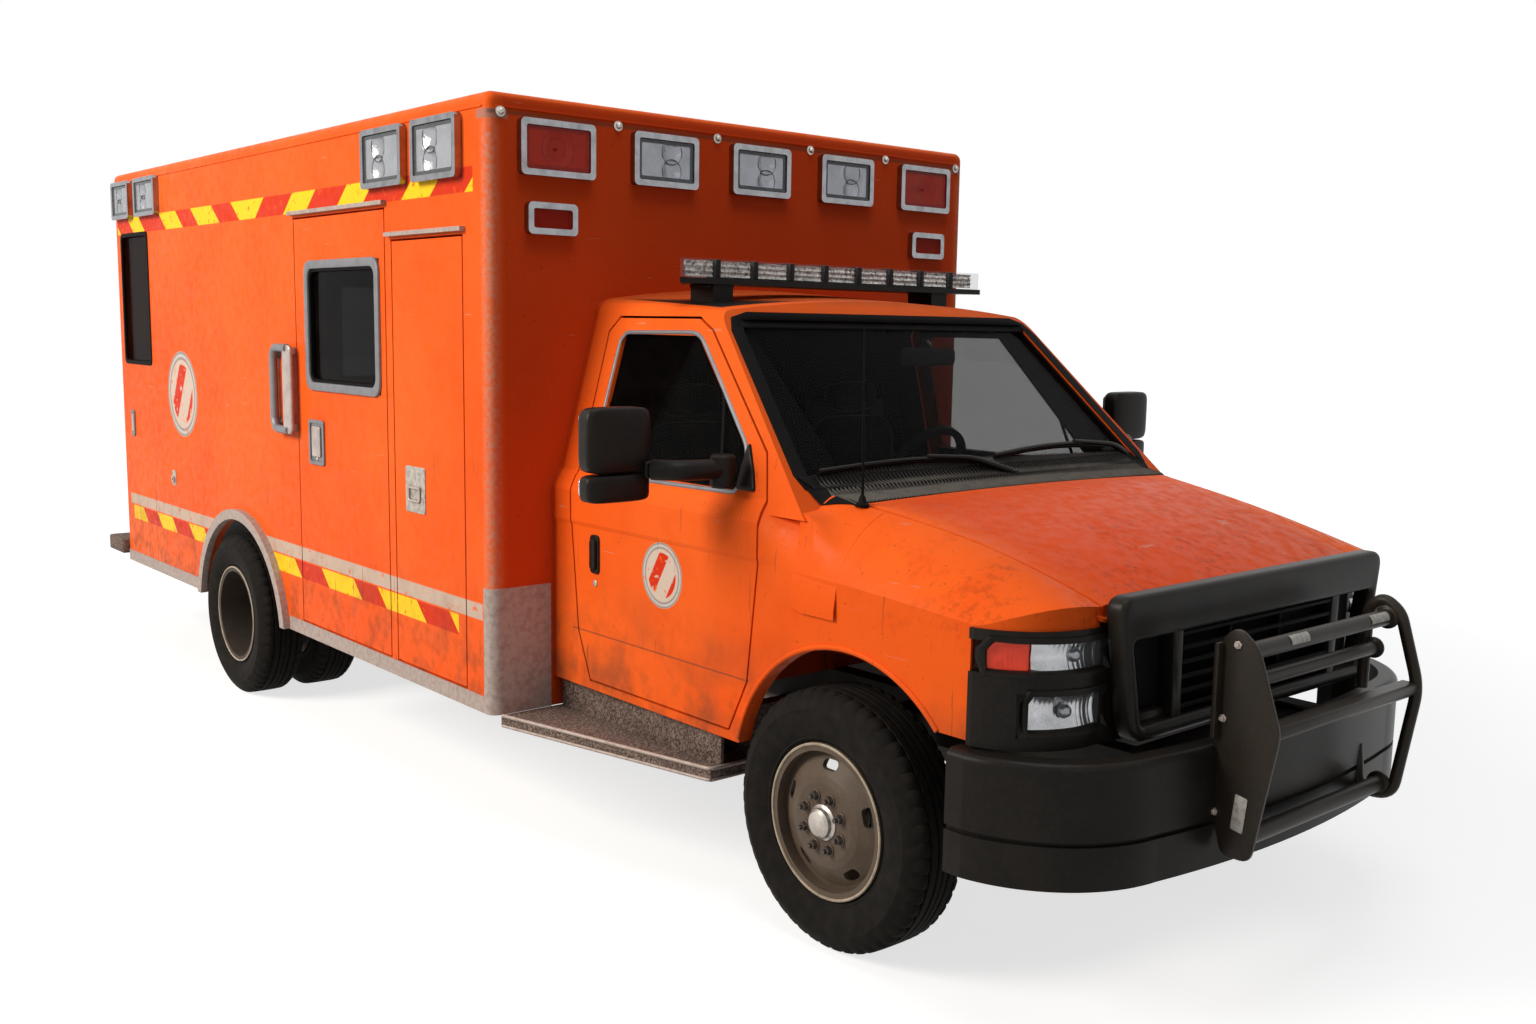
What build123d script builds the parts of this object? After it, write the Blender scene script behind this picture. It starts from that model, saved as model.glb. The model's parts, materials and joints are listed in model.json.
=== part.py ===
"""Box-bodied ambulance on a cutaway van chassis.

Millimetres. The vehicle faces -Y, +X is its left side, +Z is up and the tyres stand on z = 0.
Places along the cab are measured from the front axle, places along the patient module from its
front wall.
"""
import math
import os

from build123d import *

os.makedirs("parts", exist_ok=True)

SIDES = (("right", -1), ("left", 1))

# ---- axles, wheels and tyres
FRONT_AXLE_Y = -2430.0
WHEELBASE = 3985.0
REAR_AXLE_Y = FRONT_AXLE_Y + WHEELBASE
TYRE_R = 398.5
TYRE_WIDTH = 233.0
BEAD_R = 222.0
RIM_WIDTH = 172.0
RIM_FLANGE_R = 238.0
RIM_FLANGE = 8.0
RIM_THICKNESS = 9.0
FRONT_TYRE_X = 845.0
REAR_OUTER_TYRE_X = 1133.5
TWIN_SPACING = 290.0
HUB_PLATE_R = 130.0
HUB_R = 62.0
SPINDLE_R = 34.0
SPINDLE_DEPTH = 80.0
HAND_HOLES = 5
RUNNING_GAP = 0.1
KINGPIN_X = 735.0
KINGPIN_R = 14.0
STEERING_EYE_R = 30.0

# ---- ladder frame
RAIL_X = 430.0
RAIL_WIDTH = 70.0
RAIL_HEIGHT = 150.0
RAIL_TOP = 700.0
RAIL_WALL = 8.0
CROSS_MEMBER_WIDTH = 80.0
CROSS_MEMBER_INSET = 20.0
FRAME_FRONT = -880.0
BRACKET_L = 35.0
TIE_DOWN_R = 16.0

# ---- cab
CAB_HALF_W = 962.0
CAB_WALL = 50.0
CAB_BACK = 1464.7
CAB_BOTTOM = 555.0
CAB_FLOOR_T = 40.0
FIREWALL = 480.0
SEAM = 8.0
HEM = 12.0
HEM_DEPTH = 34.0
ARCH_Y = -95.0
ARCH_Z = 455.0
ARCH_R = 482.0
NOSE_UNDER = 785.0
GLASS_T = 6.0
GLASS_INSET = 16.0
STOP_GAP = 0.3
STOP_T = 12.0
STOP_LAP = 20.0

# ---- patient module
MODULE_FRONT = FRONT_AXLE_Y + 1465.0
MODULE_LENGTH = 4260.0
MODULE_BACK = MODULE_FRONT + MODULE_LENGTH
MODULE_HALF_W = 1220.0
MODULE_BOTTOM = 440.0
MODULE_TOP = 2650.0
MODULE_WALL = 40.0
MODULE_EDGE_R = 35.0
FLOOR_T = 60.0
REAR_ARCH_Y = 2425.0
REAR_ARCH_Z = 353.0
REAR_ARCH_R = 540.0

# ---- doors of the module: places from the module's front wall, heights from the ground
ENTRY_DOOR = (812.0, 1690.0, 510.0, 2285.0)
COMPARTMENT_DOOR = (190.0, 745.0, 510.0, 2160.0)
REAR_DOOR_HALF_W = 640.0
REAR_DOOR_BOTTOM = 800.0
REAR_DOOR_TOP = 2230.0
ENTRY_WINDOW = (860.0, 1570.0, 1560.0, 2100.0)
REAR_WINDOW = (3690.0, 4150.0, 1594.0, 2310.0)
REAR_DOOR_WINDOW = (110.0, 530.0, 1480.0, 2080.0)
WINDOW_CORNER_R = 40.0

# ---- lamps of the module: rows of (across, height, width, tall), colour by table
LAMP_DEPTH = 30.0
BEZEL_BORDER = 22.0
BEZEL_CORNER_R = 18.0
LAMP_RECESS = 6.0
FRONT_LAMPS = {
    "red": ((-948.0, 2470.0, 310.0, 195.0), (948.0, 2470.0, 310.0, 195.0),
            (-973.0, 2225.0, 205.0, 112.0), (973.0, 2225.0, 205.0, 112.0)),
    "clear": ((-472.0, 2470.0, 300.0, 195.0), (0.0, 2470.0, 300.0, 195.0),
              (472.0, 2470.0, 300.0, 195.0)),
}
REAR_LAMPS = {
    "red": ((-948.0, 2470.0, 310.0, 195.0), (948.0, 2470.0, 310.0, 195.0),
            (-1000.0, 960.0, 170.0, 260.0), (1000.0, 960.0, 170.0, 260.0)),
    "clear": ((-472.0, 2470.0, 300.0, 195.0), (472.0, 2470.0, 300.0, 195.0),
              (-1000.0, 720.0, 170.0, 120.0), (1000.0, 720.0, 170.0, 120.0)),
}
SIDE_LAMPS = ((350.0, 2478.0, 345.0, 225.0), (775.0, 2478.0, 345.0, 225.0),
              (3640.0, 2495.0, 345.0, 205.0), (4060.0, 2495.0, 300.0, 205.0))


def from_axle(y):
    """Row place of a distance behind the front axle."""
    return FRONT_AXLE_Y + y


def from_module(y):
    """Row place of a distance behind the module's front wall."""
    return MODULE_FRONT + y


def save(part, name):
    """Label one finished piece and write it."""
    part.label = name
    export_step(part, f"parts/{name}.step")


# ================================================================= cab volumes
# y from the axle, crease half width, crease height, shoulder half width, shoulder height, crown
BODY_SECTIONS = (
    (-860.0, 950.0, 1070.0, 670.0, 1105.0, 1128.0),
    (-420.0, 958.0, 1108.0, 705.0, 1258.0, 1278.0),
    (35.0, 962.0, 1135.0, 765.0, 1340.0, 1352.0),
    (300.0, 962.0, 1140.0, 915.0, 1350.0, 1356.0),
)
SHOULDER_BULGE = 26.0
BODY_UNDER = 300.0
# half width, y from the axle: the cab seen from above
PLAN_SIDE = (967.0, -500.0)
PLAN_CORNER = (905.0, -668.0)
PLAN_LAMP_END = (680.0, -762.0)
PLAN_NOSE = (0.0, -800.0)
# height, half width, y of the corner post, y of the glass on the centre line
GREENHOUSE_SECTIONS = (
    (1290.0, 942.0, 110.0, 60.0),
    (2040.0, 740.0, 865.0, 845.0),
)
# y from the axle, half width, edge height, crown height
ROOF_SECTIONS = (
    (0.0, 1000.0, 1846.0, 1902.0),
    (CAB_BACK, 1000.0, 1905.0, 2002.0),
)
ROOF_EDGE_R = 70.0
PILLAR_R = 30.0


def body_section(row):
    """Closed cross-section of the lower body at one place along it."""
    y, crease_w, crease_z, shoulder_w, shoulder_z, crown_z = row
    mid_w = (crease_w + shoulder_w) / 2 + SHOULDER_BULGE
    mid_z = (crease_z + shoulder_z) / 2 + SHOULDER_BULGE
    with BuildSketch(Plane.XZ.offset(-from_axle(y))) as sketch:
        with BuildLine():
            Polyline((-crease_w, crease_z), (-crease_w, BODY_UNDER), (crease_w, BODY_UNDER),
                     (crease_w, crease_z))
            ThreePointArc((crease_w, crease_z), (mid_w, mid_z), (shoulder_w, shoulder_z))
            ThreePointArc((shoulder_w, shoulder_z), (0, crown_z), (-shoulder_w, shoulder_z))
            ThreePointArc((-shoulder_w, shoulder_z), (-mid_w, mid_z), (-crease_w, crease_z))
        make_face()
    return sketch.sketch


def cab_plan(inset):
    """Outline of the whole cab seen from above."""
    side_x, side_y = PLAN_SIDE
    with BuildSketch(Plane.XY.offset(BODY_UNDER)) as sketch:
        with BuildLine():
            Polyline((side_x, from_axle(side_y)), (side_x, from_axle(CAB_BACK)),
                     (-side_x, from_axle(CAB_BACK)), (-side_x, from_axle(side_y)))
            for hand in (1, -1):
                ThreePointArc((hand * side_x, from_axle(side_y)),
                              (hand * PLAN_CORNER[0], from_axle(PLAN_CORNER[1])),
                              (hand * PLAN_LAMP_END[0], from_axle(PLAN_LAMP_END[1])))
            ThreePointArc((PLAN_LAMP_END[0], from_axle(PLAN_LAMP_END[1])),
                          (PLAN_NOSE[0], from_axle(PLAN_NOSE[1])),
                          (-PLAN_LAMP_END[0], from_axle(PLAN_LAMP_END[1])))
        make_face()
        if inset:
            offset(amount=-inset)
    return sketch.sketch


def greenhouse_plan(row):
    """Outline of the glazed upper cab at one height."""
    z, half_w, corner_y, centre_y = row
    with BuildSketch(Plane.XY.offset(z)) as sketch:
        with BuildLine():
            Polyline((half_w, from_axle(corner_y)), (half_w, from_axle(CAB_BACK)),
                     (-half_w, from_axle(CAB_BACK)), (-half_w, from_axle(corner_y)))
            ThreePointArc((half_w, from_axle(corner_y)), (0, from_axle(centre_y)),
                          (-half_w, from_axle(corner_y)))
        make_face()
    return sketch.sketch


def roof_section(row):
    """Slab under the roof's crown at one place along it."""
    y, half_w, edge_z, crown_z = row
    with BuildSketch(Plane.XZ.offset(-from_axle(y))) as sketch:
        with BuildLine():
            Polyline((-half_w, edge_z), (-half_w, BODY_UNDER), (half_w, BODY_UNDER), (half_w, edge_z))
            ThreePointArc((half_w, edge_z), (0, crown_z), (-half_w, edge_z))
        make_face()
    return sketch.sketch


def inset_row(row, inset, sizes, first_shift=0.0):
    """A table row with its sizes made smaller by the inset, its place moved by first_shift."""
    return (row[0] + first_shift,) + tuple(v - inset if k in sizes else v
                                           for k, v in enumerate(row[1:], start=1))


def body_core(inset):
    """Lower body before its corners are rounded in plan."""
    rows = [inset_row(row, inset, (1, 3, 4, 5)) for row in BODY_SECTIONS]
    with BuildPart() as volume:
        for row in rows:
            add(body_section(row))
        loft()
        with BuildSketch(Plane.XZ.offset(-from_axle(rows[-1][0]))):
            add(body_section(rows[-1]).moved(Location((0, -from_axle(rows[-1][0]), 0))))
        extrude(amount=-(CAB_BACK - rows[-1][0]))
    return volume.part


def lower_body(inset=0.0):
    """Bonnet, wings and door sides as one solid volume, inset from the skin."""
    core = body_core(inset)
    with BuildPart() as volume:
        add(cab_plan(inset))
        extrude(amount=MODULE_TOP - BODY_UNDER)
        add(core, mode=Mode.INTERSECT)
    return volume.part


def roof_volume(inset):
    """Everything under the roof's skin."""
    with BuildPart() as volume:
        for row in ROOF_SECTIONS:
            add(roof_section(inset_row(row, inset, (1, 2, 3))))
        loft(ruled=True)
    return volume.part


def greenhouse(inset=0.0):
    """Glazed upper cab as one solid volume, inset from the skin."""
    low, high = GREENHOUSE_SECTIONS
    slope = (high[3] - low[3]) / (high[0] - low[0])
    glass_shift = inset * math.hypot(1.0, slope)
    roof = roof_volume(inset)
    with BuildPart() as volume:
        for z, half_w, corner_y, centre_y in GREENHOUSE_SECTIONS:
            add(greenhouse_plan((z, half_w - inset, corner_y + glass_shift,
                                 centre_y + glass_shift)))
        loft(ruled=True)
        add(roof, mode=Mode.INTERSECT)
    return volume.part


def cab_volume(inset=0.0, rounded=False):
    """The whole cab as one solid volume, inset from the skin."""
    body = lower_body(inset)
    upper = greenhouse(inset)
    with BuildPart() as volume:
        add(upper)
        if rounded:
            roof_sides = volume.edges().filter_by(lambda e: e.center().Z > ROOF_SIDE_ABOVE
                                                  and abs(e.center().X) > ROOF_SIDE_BEYOND)
            fillet(roof_sides, ROOF_EDGE_R)
        add(body)
    return volume.part


def block(low, high):
    """Plain block between two corners."""
    size = [b - a for a, b in zip(low, high)]
    centre = [(a + b) / 2 for a, b in zip(low, high)]
    with BuildPart() as volume:
        with BuildSketch(Plane.XY.offset(low[2])):
            with Locations((centre[0], centre[1])):
                Rectangle(size[0], size[1])
        extrude(amount=size[2])
    return volume.part


ROOF_SIDE_ABOVE = 1700.0
ROOF_SIDE_BEYOND = 600.0

# ================================================================= cab openings, from the axle
DOOR_OUTLINE = ((298.0, 1330.0), (300.0, 1150.0), (345.0, 760.0), (430.0, 590.0), (1215.0, 590.0),
                (1290.0, 760.0), (1335.0, 1150.0), (1340.0, 1830.0), (1290.0, 1880.0),
                (830.0, 1880.0), (745.0, 1840.0), (345.0, 1470.0))
DOOR_WINDOW = ((440.0, 1345.0), (440.0, 1476.0), (812.0, 1824.0), (1250.0, 1824.0), (1262.0, 1345.0))
DOOR_INNER_X = 640.0
HOOD_REAR = 28.0
HOOD_REAR_HALF_W = 770.0
HOOD_FRONT = -762.0
HOOD_FRONT_HALF_W = 672.0
HOOD_T = 30.0
HOOD_ABOVE = 1000.0
WINDSHIELD = ((-842.0, 1372.0), (842.0, 1372.0), (716.0, 1882.0), (-716.0, 1882.0))
GRILLE_FRONT = -848.0
GRILLE_DEPTH = 68.0
GRILLE_HALF_W_TOP = 687.0
GRILLE_HALF_W_LOW = 628.0
GRILLE_TOP = 1150.0
GRILLE_LOW = 776.0
LAMP_TOP = 1092.0
LAMP_LOW = 776.0
LAMP_BEHIND = -560.0
LAMP_UNDERCUT = 60.0
SUPPORT_HALF_W = 600.0
SUPPORT_T = 10.0
SUPPORT_TOP = 1100.0
INNER_RAIL_W = 40.0
INNER_RAIL_Z = (806.0, 860.0)
BACK_WALL_TOP = 1300.0
# places well outside the cab, where cutting blocks end
CLEAR_OF_CAB = 1100.0
CUT_FRONT = -1000.0
# inner panel under the windshield, above the dash
SHELF_FRONT = 140.0
SHELF_Z = (1262.0, 1300.0)
PANEL_T = 30.0
COWL_T = 14.0
COWL_HALF_W = 800.0
COWL_Y = (HOOD_REAR + SEAM, 300.0)
COWL_Z = (1200.0, 1372.0)


def moved_outline(points, place):
    """Outline with its first value turned into a row place."""
    return [(place(u), v) for u, v in points]


def outline_prism(points, place, reach, low, grow=0.0):
    """Side outline drawn out across the vehicle, grown evenly by a seam."""
    with BuildPart() as volume:
        with BuildSketch(Plane.YZ.offset(low)):
            with BuildLine():
                Polyline(*moved_outline(points, place), close=True)
            make_face()
            if grow:
                offset(amount=grow, kind=Kind.INTERSECTION)
        extrude(amount=reach - low)
    return volume.part


def handed(low_x, high_x, hand):
    """Order an inner and outer distance from the centre line for one side."""
    return (low_x, high_x) if hand > 0 else (-high_x, -low_x)


def side_slab(hand, grow=0.0):
    """Space outside the inner face of one side of the cab, seen from the front."""
    low, high = GREENHOUSE_SECTIONS
    inner = CAB_WALL + grow
    reach = CAB_HALF_W + 40
    with BuildPart() as volume:
        with BuildSketch(Plane.XZ.offset(-from_axle(0))):
            with BuildLine():
                Polyline((hand * (low[1] - inner), BODY_UNDER), (hand * reach, BODY_UNDER),
                         (hand * reach, high[0]), (hand * (high[1] - inner), high[0]),
                         (hand * (low[1] - inner), low[0]), close=True)
            make_face()
        extrude(amount=-CAB_BACK)
    return volume.part


def door_space(hand, grow=0.0):
    """Space of one cab door, grown by the seam around it."""
    low, high = handed(DOOR_INNER_X, CAB_HALF_W + 40, hand)
    outline = outline_prism(DOOR_OUTLINE, from_axle, high, low, grow)
    side = side_slab(hand, grow)
    with BuildPart() as volume:
        add(outline)
        add(side, mode=Mode.INTERSECT)
    return volume.part


def hem_relief(hand):
    """Inner part of the door's rear edge, which stands back behind a hem to swing clear."""
    low, high = handed(DOOR_INNER_X, CAB_HALF_W + 40, hand)
    rear_strip = block((low, from_axle(DOOR_OUTLINE[5][0] - HEM_DEPTH), CAB_BOTTOM),
                       (high, from_axle(CAB_BACK), MODULE_TOP))
    with BuildPart() as volume:
        add(hem_volume)
        add(rear_strip, mode=Mode.INTERSECT)
    return volume.part


def hood_prism(grow=0.0):
    """Hood seen from above, drawn up through the bonnet."""
    front = from_axle(HOOD_FRONT)
    rear = from_axle(HOOD_REAR)
    with BuildPart() as volume:
        with BuildSketch(Plane.XY.offset(HOOD_ABOVE)):
            with BuildLine():
                Polyline((-HOOD_FRONT_HALF_W, front), (HOOD_FRONT_HALF_W, front),
                         (HOOD_REAR_HALF_W, rear), (-HOOD_REAR_HALF_W, rear), close=True)
            make_face()
            if grow:
                offset(amount=grow, kind=Kind.INTERSECTION)
        extrude(amount=MODULE_TOP - HOOD_ABOVE)
    return volume.part


def windshield_prism(grow=0.0):
    """Windshield seen from the front, drawn back through the upper cab."""
    with BuildPart() as volume:
        with BuildSketch(Plane.XZ.offset(-from_axle(HOOD_REAR))):
            with BuildLine():
                Polyline(*WINDSHIELD, close=True)
            make_face()
            if grow:
                offset(amount=grow, kind=Kind.INTERSECTION)
        extrude(amount=-(GREENHOUSE_SECTIONS[1][3] + 60 - HOOD_REAR))
    return volume.part


skin = cab_volume(rounded=True)
lining = cab_volume(CAB_WALL)
hem_volume = cab_volume(HEM)
glass_outer = cab_volume(GLASS_INSET)
glass_inner = cab_volume(GLASS_INSET + GLASS_T)
hood_lining = body_core(HOOD_T)
cowl_lining = body_core(COWL_T)
# flanges that the doors and the hood close against
door_stop_outer = cab_volume(CAB_WALL + STOP_GAP)
door_stop_inner = cab_volume(CAB_WALL + STOP_GAP + STOP_T)
hood_stop_outer = body_core(HOOD_T + STOP_GAP)
hood_stop_inner = body_core(HOOD_T + STOP_GAP + STOP_T)


def door_stop(hand):
    """Flange behind the edge of one cab door, all round its opening."""
    low, high = handed(DOOR_INNER_X, CAB_HALF_W, hand)
    with BuildPart() as volume:
        add(door_stop_outer)
        add(door_stop_inner, mode=Mode.SUBTRACT)
        add(outline_prism(DOOR_OUTLINE, from_axle, high, low, SEAM + STOP_LAP), mode=Mode.INTERSECT)
        add(outline_prism(DOOR_OUTLINE, from_axle, high, low, -STOP_LAP), mode=Mode.SUBTRACT)
        add(block((low, MODULE_FRONT - CAB_BACK, 0), (high, MODULE_FRONT, RAIL_TOP)),
            mode=Mode.SUBTRACT)
    return volume.part


def hood_stop():
    """Channel under the hood's edge, all round its opening."""
    with BuildPart() as volume:
        add(hood_stop_outer)
        add(hood_stop_inner, mode=Mode.SUBTRACT)
        add(hood_prism(SEAM + STOP_LAP), mode=Mode.INTERSECT)
        add(hood_prism(-STOP_LAP), mode=Mode.SUBTRACT)
        add(block((-CLEAR_OF_CAB, from_axle(CUT_FRONT), 0),
                  (CLEAR_OF_CAB, from_axle(GRILLE_FRONT + GRILLE_DEPTH), MODULE_TOP)),
            mode=Mode.SUBTRACT)
    return volume.part


# ----------------------------------------------------------------- cab shell
with BuildPart() as cab_shell:
    add(skin)
    add(lining, mode=Mode.SUBTRACT)
    add(block((-CLEAR_OF_CAB, from_axle(CUT_FRONT), 0), (CLEAR_OF_CAB, MODULE_FRONT, CAB_BOTTOM)),
        mode=Mode.SUBTRACT)
    add(block((-CLEAR_OF_CAB, from_axle(CUT_FRONT), 0),
              (CLEAR_OF_CAB, from_axle(ARCH_Y), NOSE_UNDER)), mode=Mode.SUBTRACT)
    with BuildSketch(Plane.YZ.offset(-CAB_HALF_W - 40)):
        with Locations((from_axle(ARCH_Y), ARCH_Z)):
            Circle(ARCH_R)
    extrude(amount=2 * (CAB_HALF_W + 40), mode=Mode.SUBTRACT)
    inner_w = CAB_HALF_W - CAB_WALL
    add(block((-inner_w, from_axle(FIREWALL), 0), (inner_w, from_axle(CAB_BACK) + 1, RAIL_TOP)),
        mode=Mode.SUBTRACT)
    # back wall, floor, firewall and the shelf over it, welded in
    add(block((-inner_w, from_axle(CAB_BACK - CAB_WALL), RAIL_TOP),
              (inner_w, from_axle(CAB_BACK), BACK_WALL_TOP)))
    add(block((-inner_w, from_axle(FIREWALL), RAIL_TOP),
              (inner_w, from_axle(CAB_BACK), RAIL_TOP + CAB_FLOOR_T)))
    add(block((-inner_w, from_axle(FIREWALL), RAIL_TOP),
              (inner_w, from_axle(FIREWALL + PANEL_T), SHELF_Z[1])))
    add(block((-inner_w, from_axle(SHELF_FRONT), SHELF_Z[0]),
              (inner_w, from_axle(FIREWALL + PANEL_T), SHELF_Z[1])))
    for _, hand in SIDES:
        add(door_space(hand, SEAM), mode=Mode.SUBTRACT)
    add(hood_prism(SEAM), mode=Mode.SUBTRACT)
    add(block((-GRILLE_HALF_W_TOP, from_axle(CUT_FRONT), HOOD_ABOVE),
              (GRILLE_HALF_W_TOP, from_axle(HOOD_FRONT), MODULE_TOP)), mode=Mode.SUBTRACT)
    add(windshield_prism(), mode=Mode.SUBTRACT)
    for _, hand in SIDES:
        add(door_stop(hand))
    add(hood_stop())
    # open front for the grille and the lamps
    add(block((-CLEAR_OF_CAB, from_axle(CUT_FRONT), LAMP_LOW - LAMP_UNDERCUT),
              (CLEAR_OF_CAB, from_axle(LAMP_BEHIND), LAMP_TOP)), mode=Mode.SUBTRACT)
    # radiator support behind the grille, on inner rails that run back to the firewall
    add(block((-SUPPORT_HALF_W, from_axle(GRILLE_FRONT + GRILLE_DEPTH), GRILLE_LOW),
              (SUPPORT_HALF_W, from_axle(GRILLE_FRONT + GRILLE_DEPTH + SUPPORT_T), SUPPORT_TOP)))
    for _, hand in SIDES:
        low, high = handed(SUPPORT_HALF_W - INNER_RAIL_W, SUPPORT_HALF_W, hand)
        add(block((low, from_axle(GRILLE_FRONT + GRILLE_DEPTH), INNER_RAIL_Z[0]),
                  (high, from_axle(FIREWALL + PANEL_T), INNER_RAIL_Z[1])))

cowl_space = block((-COWL_HALF_W, from_axle(COWL_Y[0]), COWL_Z[0]),
                   (COWL_HALF_W, from_axle(COWL_Y[1]), COWL_Z[1]))
with BuildPart() as cowl:
    add(cab_shell.part)
    add(cowl_space, mode=Mode.INTERSECT)
    add(cowl_lining, mode=Mode.SUBTRACT)
save(cowl.part, "cowl")

with BuildPart() as cab_shell_open:
    add(cab_shell.part)
    add(cowl.part, mode=Mode.SUBTRACT)
save(cab_shell_open.part, "cab_shell")

# ----------------------------------------------------------------- cab doors and their glass
for name, hand in SIDES:
    low, high = handed(DOOR_INNER_X, CAB_HALF_W + 40, hand)
    with BuildPart() as cab_door:
        add(skin)
        add(lining, mode=Mode.SUBTRACT)
        add(door_space(hand), mode=Mode.INTERSECT)
        add(hem_relief(hand), mode=Mode.SUBTRACT)
        add(outline_prism(DOOR_WINDOW, from_axle, high, low), mode=Mode.SUBTRACT)
    save(cab_door.part, f"cab_door_{name}")

    with BuildPart() as door_glass:
        add(glass_outer)
        add(glass_inner, mode=Mode.SUBTRACT)
        add(outline_prism(DOOR_WINDOW, from_axle, high, low, -RUNNING_GAP), mode=Mode.INTERSECT)
    save(door_glass.part, f"cab_door_glass_{name}")

with BuildPart() as windshield:
    add(glass_outer)
    add(glass_inner, mode=Mode.SUBTRACT)
    add(windshield_prism(-RUNNING_GAP), mode=Mode.INTERSECT)

with BuildPart() as hood:
    add(skin)
    add(hood_lining, mode=Mode.SUBTRACT)
    add(hood_prism(), mode=Mode.INTERSECT)
save(hood.part, "hood")

# ================================================================= nose trim
GRILLE_TOP_BAR = 92.0
GRILLE_LEG = 110.0
GRILLE_LOW_BAR = 46.0
LOUVRES = 5
LOUVRE_T = 16.0
LOUVRE_DEPTH = 40.0
LAMP_PROUD = 8.0
LAMP_INNER_X = 604.0
# inner x, outer x, low z, high z of each lens seen from the front
HEADLAMP_LENSES = ((640.0, 990.0, 975.0, 1062.0), (640.0, 905.0, 815.0, 925.0))

lamp_skin = cab_volume(-LAMP_PROUD)
lens_skin = cab_volume(LAMP_PROUD)


def lamp_space(hand, low_x, high_x, low_z, high_z):
    """Box in front of the wheel arch that holds one lamp or lens."""
    low, high = handed(low_x, high_x, hand)
    return block((low, from_axle(CUT_FRONT), low_z), (high, from_axle(LAMP_BEHIND), high_z))


with BuildPart() as headlamp_bezels:
    for _, hand in SIDES:
        add(lamp_space(hand, LAMP_INNER_X, CAB_HALF_W + 40, LAMP_LOW, LAMP_TOP - RUNNING_GAP))
    add(lamp_skin, mode=Mode.INTERSECT)
    add(lining, mode=Mode.SUBTRACT)
    for _, hand in SIDES:
        for row in HEADLAMP_LENSES:
            add(lamp_space(hand, *row), mode=Mode.SUBTRACT)
save(headlamp_bezels.part, "headlamp_bezels")

with BuildPart() as headlamp_lenses:
    for _, hand in SIDES:
        for low_x, high_x, low_z, high_z in HEADLAMP_LENSES:
            add(lamp_space(hand, low_x, high_x, low_z, high_z))
    add(lens_skin, mode=Mode.INTERSECT)
    add(lining, mode=Mode.SUBTRACT)
save(headlamp_lenses.part, "headlamp_lenses")

with BuildPart() as grille:
    with BuildSketch(Plane.XZ.offset(-from_axle(GRILLE_FRONT))):
        with BuildLine():
            Polyline((-GRILLE_HALF_W_TOP, GRILLE_TOP), (-GRILLE_HALF_W_LOW, GRILLE_LOW),
                     (GRILLE_HALF_W_LOW, GRILLE_LOW), (GRILLE_HALF_W_TOP, GRILLE_TOP), close=True)
        make_face()
        with BuildLine():
            Polyline((-GRILLE_HALF_W_TOP + GRILLE_LEG, GRILLE_TOP - GRILLE_TOP_BAR),
                     (-GRILLE_HALF_W_LOW + GRILLE_LEG, GRILLE_LOW + GRILLE_LOW_BAR),
                     (GRILLE_HALF_W_LOW - GRILLE_LEG, GRILLE_LOW + GRILLE_LOW_BAR),
                     (GRILLE_HALF_W_TOP - GRILLE_LEG, GRILLE_TOP - GRILLE_TOP_BAR), close=True)
        make_face(mode=Mode.SUBTRACT)
    extrude(amount=-GRILLE_DEPTH)
    louvre_pitch = (GRILLE_TOP - GRILLE_TOP_BAR - GRILLE_LOW - GRILLE_LOW_BAR) / (LOUVRES + 1)
    with BuildSketch(Plane.YZ.offset(-GRILLE_HALF_W_LOW)):
        for count in range(LOUVRES):
            z = GRILLE_LOW + GRILLE_LOW_BAR + (count + 1) * louvre_pitch
            with Locations((from_axle(GRILLE_FRONT) + GRILLE_DEPTH / 2, z)):
                Rectangle(LOUVRE_DEPTH, LOUVRE_T)
    extrude(amount=2 * GRILLE_HALF_W_LOW)
save(grille.part, "grille")

# ----------------------------------------------------------------- front bumper
BUMPER_TOP = 768.0
BUMPER_LOW = 430.0
BUMPER_T = 60.0
BUMPER_HALF_W = 1004.0
BUMPER_END_Y = -530.0
BUMPER_BEND_Y = -590.0
BUMPER_CORNER = (905.0, -790.0)
BUMPER_FRONT_CORNER = (620.0, -932.0)
BUMPER_NOSE = -985.0
BUMPER_EDGE_R = 24.0
GROOVE_Z = (548.0, 562.0)
GROOVE_DEPTH = 12.0


def bumper_plan(inset=0.0):
    """Bumper's outline seen from above, inset from its face; its back end runs further back."""
    back = from_axle(BUMPER_END_Y) + 2 * inset
    corner_x, corner_y = BUMPER_FRONT_CORNER
    with BuildSketch(Plane.XY.offset(BUMPER_LOW)) as sketch:
        with BuildLine():
            Line((-BUMPER_HALF_W, back), (BUMPER_HALF_W, back))
            for hand in (1, -1):
                Line((hand * BUMPER_HALF_W, back), (hand * BUMPER_HALF_W, from_axle(BUMPER_BEND_Y)))
                ThreePointArc((hand * BUMPER_HALF_W, from_axle(BUMPER_BEND_Y)),
                              (hand * BUMPER_CORNER[0], from_axle(BUMPER_CORNER[1])),
                              (hand * corner_x, from_axle(corner_y)))
            ThreePointArc((corner_x, from_axle(corner_y)), (0, from_axle(BUMPER_NOSE)),
                          (-corner_x, from_axle(corner_y)))
        make_face()
        if inset:
            offset(amount=-inset)
    return sketch.sketch


def bumper_slice(inset, low_z, high_z):
    """The bumper's outline as a solid between two heights."""
    with BuildPart() as volume:
        add(bumper_plan(inset).moved(Location((0, 0, low_z - BUMPER_LOW))))
        extrude(amount=high_z - low_z)
    return volume.part


def groove_ring():
    """The strip cut out round the bumper's face by its groove."""
    with BuildPart() as volume:
        add(bumper_slice(0.0, *GROOVE_Z))
        add(bumper_slice(GROOVE_DEPTH, *GROOVE_Z), mode=Mode.SUBTRACT)
    return volume.part


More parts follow.
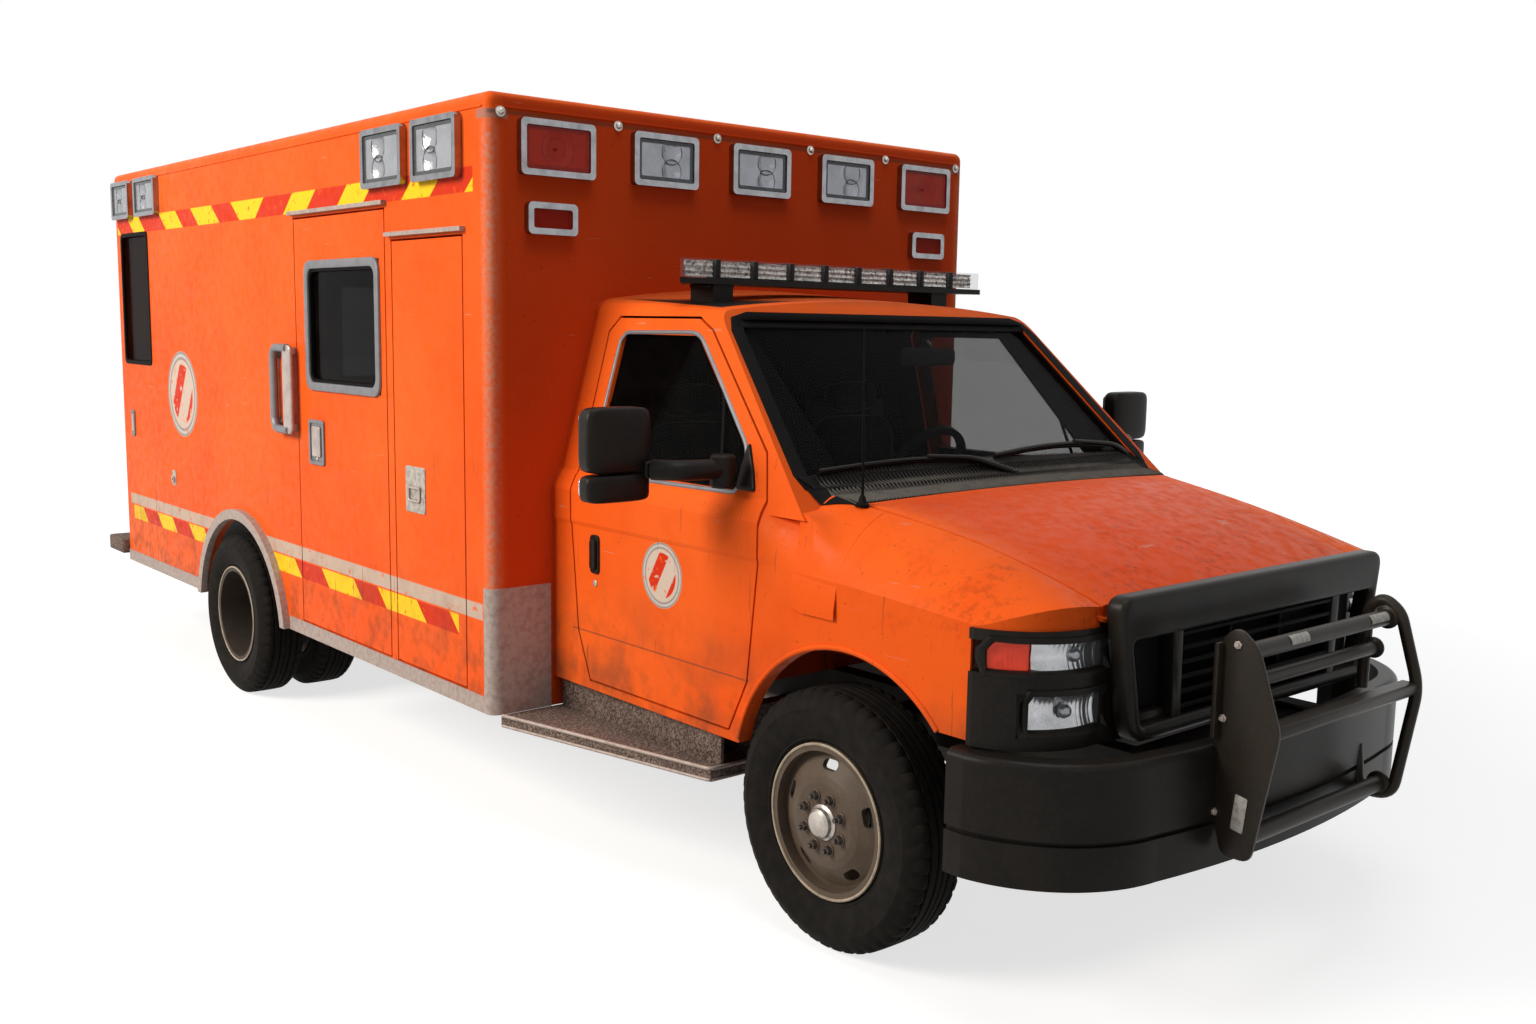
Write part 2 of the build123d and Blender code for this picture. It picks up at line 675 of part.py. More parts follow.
rail_front = from_axle(FRAME_FRONT)
rail_low = RAIL_TOP - RAIL_HEIGHT
with BuildPart() as bumper:
    add(bumper_slice(0.0, BUMPER_LOW, BUMPER_TOP))
    top_edges = bumper.edges().filter_by(lambda e: e.center().Z > BUMPER_TOP - 1
                                         and e.center().Y < from_axle(BUMPER_END_Y) - 1)
    fillet(top_edges, BUMPER_EDGE_R)
    add(bumper_slice(BUMPER_T, BUMPER_LOW, BUMPER_TOP), mode=Mode.SUBTRACT)
    add(groove_ring(), mode=Mode.SUBTRACT)
    # brackets back to the ends of the rails
    for _, hand in SIDES:
        low, high = handed(RAIL_X - RAIL_WIDTH / 2, RAIL_X + RAIL_WIDTH / 2, hand)
        add(block((low, rail_front - BRACKET_L, rail_low), (high, rail_front, RAIL_TOP)))
save(bumper.part, "bumper")

# ================================================================= ladder frame
FRAME_BACK = -40.0
CROSS_MEMBERS = (-700.0, 1180.0, 1650.0, 2800.0, 3500.0, 4700.0, 5400.0)
rail_back = MODULE_BACK + FRAME_BACK
cross_low = rail_low + CROSS_MEMBER_INSET
web_x = RAIL_X + RAIL_WIDTH / 2 - RAIL_WALL
TIE_DOWN_FRONT_Y = -800.0
TIE_DOWN_BACK_Y = -200.0
tie_down_places = (from_axle(TIE_DOWN_FRONT_Y), MODULE_BACK + TIE_DOWN_BACK_Y)

with BuildPart() as ladder_frame:
    for _, hand in SIDES:
        low, high = handed(RAIL_X - RAIL_WIDTH / 2, RAIL_X + RAIL_WIDTH / 2, hand)
        add(block((low, rail_front, rail_low), (high, rail_back, RAIL_TOP)))
        # the rails are channels, open towards the middle
        low, high = handed(RAIL_X - RAIL_WIDTH / 2, RAIL_X + RAIL_WIDTH / 2 - RAIL_WALL, hand)
        add(block((low, rail_front, rail_low + RAIL_WALL), (high, rail_back, RAIL_TOP - RAIL_WALL)),
            mode=Mode.SUBTRACT)
    for y in CROSS_MEMBERS:
        place = from_axle(y)
        add(block((-web_x, place - CROSS_MEMBER_WIDTH / 2, cross_low),
                  (web_x, place + CROSS_MEMBER_WIDTH / 2, RAIL_TOP - CROSS_MEMBER_INSET)))
    # tie-down holes through the lower flanges, open from below
    for _, hand in SIDES:
        for place in tie_down_places:
            with Locations((hand * RAIL_X, place, rail_low)):
                Cylinder(TIE_DOWN_R, RAIL_HEIGHT / 2, mode=Mode.SUBTRACT)
save(ladder_frame.part, "ladder_frame")

# ----------------------------------------------------------------- engine, drive line, tank, exhaust
ENGINE = ((-330.0, -560.0, 450.0), (330.0, 330.0, 1040.0))
ENGINE_EDGE_R = 40.0
ENGINE_MOUNT_Y = -300.0
GEARBOX_HALF_W = 170.0
GEARBOX_Z = (460.0, 690.0)
GEARBOX_BACK = 1100.0
SHAFT_R = 45.0
SHAFT_Z = 520.0
TANK = (2150.0, 2700.0)
EXHAUST_R = 38.0
EXHAUST_X = -300.0
MUFFLER_R = 90.0
PIPE_Y = (400.0, 2350.0)
MUFFLER_Y = (1640.0, 2250.0)
AXLE_Z = TYRE_R

with BuildPart() as engine_block:
    add(block((ENGINE[0][0], from_axle(ENGINE[0][1]), ENGINE[0][2]),
              (ENGINE[1][0], from_axle(ENGINE[1][1]), ENGINE[1][2])))
    fillet(engine_block.edges().filter_by(Axis.Z), ENGINE_EDGE_R)
    add(block((-GEARBOX_HALF_W, from_axle(ENGINE[1][1]), GEARBOX_Z[0]),
              (GEARBOX_HALF_W, from_axle(GEARBOX_BACK), GEARBOX_Z[1])))
    # mounting arms to the inner sides of the rails' webs
    add(block((-web_x, from_axle(ENGINE_MOUNT_Y), cross_low),
              (web_x, from_axle(ENGINE_MOUNT_Y + CROSS_MEMBER_WIDTH), RAIL_TOP - CROSS_MEMBER_INSET)))
save(engine_block.part, "engine_block")


def tube_x(radius, low_x, high_x, y, z):
    """Round bar across the vehicle."""
    with BuildPart() as volume:
        with BuildSketch(Plane.YZ.offset(low_x)):
            with Locations((y, z)):
                Circle(radius)
        extrude(amount=high_x - low_x)
    return volume.part


def tube_y(radius, x, low_y, high_y, z):
    """Round bar along the vehicle."""
    with BuildPart() as volume:
        with BuildSketch(Plane.XZ.offset(-low_y)):
            with Locations((x, z)):
                Circle(radius)
        extrude(amount=-(high_y - low_y))
    return volume.part


def tube_z(radius, x, y, low_z, high_z):
    """Upright round bar."""
    with BuildPart() as volume:
        with BuildSketch(Plane.XY.offset(low_z)):
            with Locations((x, y)):
                Circle(radius)
        extrude(amount=high_z - low_z)
    return volume.part


DIFF_R = 150.0
REAR_TUBE_R = 55.0

TANK_X = (90.0, 410.0)
TANK_LOW = 430.0
with BuildPart() as fuel_tank:
    add(block((TANK_X[0], from_axle(TANK[0]), TANK_LOW), (TANK_X[1], from_axle(TANK[1]), rail_low)))
save(fuel_tank.part, "fuel_tank")

with BuildPart() as exhaust:
    add(tube_y(EXHAUST_R, EXHAUST_X, from_axle(PIPE_Y[0]), from_axle(PIPE_Y[1]),
               cross_low - MUFFLER_R))
    add(tube_y(MUFFLER_R, EXHAUST_X, from_axle(MUFFLER_Y[0]), from_axle(MUFFLER_Y[1]),
               cross_low - MUFFLER_R))
save(exhaust.part, "exhaust")

# ----------------------------------------------------------------- axles with their springs
BEAM_HEIGHT = 80.0
BEAM_DEPTH = 70.0
COIL_R = 62.0
COIL_X = 540.0
EYE_HALF_H = 45.0
SPRING_WIDTH = 75.0
SPRING_HALF_L = 640.0
SPRING_CAMBER = 90.0
SPRING_T = 42.0
SPRING_TIP_T = 21.0
SPRING_X = 506.0
SPRING_SEAT = 60.0
HANGER_L = 50.0
HANGER_UNDER = 5.0
HUB_OVERLAP = 60.0
SHOCK_TOWER = 90.0
TOWER_Z = (640.0, 680.0)

with BuildPart() as front_axle:
    arm_end = KINGPIN_X - STEERING_EYE_R / 2
    add(block((-arm_end, FRONT_AXLE_Y - BEAM_DEPTH / 2, AXLE_Z - BEAM_HEIGHT / 2),
              (arm_end, FRONT_AXLE_Y + BEAM_DEPTH / 2, AXLE_Z + BEAM_HEIGHT / 2)))
    for _, hand in SIDES:
        add(tube_z(STEERING_EYE_R, hand * KINGPIN_X, FRONT_AXLE_Y, AXLE_Z - EYE_HALF_H,
                   AXLE_Z + EYE_HALF_H))
        add(tube_z(COIL_R, hand * COIL_X, FRONT_AXLE_Y, AXLE_Z, TOWER_Z[1]))
        # the coil's tower reaches in to the side of the rail
        low, high = handed(RAIL_X + RAIL_WIDTH / 2, COIL_X, hand)
        add(block((low, FRONT_AXLE_Y - SHOCK_TOWER, TOWER_Z[0]),
                  (high, FRONT_AXLE_Y + SHOCK_TOWER, TOWER_Z[1])))
    for _, hand in SIDES:
        add(tube_z(KINGPIN_R + RUNNING_GAP, hand * KINGPIN_X, FRONT_AXLE_Y, AXLE_Z - 2 * EYE_HALF_H,
                   AXLE_Z + 2 * EYE_HALF_H), mode=Mode.SUBTRACT)
save(front_axle.part, "front_axle")

inner_tyre_x = REAR_OUTER_TYRE_X - TWIN_SPACING
twin_centre_x = (REAR_OUTER_TYRE_X + inner_tyre_x) / 2
rim_inner_end = RIM_WIDTH / 2 + RIM_FLANGE

hub_face = twin_centre_x - HUB_OVERLAP - RUNNING_GAP
spring_low = AXLE_Z + REAR_TUBE_R
spring_end_z = spring_low + SPRING_CAMBER


def leaf_spring(low, high):
    """Bowed pack of leaves over the axle, between two distances from the centre line."""
    front_y = REAR_AXLE_Y - SPRING_HALF_L
    back_y = REAR_AXLE_Y + SPRING_HALF_L
    with BuildPart() as volume:
        with BuildSketch(Plane.YZ.offset(low)):
            with BuildLine():
                ThreePointArc((front_y, spring_end_z), (REAR_AXLE_Y, spring_low), (back_y, spring_end_z))
                Line((back_y, spring_end_z), (back_y, spring_end_z + SPRING_TIP_T))
                ThreePointArc((back_y, spring_end_z + SPRING_TIP_T), (REAR_AXLE_Y, spring_low + SPRING_T),
                              (front_y, spring_end_z + SPRING_TIP_T))
                Line((front_y, spring_end_z + SPRING_TIP_T), (front_y, spring_end_z))
            make_face()
        extrude(amount=high - low)
    return volume.part


def shaft_between(start, end, radius):
    """Round bar between two points."""
    with BuildPart() as volume:
        with BuildSketch(Plane(origin=start, z_dir=(end - start).normalized())):
            Circle(radius)
        extrude(amount=(end - start).length)
    return volume.part


with BuildPart() as rear_axle:
    add(tube_x(REAR_TUBE_R, -hub_face, hub_face, REAR_AXLE_Y, AXLE_Z))
    stub = hub_face + SPINDLE_DEPTH
    add(tube_x(SPINDLE_R, -stub, stub, REAR_AXLE_Y, AXLE_Z))
    with Locations((0, REAR_AXLE_Y, AXLE_Z)):
        Sphere(DIFF_R)
    # drive shaft from the gearbox, cut level with the gearbox's back
    add(shaft_between(Vector(0, from_axle(GEARBOX_BACK) - SHAFT_R, SHAFT_Z),
                      Vector(0, REAR_AXLE_Y, AXLE_Z), SHAFT_R))
    add(block((-DIFF_R, from_axle(ENGINE[1][1]), GEARBOX_Z[0]),
              (DIFF_R, from_axle(GEARBOX_BACK), GEARBOX_Z[1])), mode=Mode.SUBTRACT)
    for _, hand in SIDES:
        low, high = handed(SPRING_X - SPRING_WIDTH / 2, SPRING_X + SPRING_WIDTH / 2, hand)
        add(leaf_spring(low, high))
        # seat on the axle, and hangers at the spring's ends up to the side of the rail
        add(block((low, REAR_AXLE_Y - SPRING_SEAT, AXLE_Z),
                  (high, REAR_AXLE_Y + SPRING_SEAT, spring_low + SPRING_T / 2)))
        side = handed(RAIL_X + RAIL_WIDTH / 2, SPRING_X + SPRING_WIDTH / 2, hand)
        for end in (-1, 1):
            place = REAR_AXLE_Y + end * (SPRING_HALF_L - HANGER_L / 2)
            add(block((side[0], place - HANGER_L / 2, spring_end_z - HANGER_UNDER),
                      (side[1], place + HANGER_L / 2, RAIL_TOP - CROSS_MEMBER_INSET)))
save(rear_axle.part, "rear_axle")


# ================================================================= wheels
def tyre_profile():
    """Half section of a tyre: (distance from its middle, radius), one side."""
    half = TYRE_WIDTH / 2
    bead = RIM_WIDTH / 2 - 2
    return ((bead - 16, BEAD_R + RUNNING_GAP), (bead, BEAD_R + RUNNING_GAP), (bead, RIM_FLANGE_R),
            (half - 10, RIM_FLANGE_R + 26), (half, (RIM_FLANGE_R + TYRE_R) / 2 + 4),
            (half - 10, TYRE_R - 34), (half - 26, TYRE_R - 9), (half - 42, TYRE_R))


def revolved(x, y, hand, points):
    """Turn a closed section (distance outwards, radius) round an axle."""
    plane = Plane(origin=(hand * x, y, AXLE_Z), x_dir=(hand, 0, 0), z_dir=(0, -hand, 0))
    with BuildPart() as volume:
        with BuildSketch(plane):
            with BuildLine():
                Polyline(*points, close=True)
            make_face()
        revolve(axis=Axis((0, y, AXLE_Z), (1, 0, 0)))
    return volume.part


def tyre_section():
    """Closed section of a tyre about its middle."""
    side = tyre_profile()
    return list(side) + [(-u, r) for u, r in reversed(side)]


def hand_holes(low_x, high_x, y):
    """Oval plugs that cut the hand holes through a wheel's disc."""
    with BuildPart() as volume:
        with BuildSketch(Plane.YZ.offset(low_x)):
            with Locations((y, AXLE_Z)):
                with PolarLocations(HAND_HOLE_PLACE_R, HAND_HOLES, start_angle=HAND_HOLE_TURN):
                    SlotOverall(HAND_HOLE_LENGTH, HAND_HOLE_WIDTH, rotation=90)
        extrude(amount=high_x - low_x)
    return volume.part


HAND_HOLE_PLACE_R = 172.0
HAND_HOLE_TURN = 18.0
HAND_HOLE_LENGTH = 62.0
HAND_HOLE_WIDTH = 30.0
DISC_T = 12.0
HUB_FACE = 98.0
BORE_END = 50.0
HUB_BACK = -40.0
BARREL_R = BEAD_R - RIM_THICKNESS
RIM_HALF = RIM_WIDTH / 2
RIM_END = RIM_HALF + RIM_FLANGE
BORE_R = SPINDLE_R + RUNNING_GAP

FRONT_RIM_SECTION = (
    (RIM_END, RIM_FLANGE_R), (RIM_END, BARREL_R), (56, BARREL_R), (60, 198), (92, 140),
    (HUB_FACE, 118), (HUB_FACE, 0), (BORE_END, 0), (BORE_END, BORE_R), (HUB_BACK, BORE_R),
    (HUB_BACK, HUB_R), (78, HUB_R), (HUB_FACE - DISC_T, 114), (80, 134), (48, 192), (44, BARREL_R),
    (-RIM_END, BARREL_R), (-RIM_END, RIM_FLANGE_R), (-RIM_HALF, RIM_FLANGE_R), (-RIM_HALF, BEAD_R),
    (RIM_HALF, BEAD_R), (RIM_HALF, RIM_FLANGE_R))
TWIN_OUT = TWIN_SPACING / 2 + RIM_END
TWIN_IN = TWIN_SPACING / 2 - RIM_END
TWIN_SIDE = (
    (TWIN_IN, BARREL_R), (TWIN_IN, RIM_FLANGE_R), (TWIN_IN + RIM_FLANGE, RIM_FLANGE_R),
    (TWIN_IN + RIM_FLANGE, BEAD_R), (TWIN_OUT - RIM_FLANGE, BEAD_R),
    (TWIN_OUT - RIM_FLANGE, RIM_FLANGE_R), (TWIN_OUT, RIM_FLANGE_R), (TWIN_OUT, BARREL_R),
    (84, BARREL_R), (80, 204), (14, 138), (12, HUB_R), (60, HUB_R))
TWIN_SECTION = (((4, HUB_PLATE_R), (66, BARREL_R)) + TWIN_SIDE + ((60, 0), (BORE_END - 10, 0),
                (BORE_END - 10, BORE_R), (-60, BORE_R))
                + tuple((-u, r) for u, r in reversed(TWIN_SIDE))
                + ((-66, BARREL_R), (-4, HUB_PLATE_R)))

for name, hand in SIDES:
    with BuildPart() as front_rim:
        add(revolved(FRONT_TYRE_X, FRONT_AXLE_Y, hand, FRONT_RIM_SECTION))
        low, high = handed(FRONT_TYRE_X, FRONT_TYRE_X + RIM_END, hand)
        add(hand_holes(low, high, FRONT_AXLE_Y), mode=Mode.SUBTRACT)
    save(front_rim.part, f"front_rim_{name}")

    with BuildPart() as front_tyre:
        add(revolved(FRONT_TYRE_X, FRONT_AXLE_Y, hand, tyre_section()))
    save(front_tyre.part, f"front_tyre_{name}")

    with BuildPart() as rear_rims:
        add(revolved(twin_centre_x, REAR_AXLE_Y, hand, TWIN_SECTION))
        low, high = handed(twin_centre_x - RIM_END, twin_centre_x + RIM_END, hand)
        add(hand_holes(low, high, REAR_AXLE_Y), mode=Mode.SUBTRACT)
    save(rear_rims.part, f"rear_rims_{name}")

    with BuildPart() as rear_tyres:
        for x in (REAR_OUTER_TYRE_X, inner_tyre_x):
            add(revolved(x, REAR_AXLE_Y, hand, tyre_section()))
    save(rear_tyres.part, f"rear_tyres_{name}")

# ----------------------------------------------------------------- steering knuckles
EAR_T = 20.0
EAR_GAP = 1.0
EAR_HALF = 32.0
UPRIGHT_X = KINGPIN_X + 42.0
UPRIGHT_T = 18.0
UPRIGHT_HALF_W = 55.0

for name, hand in SIDES:
    ear_low = EYE_HALF_H + EAR_GAP
    ear_high = ear_low + EAR_T
    with BuildPart() as knuckle:
        add(tube_z(KINGPIN_R, hand * KINGPIN_X, FRONT_AXLE_Y, AXLE_Z - ear_high, AXLE_Z + ear_high))
        low, high = handed(KINGPIN_X - EAR_HALF, UPRIGHT_X + UPRIGHT_T, hand)
        for low_z in (ear_low, -ear_high):
            add(block((low, FRONT_AXLE_Y - EAR_HALF, AXLE_Z + low_z),
                      (high, FRONT_AXLE_Y + EAR_HALF, AXLE_Z + low_z + EAR_T)))
        low, high = handed(UPRIGHT_X, UPRIGHT_X + UPRIGHT_T, hand)
        add(block((low, FRONT_AXLE_Y - UPRIGHT_HALF_W, AXLE_Z - ear_high),
                  (high, FRONT_AXLE_Y + UPRIGHT_HALF_W, AXLE_Z + ear_high)))
        low, high = handed(UPRIGHT_X, FRONT_TYRE_X + BORE_END - RUNNING_GAP, hand)
        add(tube_x(SPINDLE_R, low, high, FRONT_AXLE_Y, AXLE_Z))
    save(knuckle.part, f"knuckle_{name}")

# ================================================================= patient module
def module_block(grow=0.0):
    """Rounded outer block of the module, grown outwards."""
    with BuildPart() as volume:
        add(block((-MODULE_HALF_W - grow, MODULE_FRONT - grow, MODULE_BOTTOM),
                  (MODULE_HALF_W + grow, MODULE_BACK + grow, MODULE_TOP + grow)))
        upright = volume.edges().filter_by(Axis.Z)
        roof = volume.faces().sort_by(Axis.Z)[-1].edges()
        fillet(upright + roof, MODULE_EDGE_R + grow)
    return volume.part


def side_space(hand, row, grow=0.0, depth=MODULE_WALL, out=0.0):
    """Box through a side wall: row is (front y, back y, low z, high z) from the module's front."""
    low, high = handed(MODULE_HALF_W - depth, MODULE_HALF_W + out, hand)
    return block((low, from_module(row[0] - grow), row[2] - grow),
                 (high, from_module(row[1] + grow), row[3] + grow))


def back_space(low_x, high_x, low_z, high_z, out=0.0):
    """Box through the back wall."""
    return block((low_x, MODULE_BACK - MODULE_WALL, low_z), (high_x, MODULE_BACK + out, high_z))


def window_pane(hand, row):
    """Pane in the middle of a side wall."""
    low, high = handed(MODULE_HALF_W - GLASS_INSET - GLASS_T, MODULE_HALF_W - GLASS_INSET, hand)
    return block((low, from_module(row[0]) + RUNNING_GAP, row[2] + RUNNING_GAP),
                 (high, from_module(row[1]) - RUNNING_GAP, row[3] - RUNNING_GAP))


CUT_OUT = 60.0
FRAME_GAP_X = 900.0
module_outer = module_block()
LINER_T = 12.0
LINER_GROW = 20.0
LINER_DEPTH = 480.0
floor_x = MODULE_HALF_W - MODULE_WALL
liner_row = (COMPARTMENT_DOOR[0] - LINER_GROW, COMPARTMENT_DOOR[1] + LINER_GROW,
             COMPARTMENT_DOOR[2] - LINER_GROW, COMPARTMENT_DOOR[3] + LINER_GROW)



def rear_door_stop():
    """Flange inside the rear wall, all round the opening of the rear doors."""
    stop_back = MODULE_BACK - MODULE_WALL - STOP_GAP
    reach_x = REAR_DOOR_HALF_W + SEAM + STOP_LAP
    with BuildPart() as volume:
        # a plate that reaches out to the wall, cut back to clear the doors
        add(block((-reach_x, stop_back - STOP_T, REAR_DOOR_BOTTOM - SEAM - STOP_LAP),
                  (reach_x, MODULE_BACK - MODULE_WALL, REAR_DOOR_TOP + SEAM + STOP_LAP)))
        add(block((-reach_x + STOP_LAP, stop_back, REAR_DOOR_BOTTOM - SEAM),
                  (reach_x - STOP_LAP, MODULE_BACK, REAR_DOOR_TOP + SEAM)), mode=Mode.SUBTRACT)
        add(block((-REAR_DOOR_HALF_W + STOP_LAP, stop_back - STOP_T, REAR_DOOR_BOTTOM + STOP_LAP),
                  (REAR_DOOR_HALF_W - STOP_LAP, MODULE_BACK, REAR_DOOR_TOP - STOP_LAP)),
            mode=Mode.SUBTRACT)
    return volume.part


with BuildPart() as module_body:
    add(module_outer)
    add(block((-floor_x, MODULE_FRONT + MODULE_WALL, MODULE_BOTTOM - 1),
              (floor_x, MODULE_BACK - MODULE_WALL, MODULE_TOP - MODULE_WALL)), mode=Mode.SUBTRACT)
    with BuildSketch(Plane.YZ.offset(-MODULE_HALF_W - 10)):
        with Locations((from_module(REAR_ARCH_Y), REAR_ARCH_Z)):
            Circle(REAR_ARCH_R)
    extrude(amount=2 * MODULE_HALF_W + 20, mode=Mode.SUBTRACT)
    add(side_space(-1, ENTRY_DOOR, SEAM, out=CUT_OUT), mode=Mode.SUBTRACT)
    for _, hand in SIDES:
        add(side_space(hand, COMPARTMENT_DOOR, SEAM, out=CUT_OUT), mode=Mode.SUBTRACT)
        add(side_space(hand, REAR_WINDOW, out=CUT_OUT), mode=Mode.SUBTRACT)
    add(back_space(-REAR_DOOR_HALF_W - SEAM, REAR_DOOR_HALF_W + SEAM, REAR_DOOR_BOTTOM - SEAM,
                   REAR_DOOR_TOP + SEAM, CUT_OUT), mode=Mode.SUBTRACT)
    # rebate that the rear doors close against
    add(rear_door_stop())
    # the end walls are open below the floor, for the frame
    add(block((-FRAME_GAP_X, MODULE_FRONT - 1, 0), (FRAME_GAP_X, MODULE_BACK + 1, RAIL_TOP)),
        mode=Mode.SUBTRACT)
save(module_body.part, "module_body")

WHEELHOUSE_X = 695.0
WHEELHOUSE_T = 12.0
wheelhouse_half = REAR_ARCH_R + WHEELHOUSE_T
with BuildPart() as module_floor:
    add(block((-floor_x, MODULE_FRONT + MODULE_WALL, RAIL_TOP),
              (floor_x, MODULE_BACK - MODULE_WALL, RAIL_TOP + FLOOR_T)))
    for _, hand in SIDES:
        low, high = handed(WHEELHOUSE_X, floor_x, hand)
        add(block((low, from_module(REAR_ARCH_Y - wheelhouse_half), RAIL_TOP),
                  (high, from_module(REAR_ARCH_Y + wheelhouse_half),
                   REAR_ARCH_Z + wheelhouse_half)))
        low, high = handed(WHEELHOUSE_X + WHEELHOUSE_T, floor_x, hand)
        with BuildSketch(Plane.YZ.offset(low)):
            with Locations((from_module(REAR_ARCH_Y), REAR_ARCH_Z)):
                Circle(REAR_ARCH_R)
        extrude(amount=high - low, mode=Mode.SUBTRACT)
        add(side_space(hand, liner_row, depth=MODULE_WALL + LINER_DEPTH), mode=Mode.SUBTRACT)
save(module_floor.part, "module_floor")

with BuildPart() as compartments:
    for _, hand in SIDES:
        low, high = handed(floor_x - LINER_DEPTH, floor_x, hand)
        inner = handed(floor_x - LINER_DEPTH + LINER_T, floor_x, hand)
        row = liner_row
        add(block((low, from_module(row[0]), row[2]), (high, from_module(row[1]), row[3])))
        add(block((inner[0], from_module(row[0]) + LINER_T, row[2] + LINER_T),
                  (inner[1], from_module(row[1]) - LINER_T, row[3] - LINER_T)), mode=Mode.SUBTRACT)
        for shelf_z in (1050.0, 1600.0):
            add(block((inner[0], from_module(row[0]) + LINER_T, shelf_z),
                      (inner[1], from_module(row[1]) - LINER_T, shelf_z + LINER_T)))

CABINET_DEPTH = 380.0
CABINET = (820.0, 3560.0, 960.0, 2320.0)
CABINET_BAYS = 4
CABINET_BORDER = 40.0
with BuildPart() as cabinets:
    add(compartments.part)
    row = CABINET
    add(block((floor_x - CABINET_DEPTH, from_module(row[0]), row[2]),
              (floor_x, from_module(row[1]), row[3])))
    bay = (row[1] - row[0] - CABINET_BORDER) / CABINET_BAYS
    for count in range(CABINET_BAYS):
        start = row[0] + CABINET_BORDER + count * bay
        for low_z, high_z in ((row[2] + CABINET_BORDER, 1600.0), (1640.0, row[3] - CABINET_BORDER)):
            add(block((floor_x - CABINET_DEPTH - 1, from_module(start), low_z),
                      (floor_x - CABINET_BORDER, from_module(start + bay - CABINET_BORDER), high_z)),
                mode=Mode.SUBTRACT)
save(cabinets.part, "cabinets")

# ----------------------------------------------------------------- module doors and glass
with BuildPart() as entry_door:
    add(side_space(-1, ENTRY_DOOR))
    add(side_space(-1, ENTRY_WINDOW), mode=Mode.SUBTRACT)
save(entry_door.part, "entry_door")

with BuildPart() as entry_door_glass:
    add(window_pane(-1, ENTRY_WINDOW))
save(entry_door_glass.part, "entry_door_glass")

for name, hand in SIDES:
    with BuildPart() as compartment_door:
        add(side_space(hand, COMPARTMENT_DOOR))
    save(compartment_door.part, f"compartment_door_{name}")

    low, high = handed(SEAM / 2, REAR_DOOR_HALF_W, hand)
    glass = handed(REAR_DOOR_WINDOW[0], REAR_DOOR_WINDOW[1], hand)
    with BuildPart() as rear_door:
        add(back_space(low, high, REAR_DOOR_BOTTOM, REAR_DOOR_TOP))
        add(back_space(glass[0], glass[1], REAR_DOOR_WINDOW[2], REAR_DOOR_WINDOW[3]),
            mode=Mode.SUBTRACT)
    save(rear_door.part, f"rear_door_{name}")

    with BuildPart() as rear_door_glass:
        add(block((glass[0] + RUNNING_GAP, MODULE_BACK - GLASS_INSET - GLASS_T,
                   REAR_DOOR_WINDOW[2] + RUNNING_GAP),
                  (glass[1] - RUNNING_GAP, MODULE_BACK - GLASS_INSET,
                   REAR_DOOR_WINDOW[3] - RUNNING_GAP)))
    save(rear_door_glass.part, f"rear_door_glass_{name}")

with BuildPart() as fixed_windows:
    add(windshield.part)
    for _, hand in SIDES:
        add(window_pane(hand, REAR_WINDOW))
save(fixed_windows.part, "fixed_windows")

# ----------------------------------------------------------------- lamps of the module
front_wall = Plane(origin=(0, MODULE_FRONT, 0), x_dir=(1, 0, 0), z_dir=(0, -1, 0))
back_wall = Plane(origin=(0, MODULE_BACK, 0), x_dir=(-1, 0, 0), z_dir=(0, 1, 0))
right_wall = Plane(origin=(-MODULE_HALF_W, MODULE_FRONT, 0), x_dir=(0, -1, 0), z_dir=(-1, 0, 0))
left_wall = Plane(origin=(MODULE_HALF_W, MODULE_FRONT, 0), x_dir=(0, 1, 0), z_dir=(1, 0, 0))

red_rows = [(front_wall, row) for row in FRONT_LAMPS["red"]]
red_rows += [(back_wall, row) for row in REAR_LAMPS["red"]]
clear_rows = [(front_wall, row) for row in FRONT_LAMPS["clear"]]
clear_rows += [(back_wall, row) for row in REAR_LAMPS["clear"]]
clear_rows += [(left_wall, row) for row in SIDE_LAMPS]
clear_rows += [(right_wall, (-row[0],) + row[1:]) for row in SIDE_LAMPS]

with BuildPart() as lamp_bezels:
    for wall, (across, up, width, tall) in red_rows + clear_rows:
        with BuildSketch(wall):
            with Locations((across, up)):
                RectangleRounded(width, tall, BEZEL_CORNER_R)
                RectangleRounded(width - 2 * BEZEL_BORDER, tall - 2 * BEZEL_BORDER,
                                 BEZEL_CORNER_R / 2, mode=Mode.SUBTRACT)
        extrude(amount=LAMP_DEPTH)
save(lamp_bezels.part, "lamp_bezels")

for name, rows in (("red_lamps", red_rows), ("clear_lamps", clear_rows)):
    with BuildPart() as lamps:
        for wall, (across, up, width, tall) in rows:
            border = 2 * (BEZEL_BORDER + RUNNING_GAP)
            with BuildSketch(wall):
                with Locations((across, up)):
                    RectangleRounded(width - border, tall - border, BEZEL_CORNER_R / 2)
            extrude(amount=LAMP_DEPTH - LAMP_RECESS)
    save(lamps.part, name)

# ----------------------------------------------------------------- aluminium trim
TRIM_T = 5.0
RAIL_BAND = 62.0
GUARD_TOP = 905.0
GUARD_ACROSS = 245.0
GUARD_WRAP = 50.0
DRIP_H = 16.0
DRIP_OUT = 22.0
DRIP_ABOVE = 18.0
RING_OUT = 32.0
RING_R = 578.0
RING_LIP_R = 530.0
trim_outer = module_block(TRIM_T)



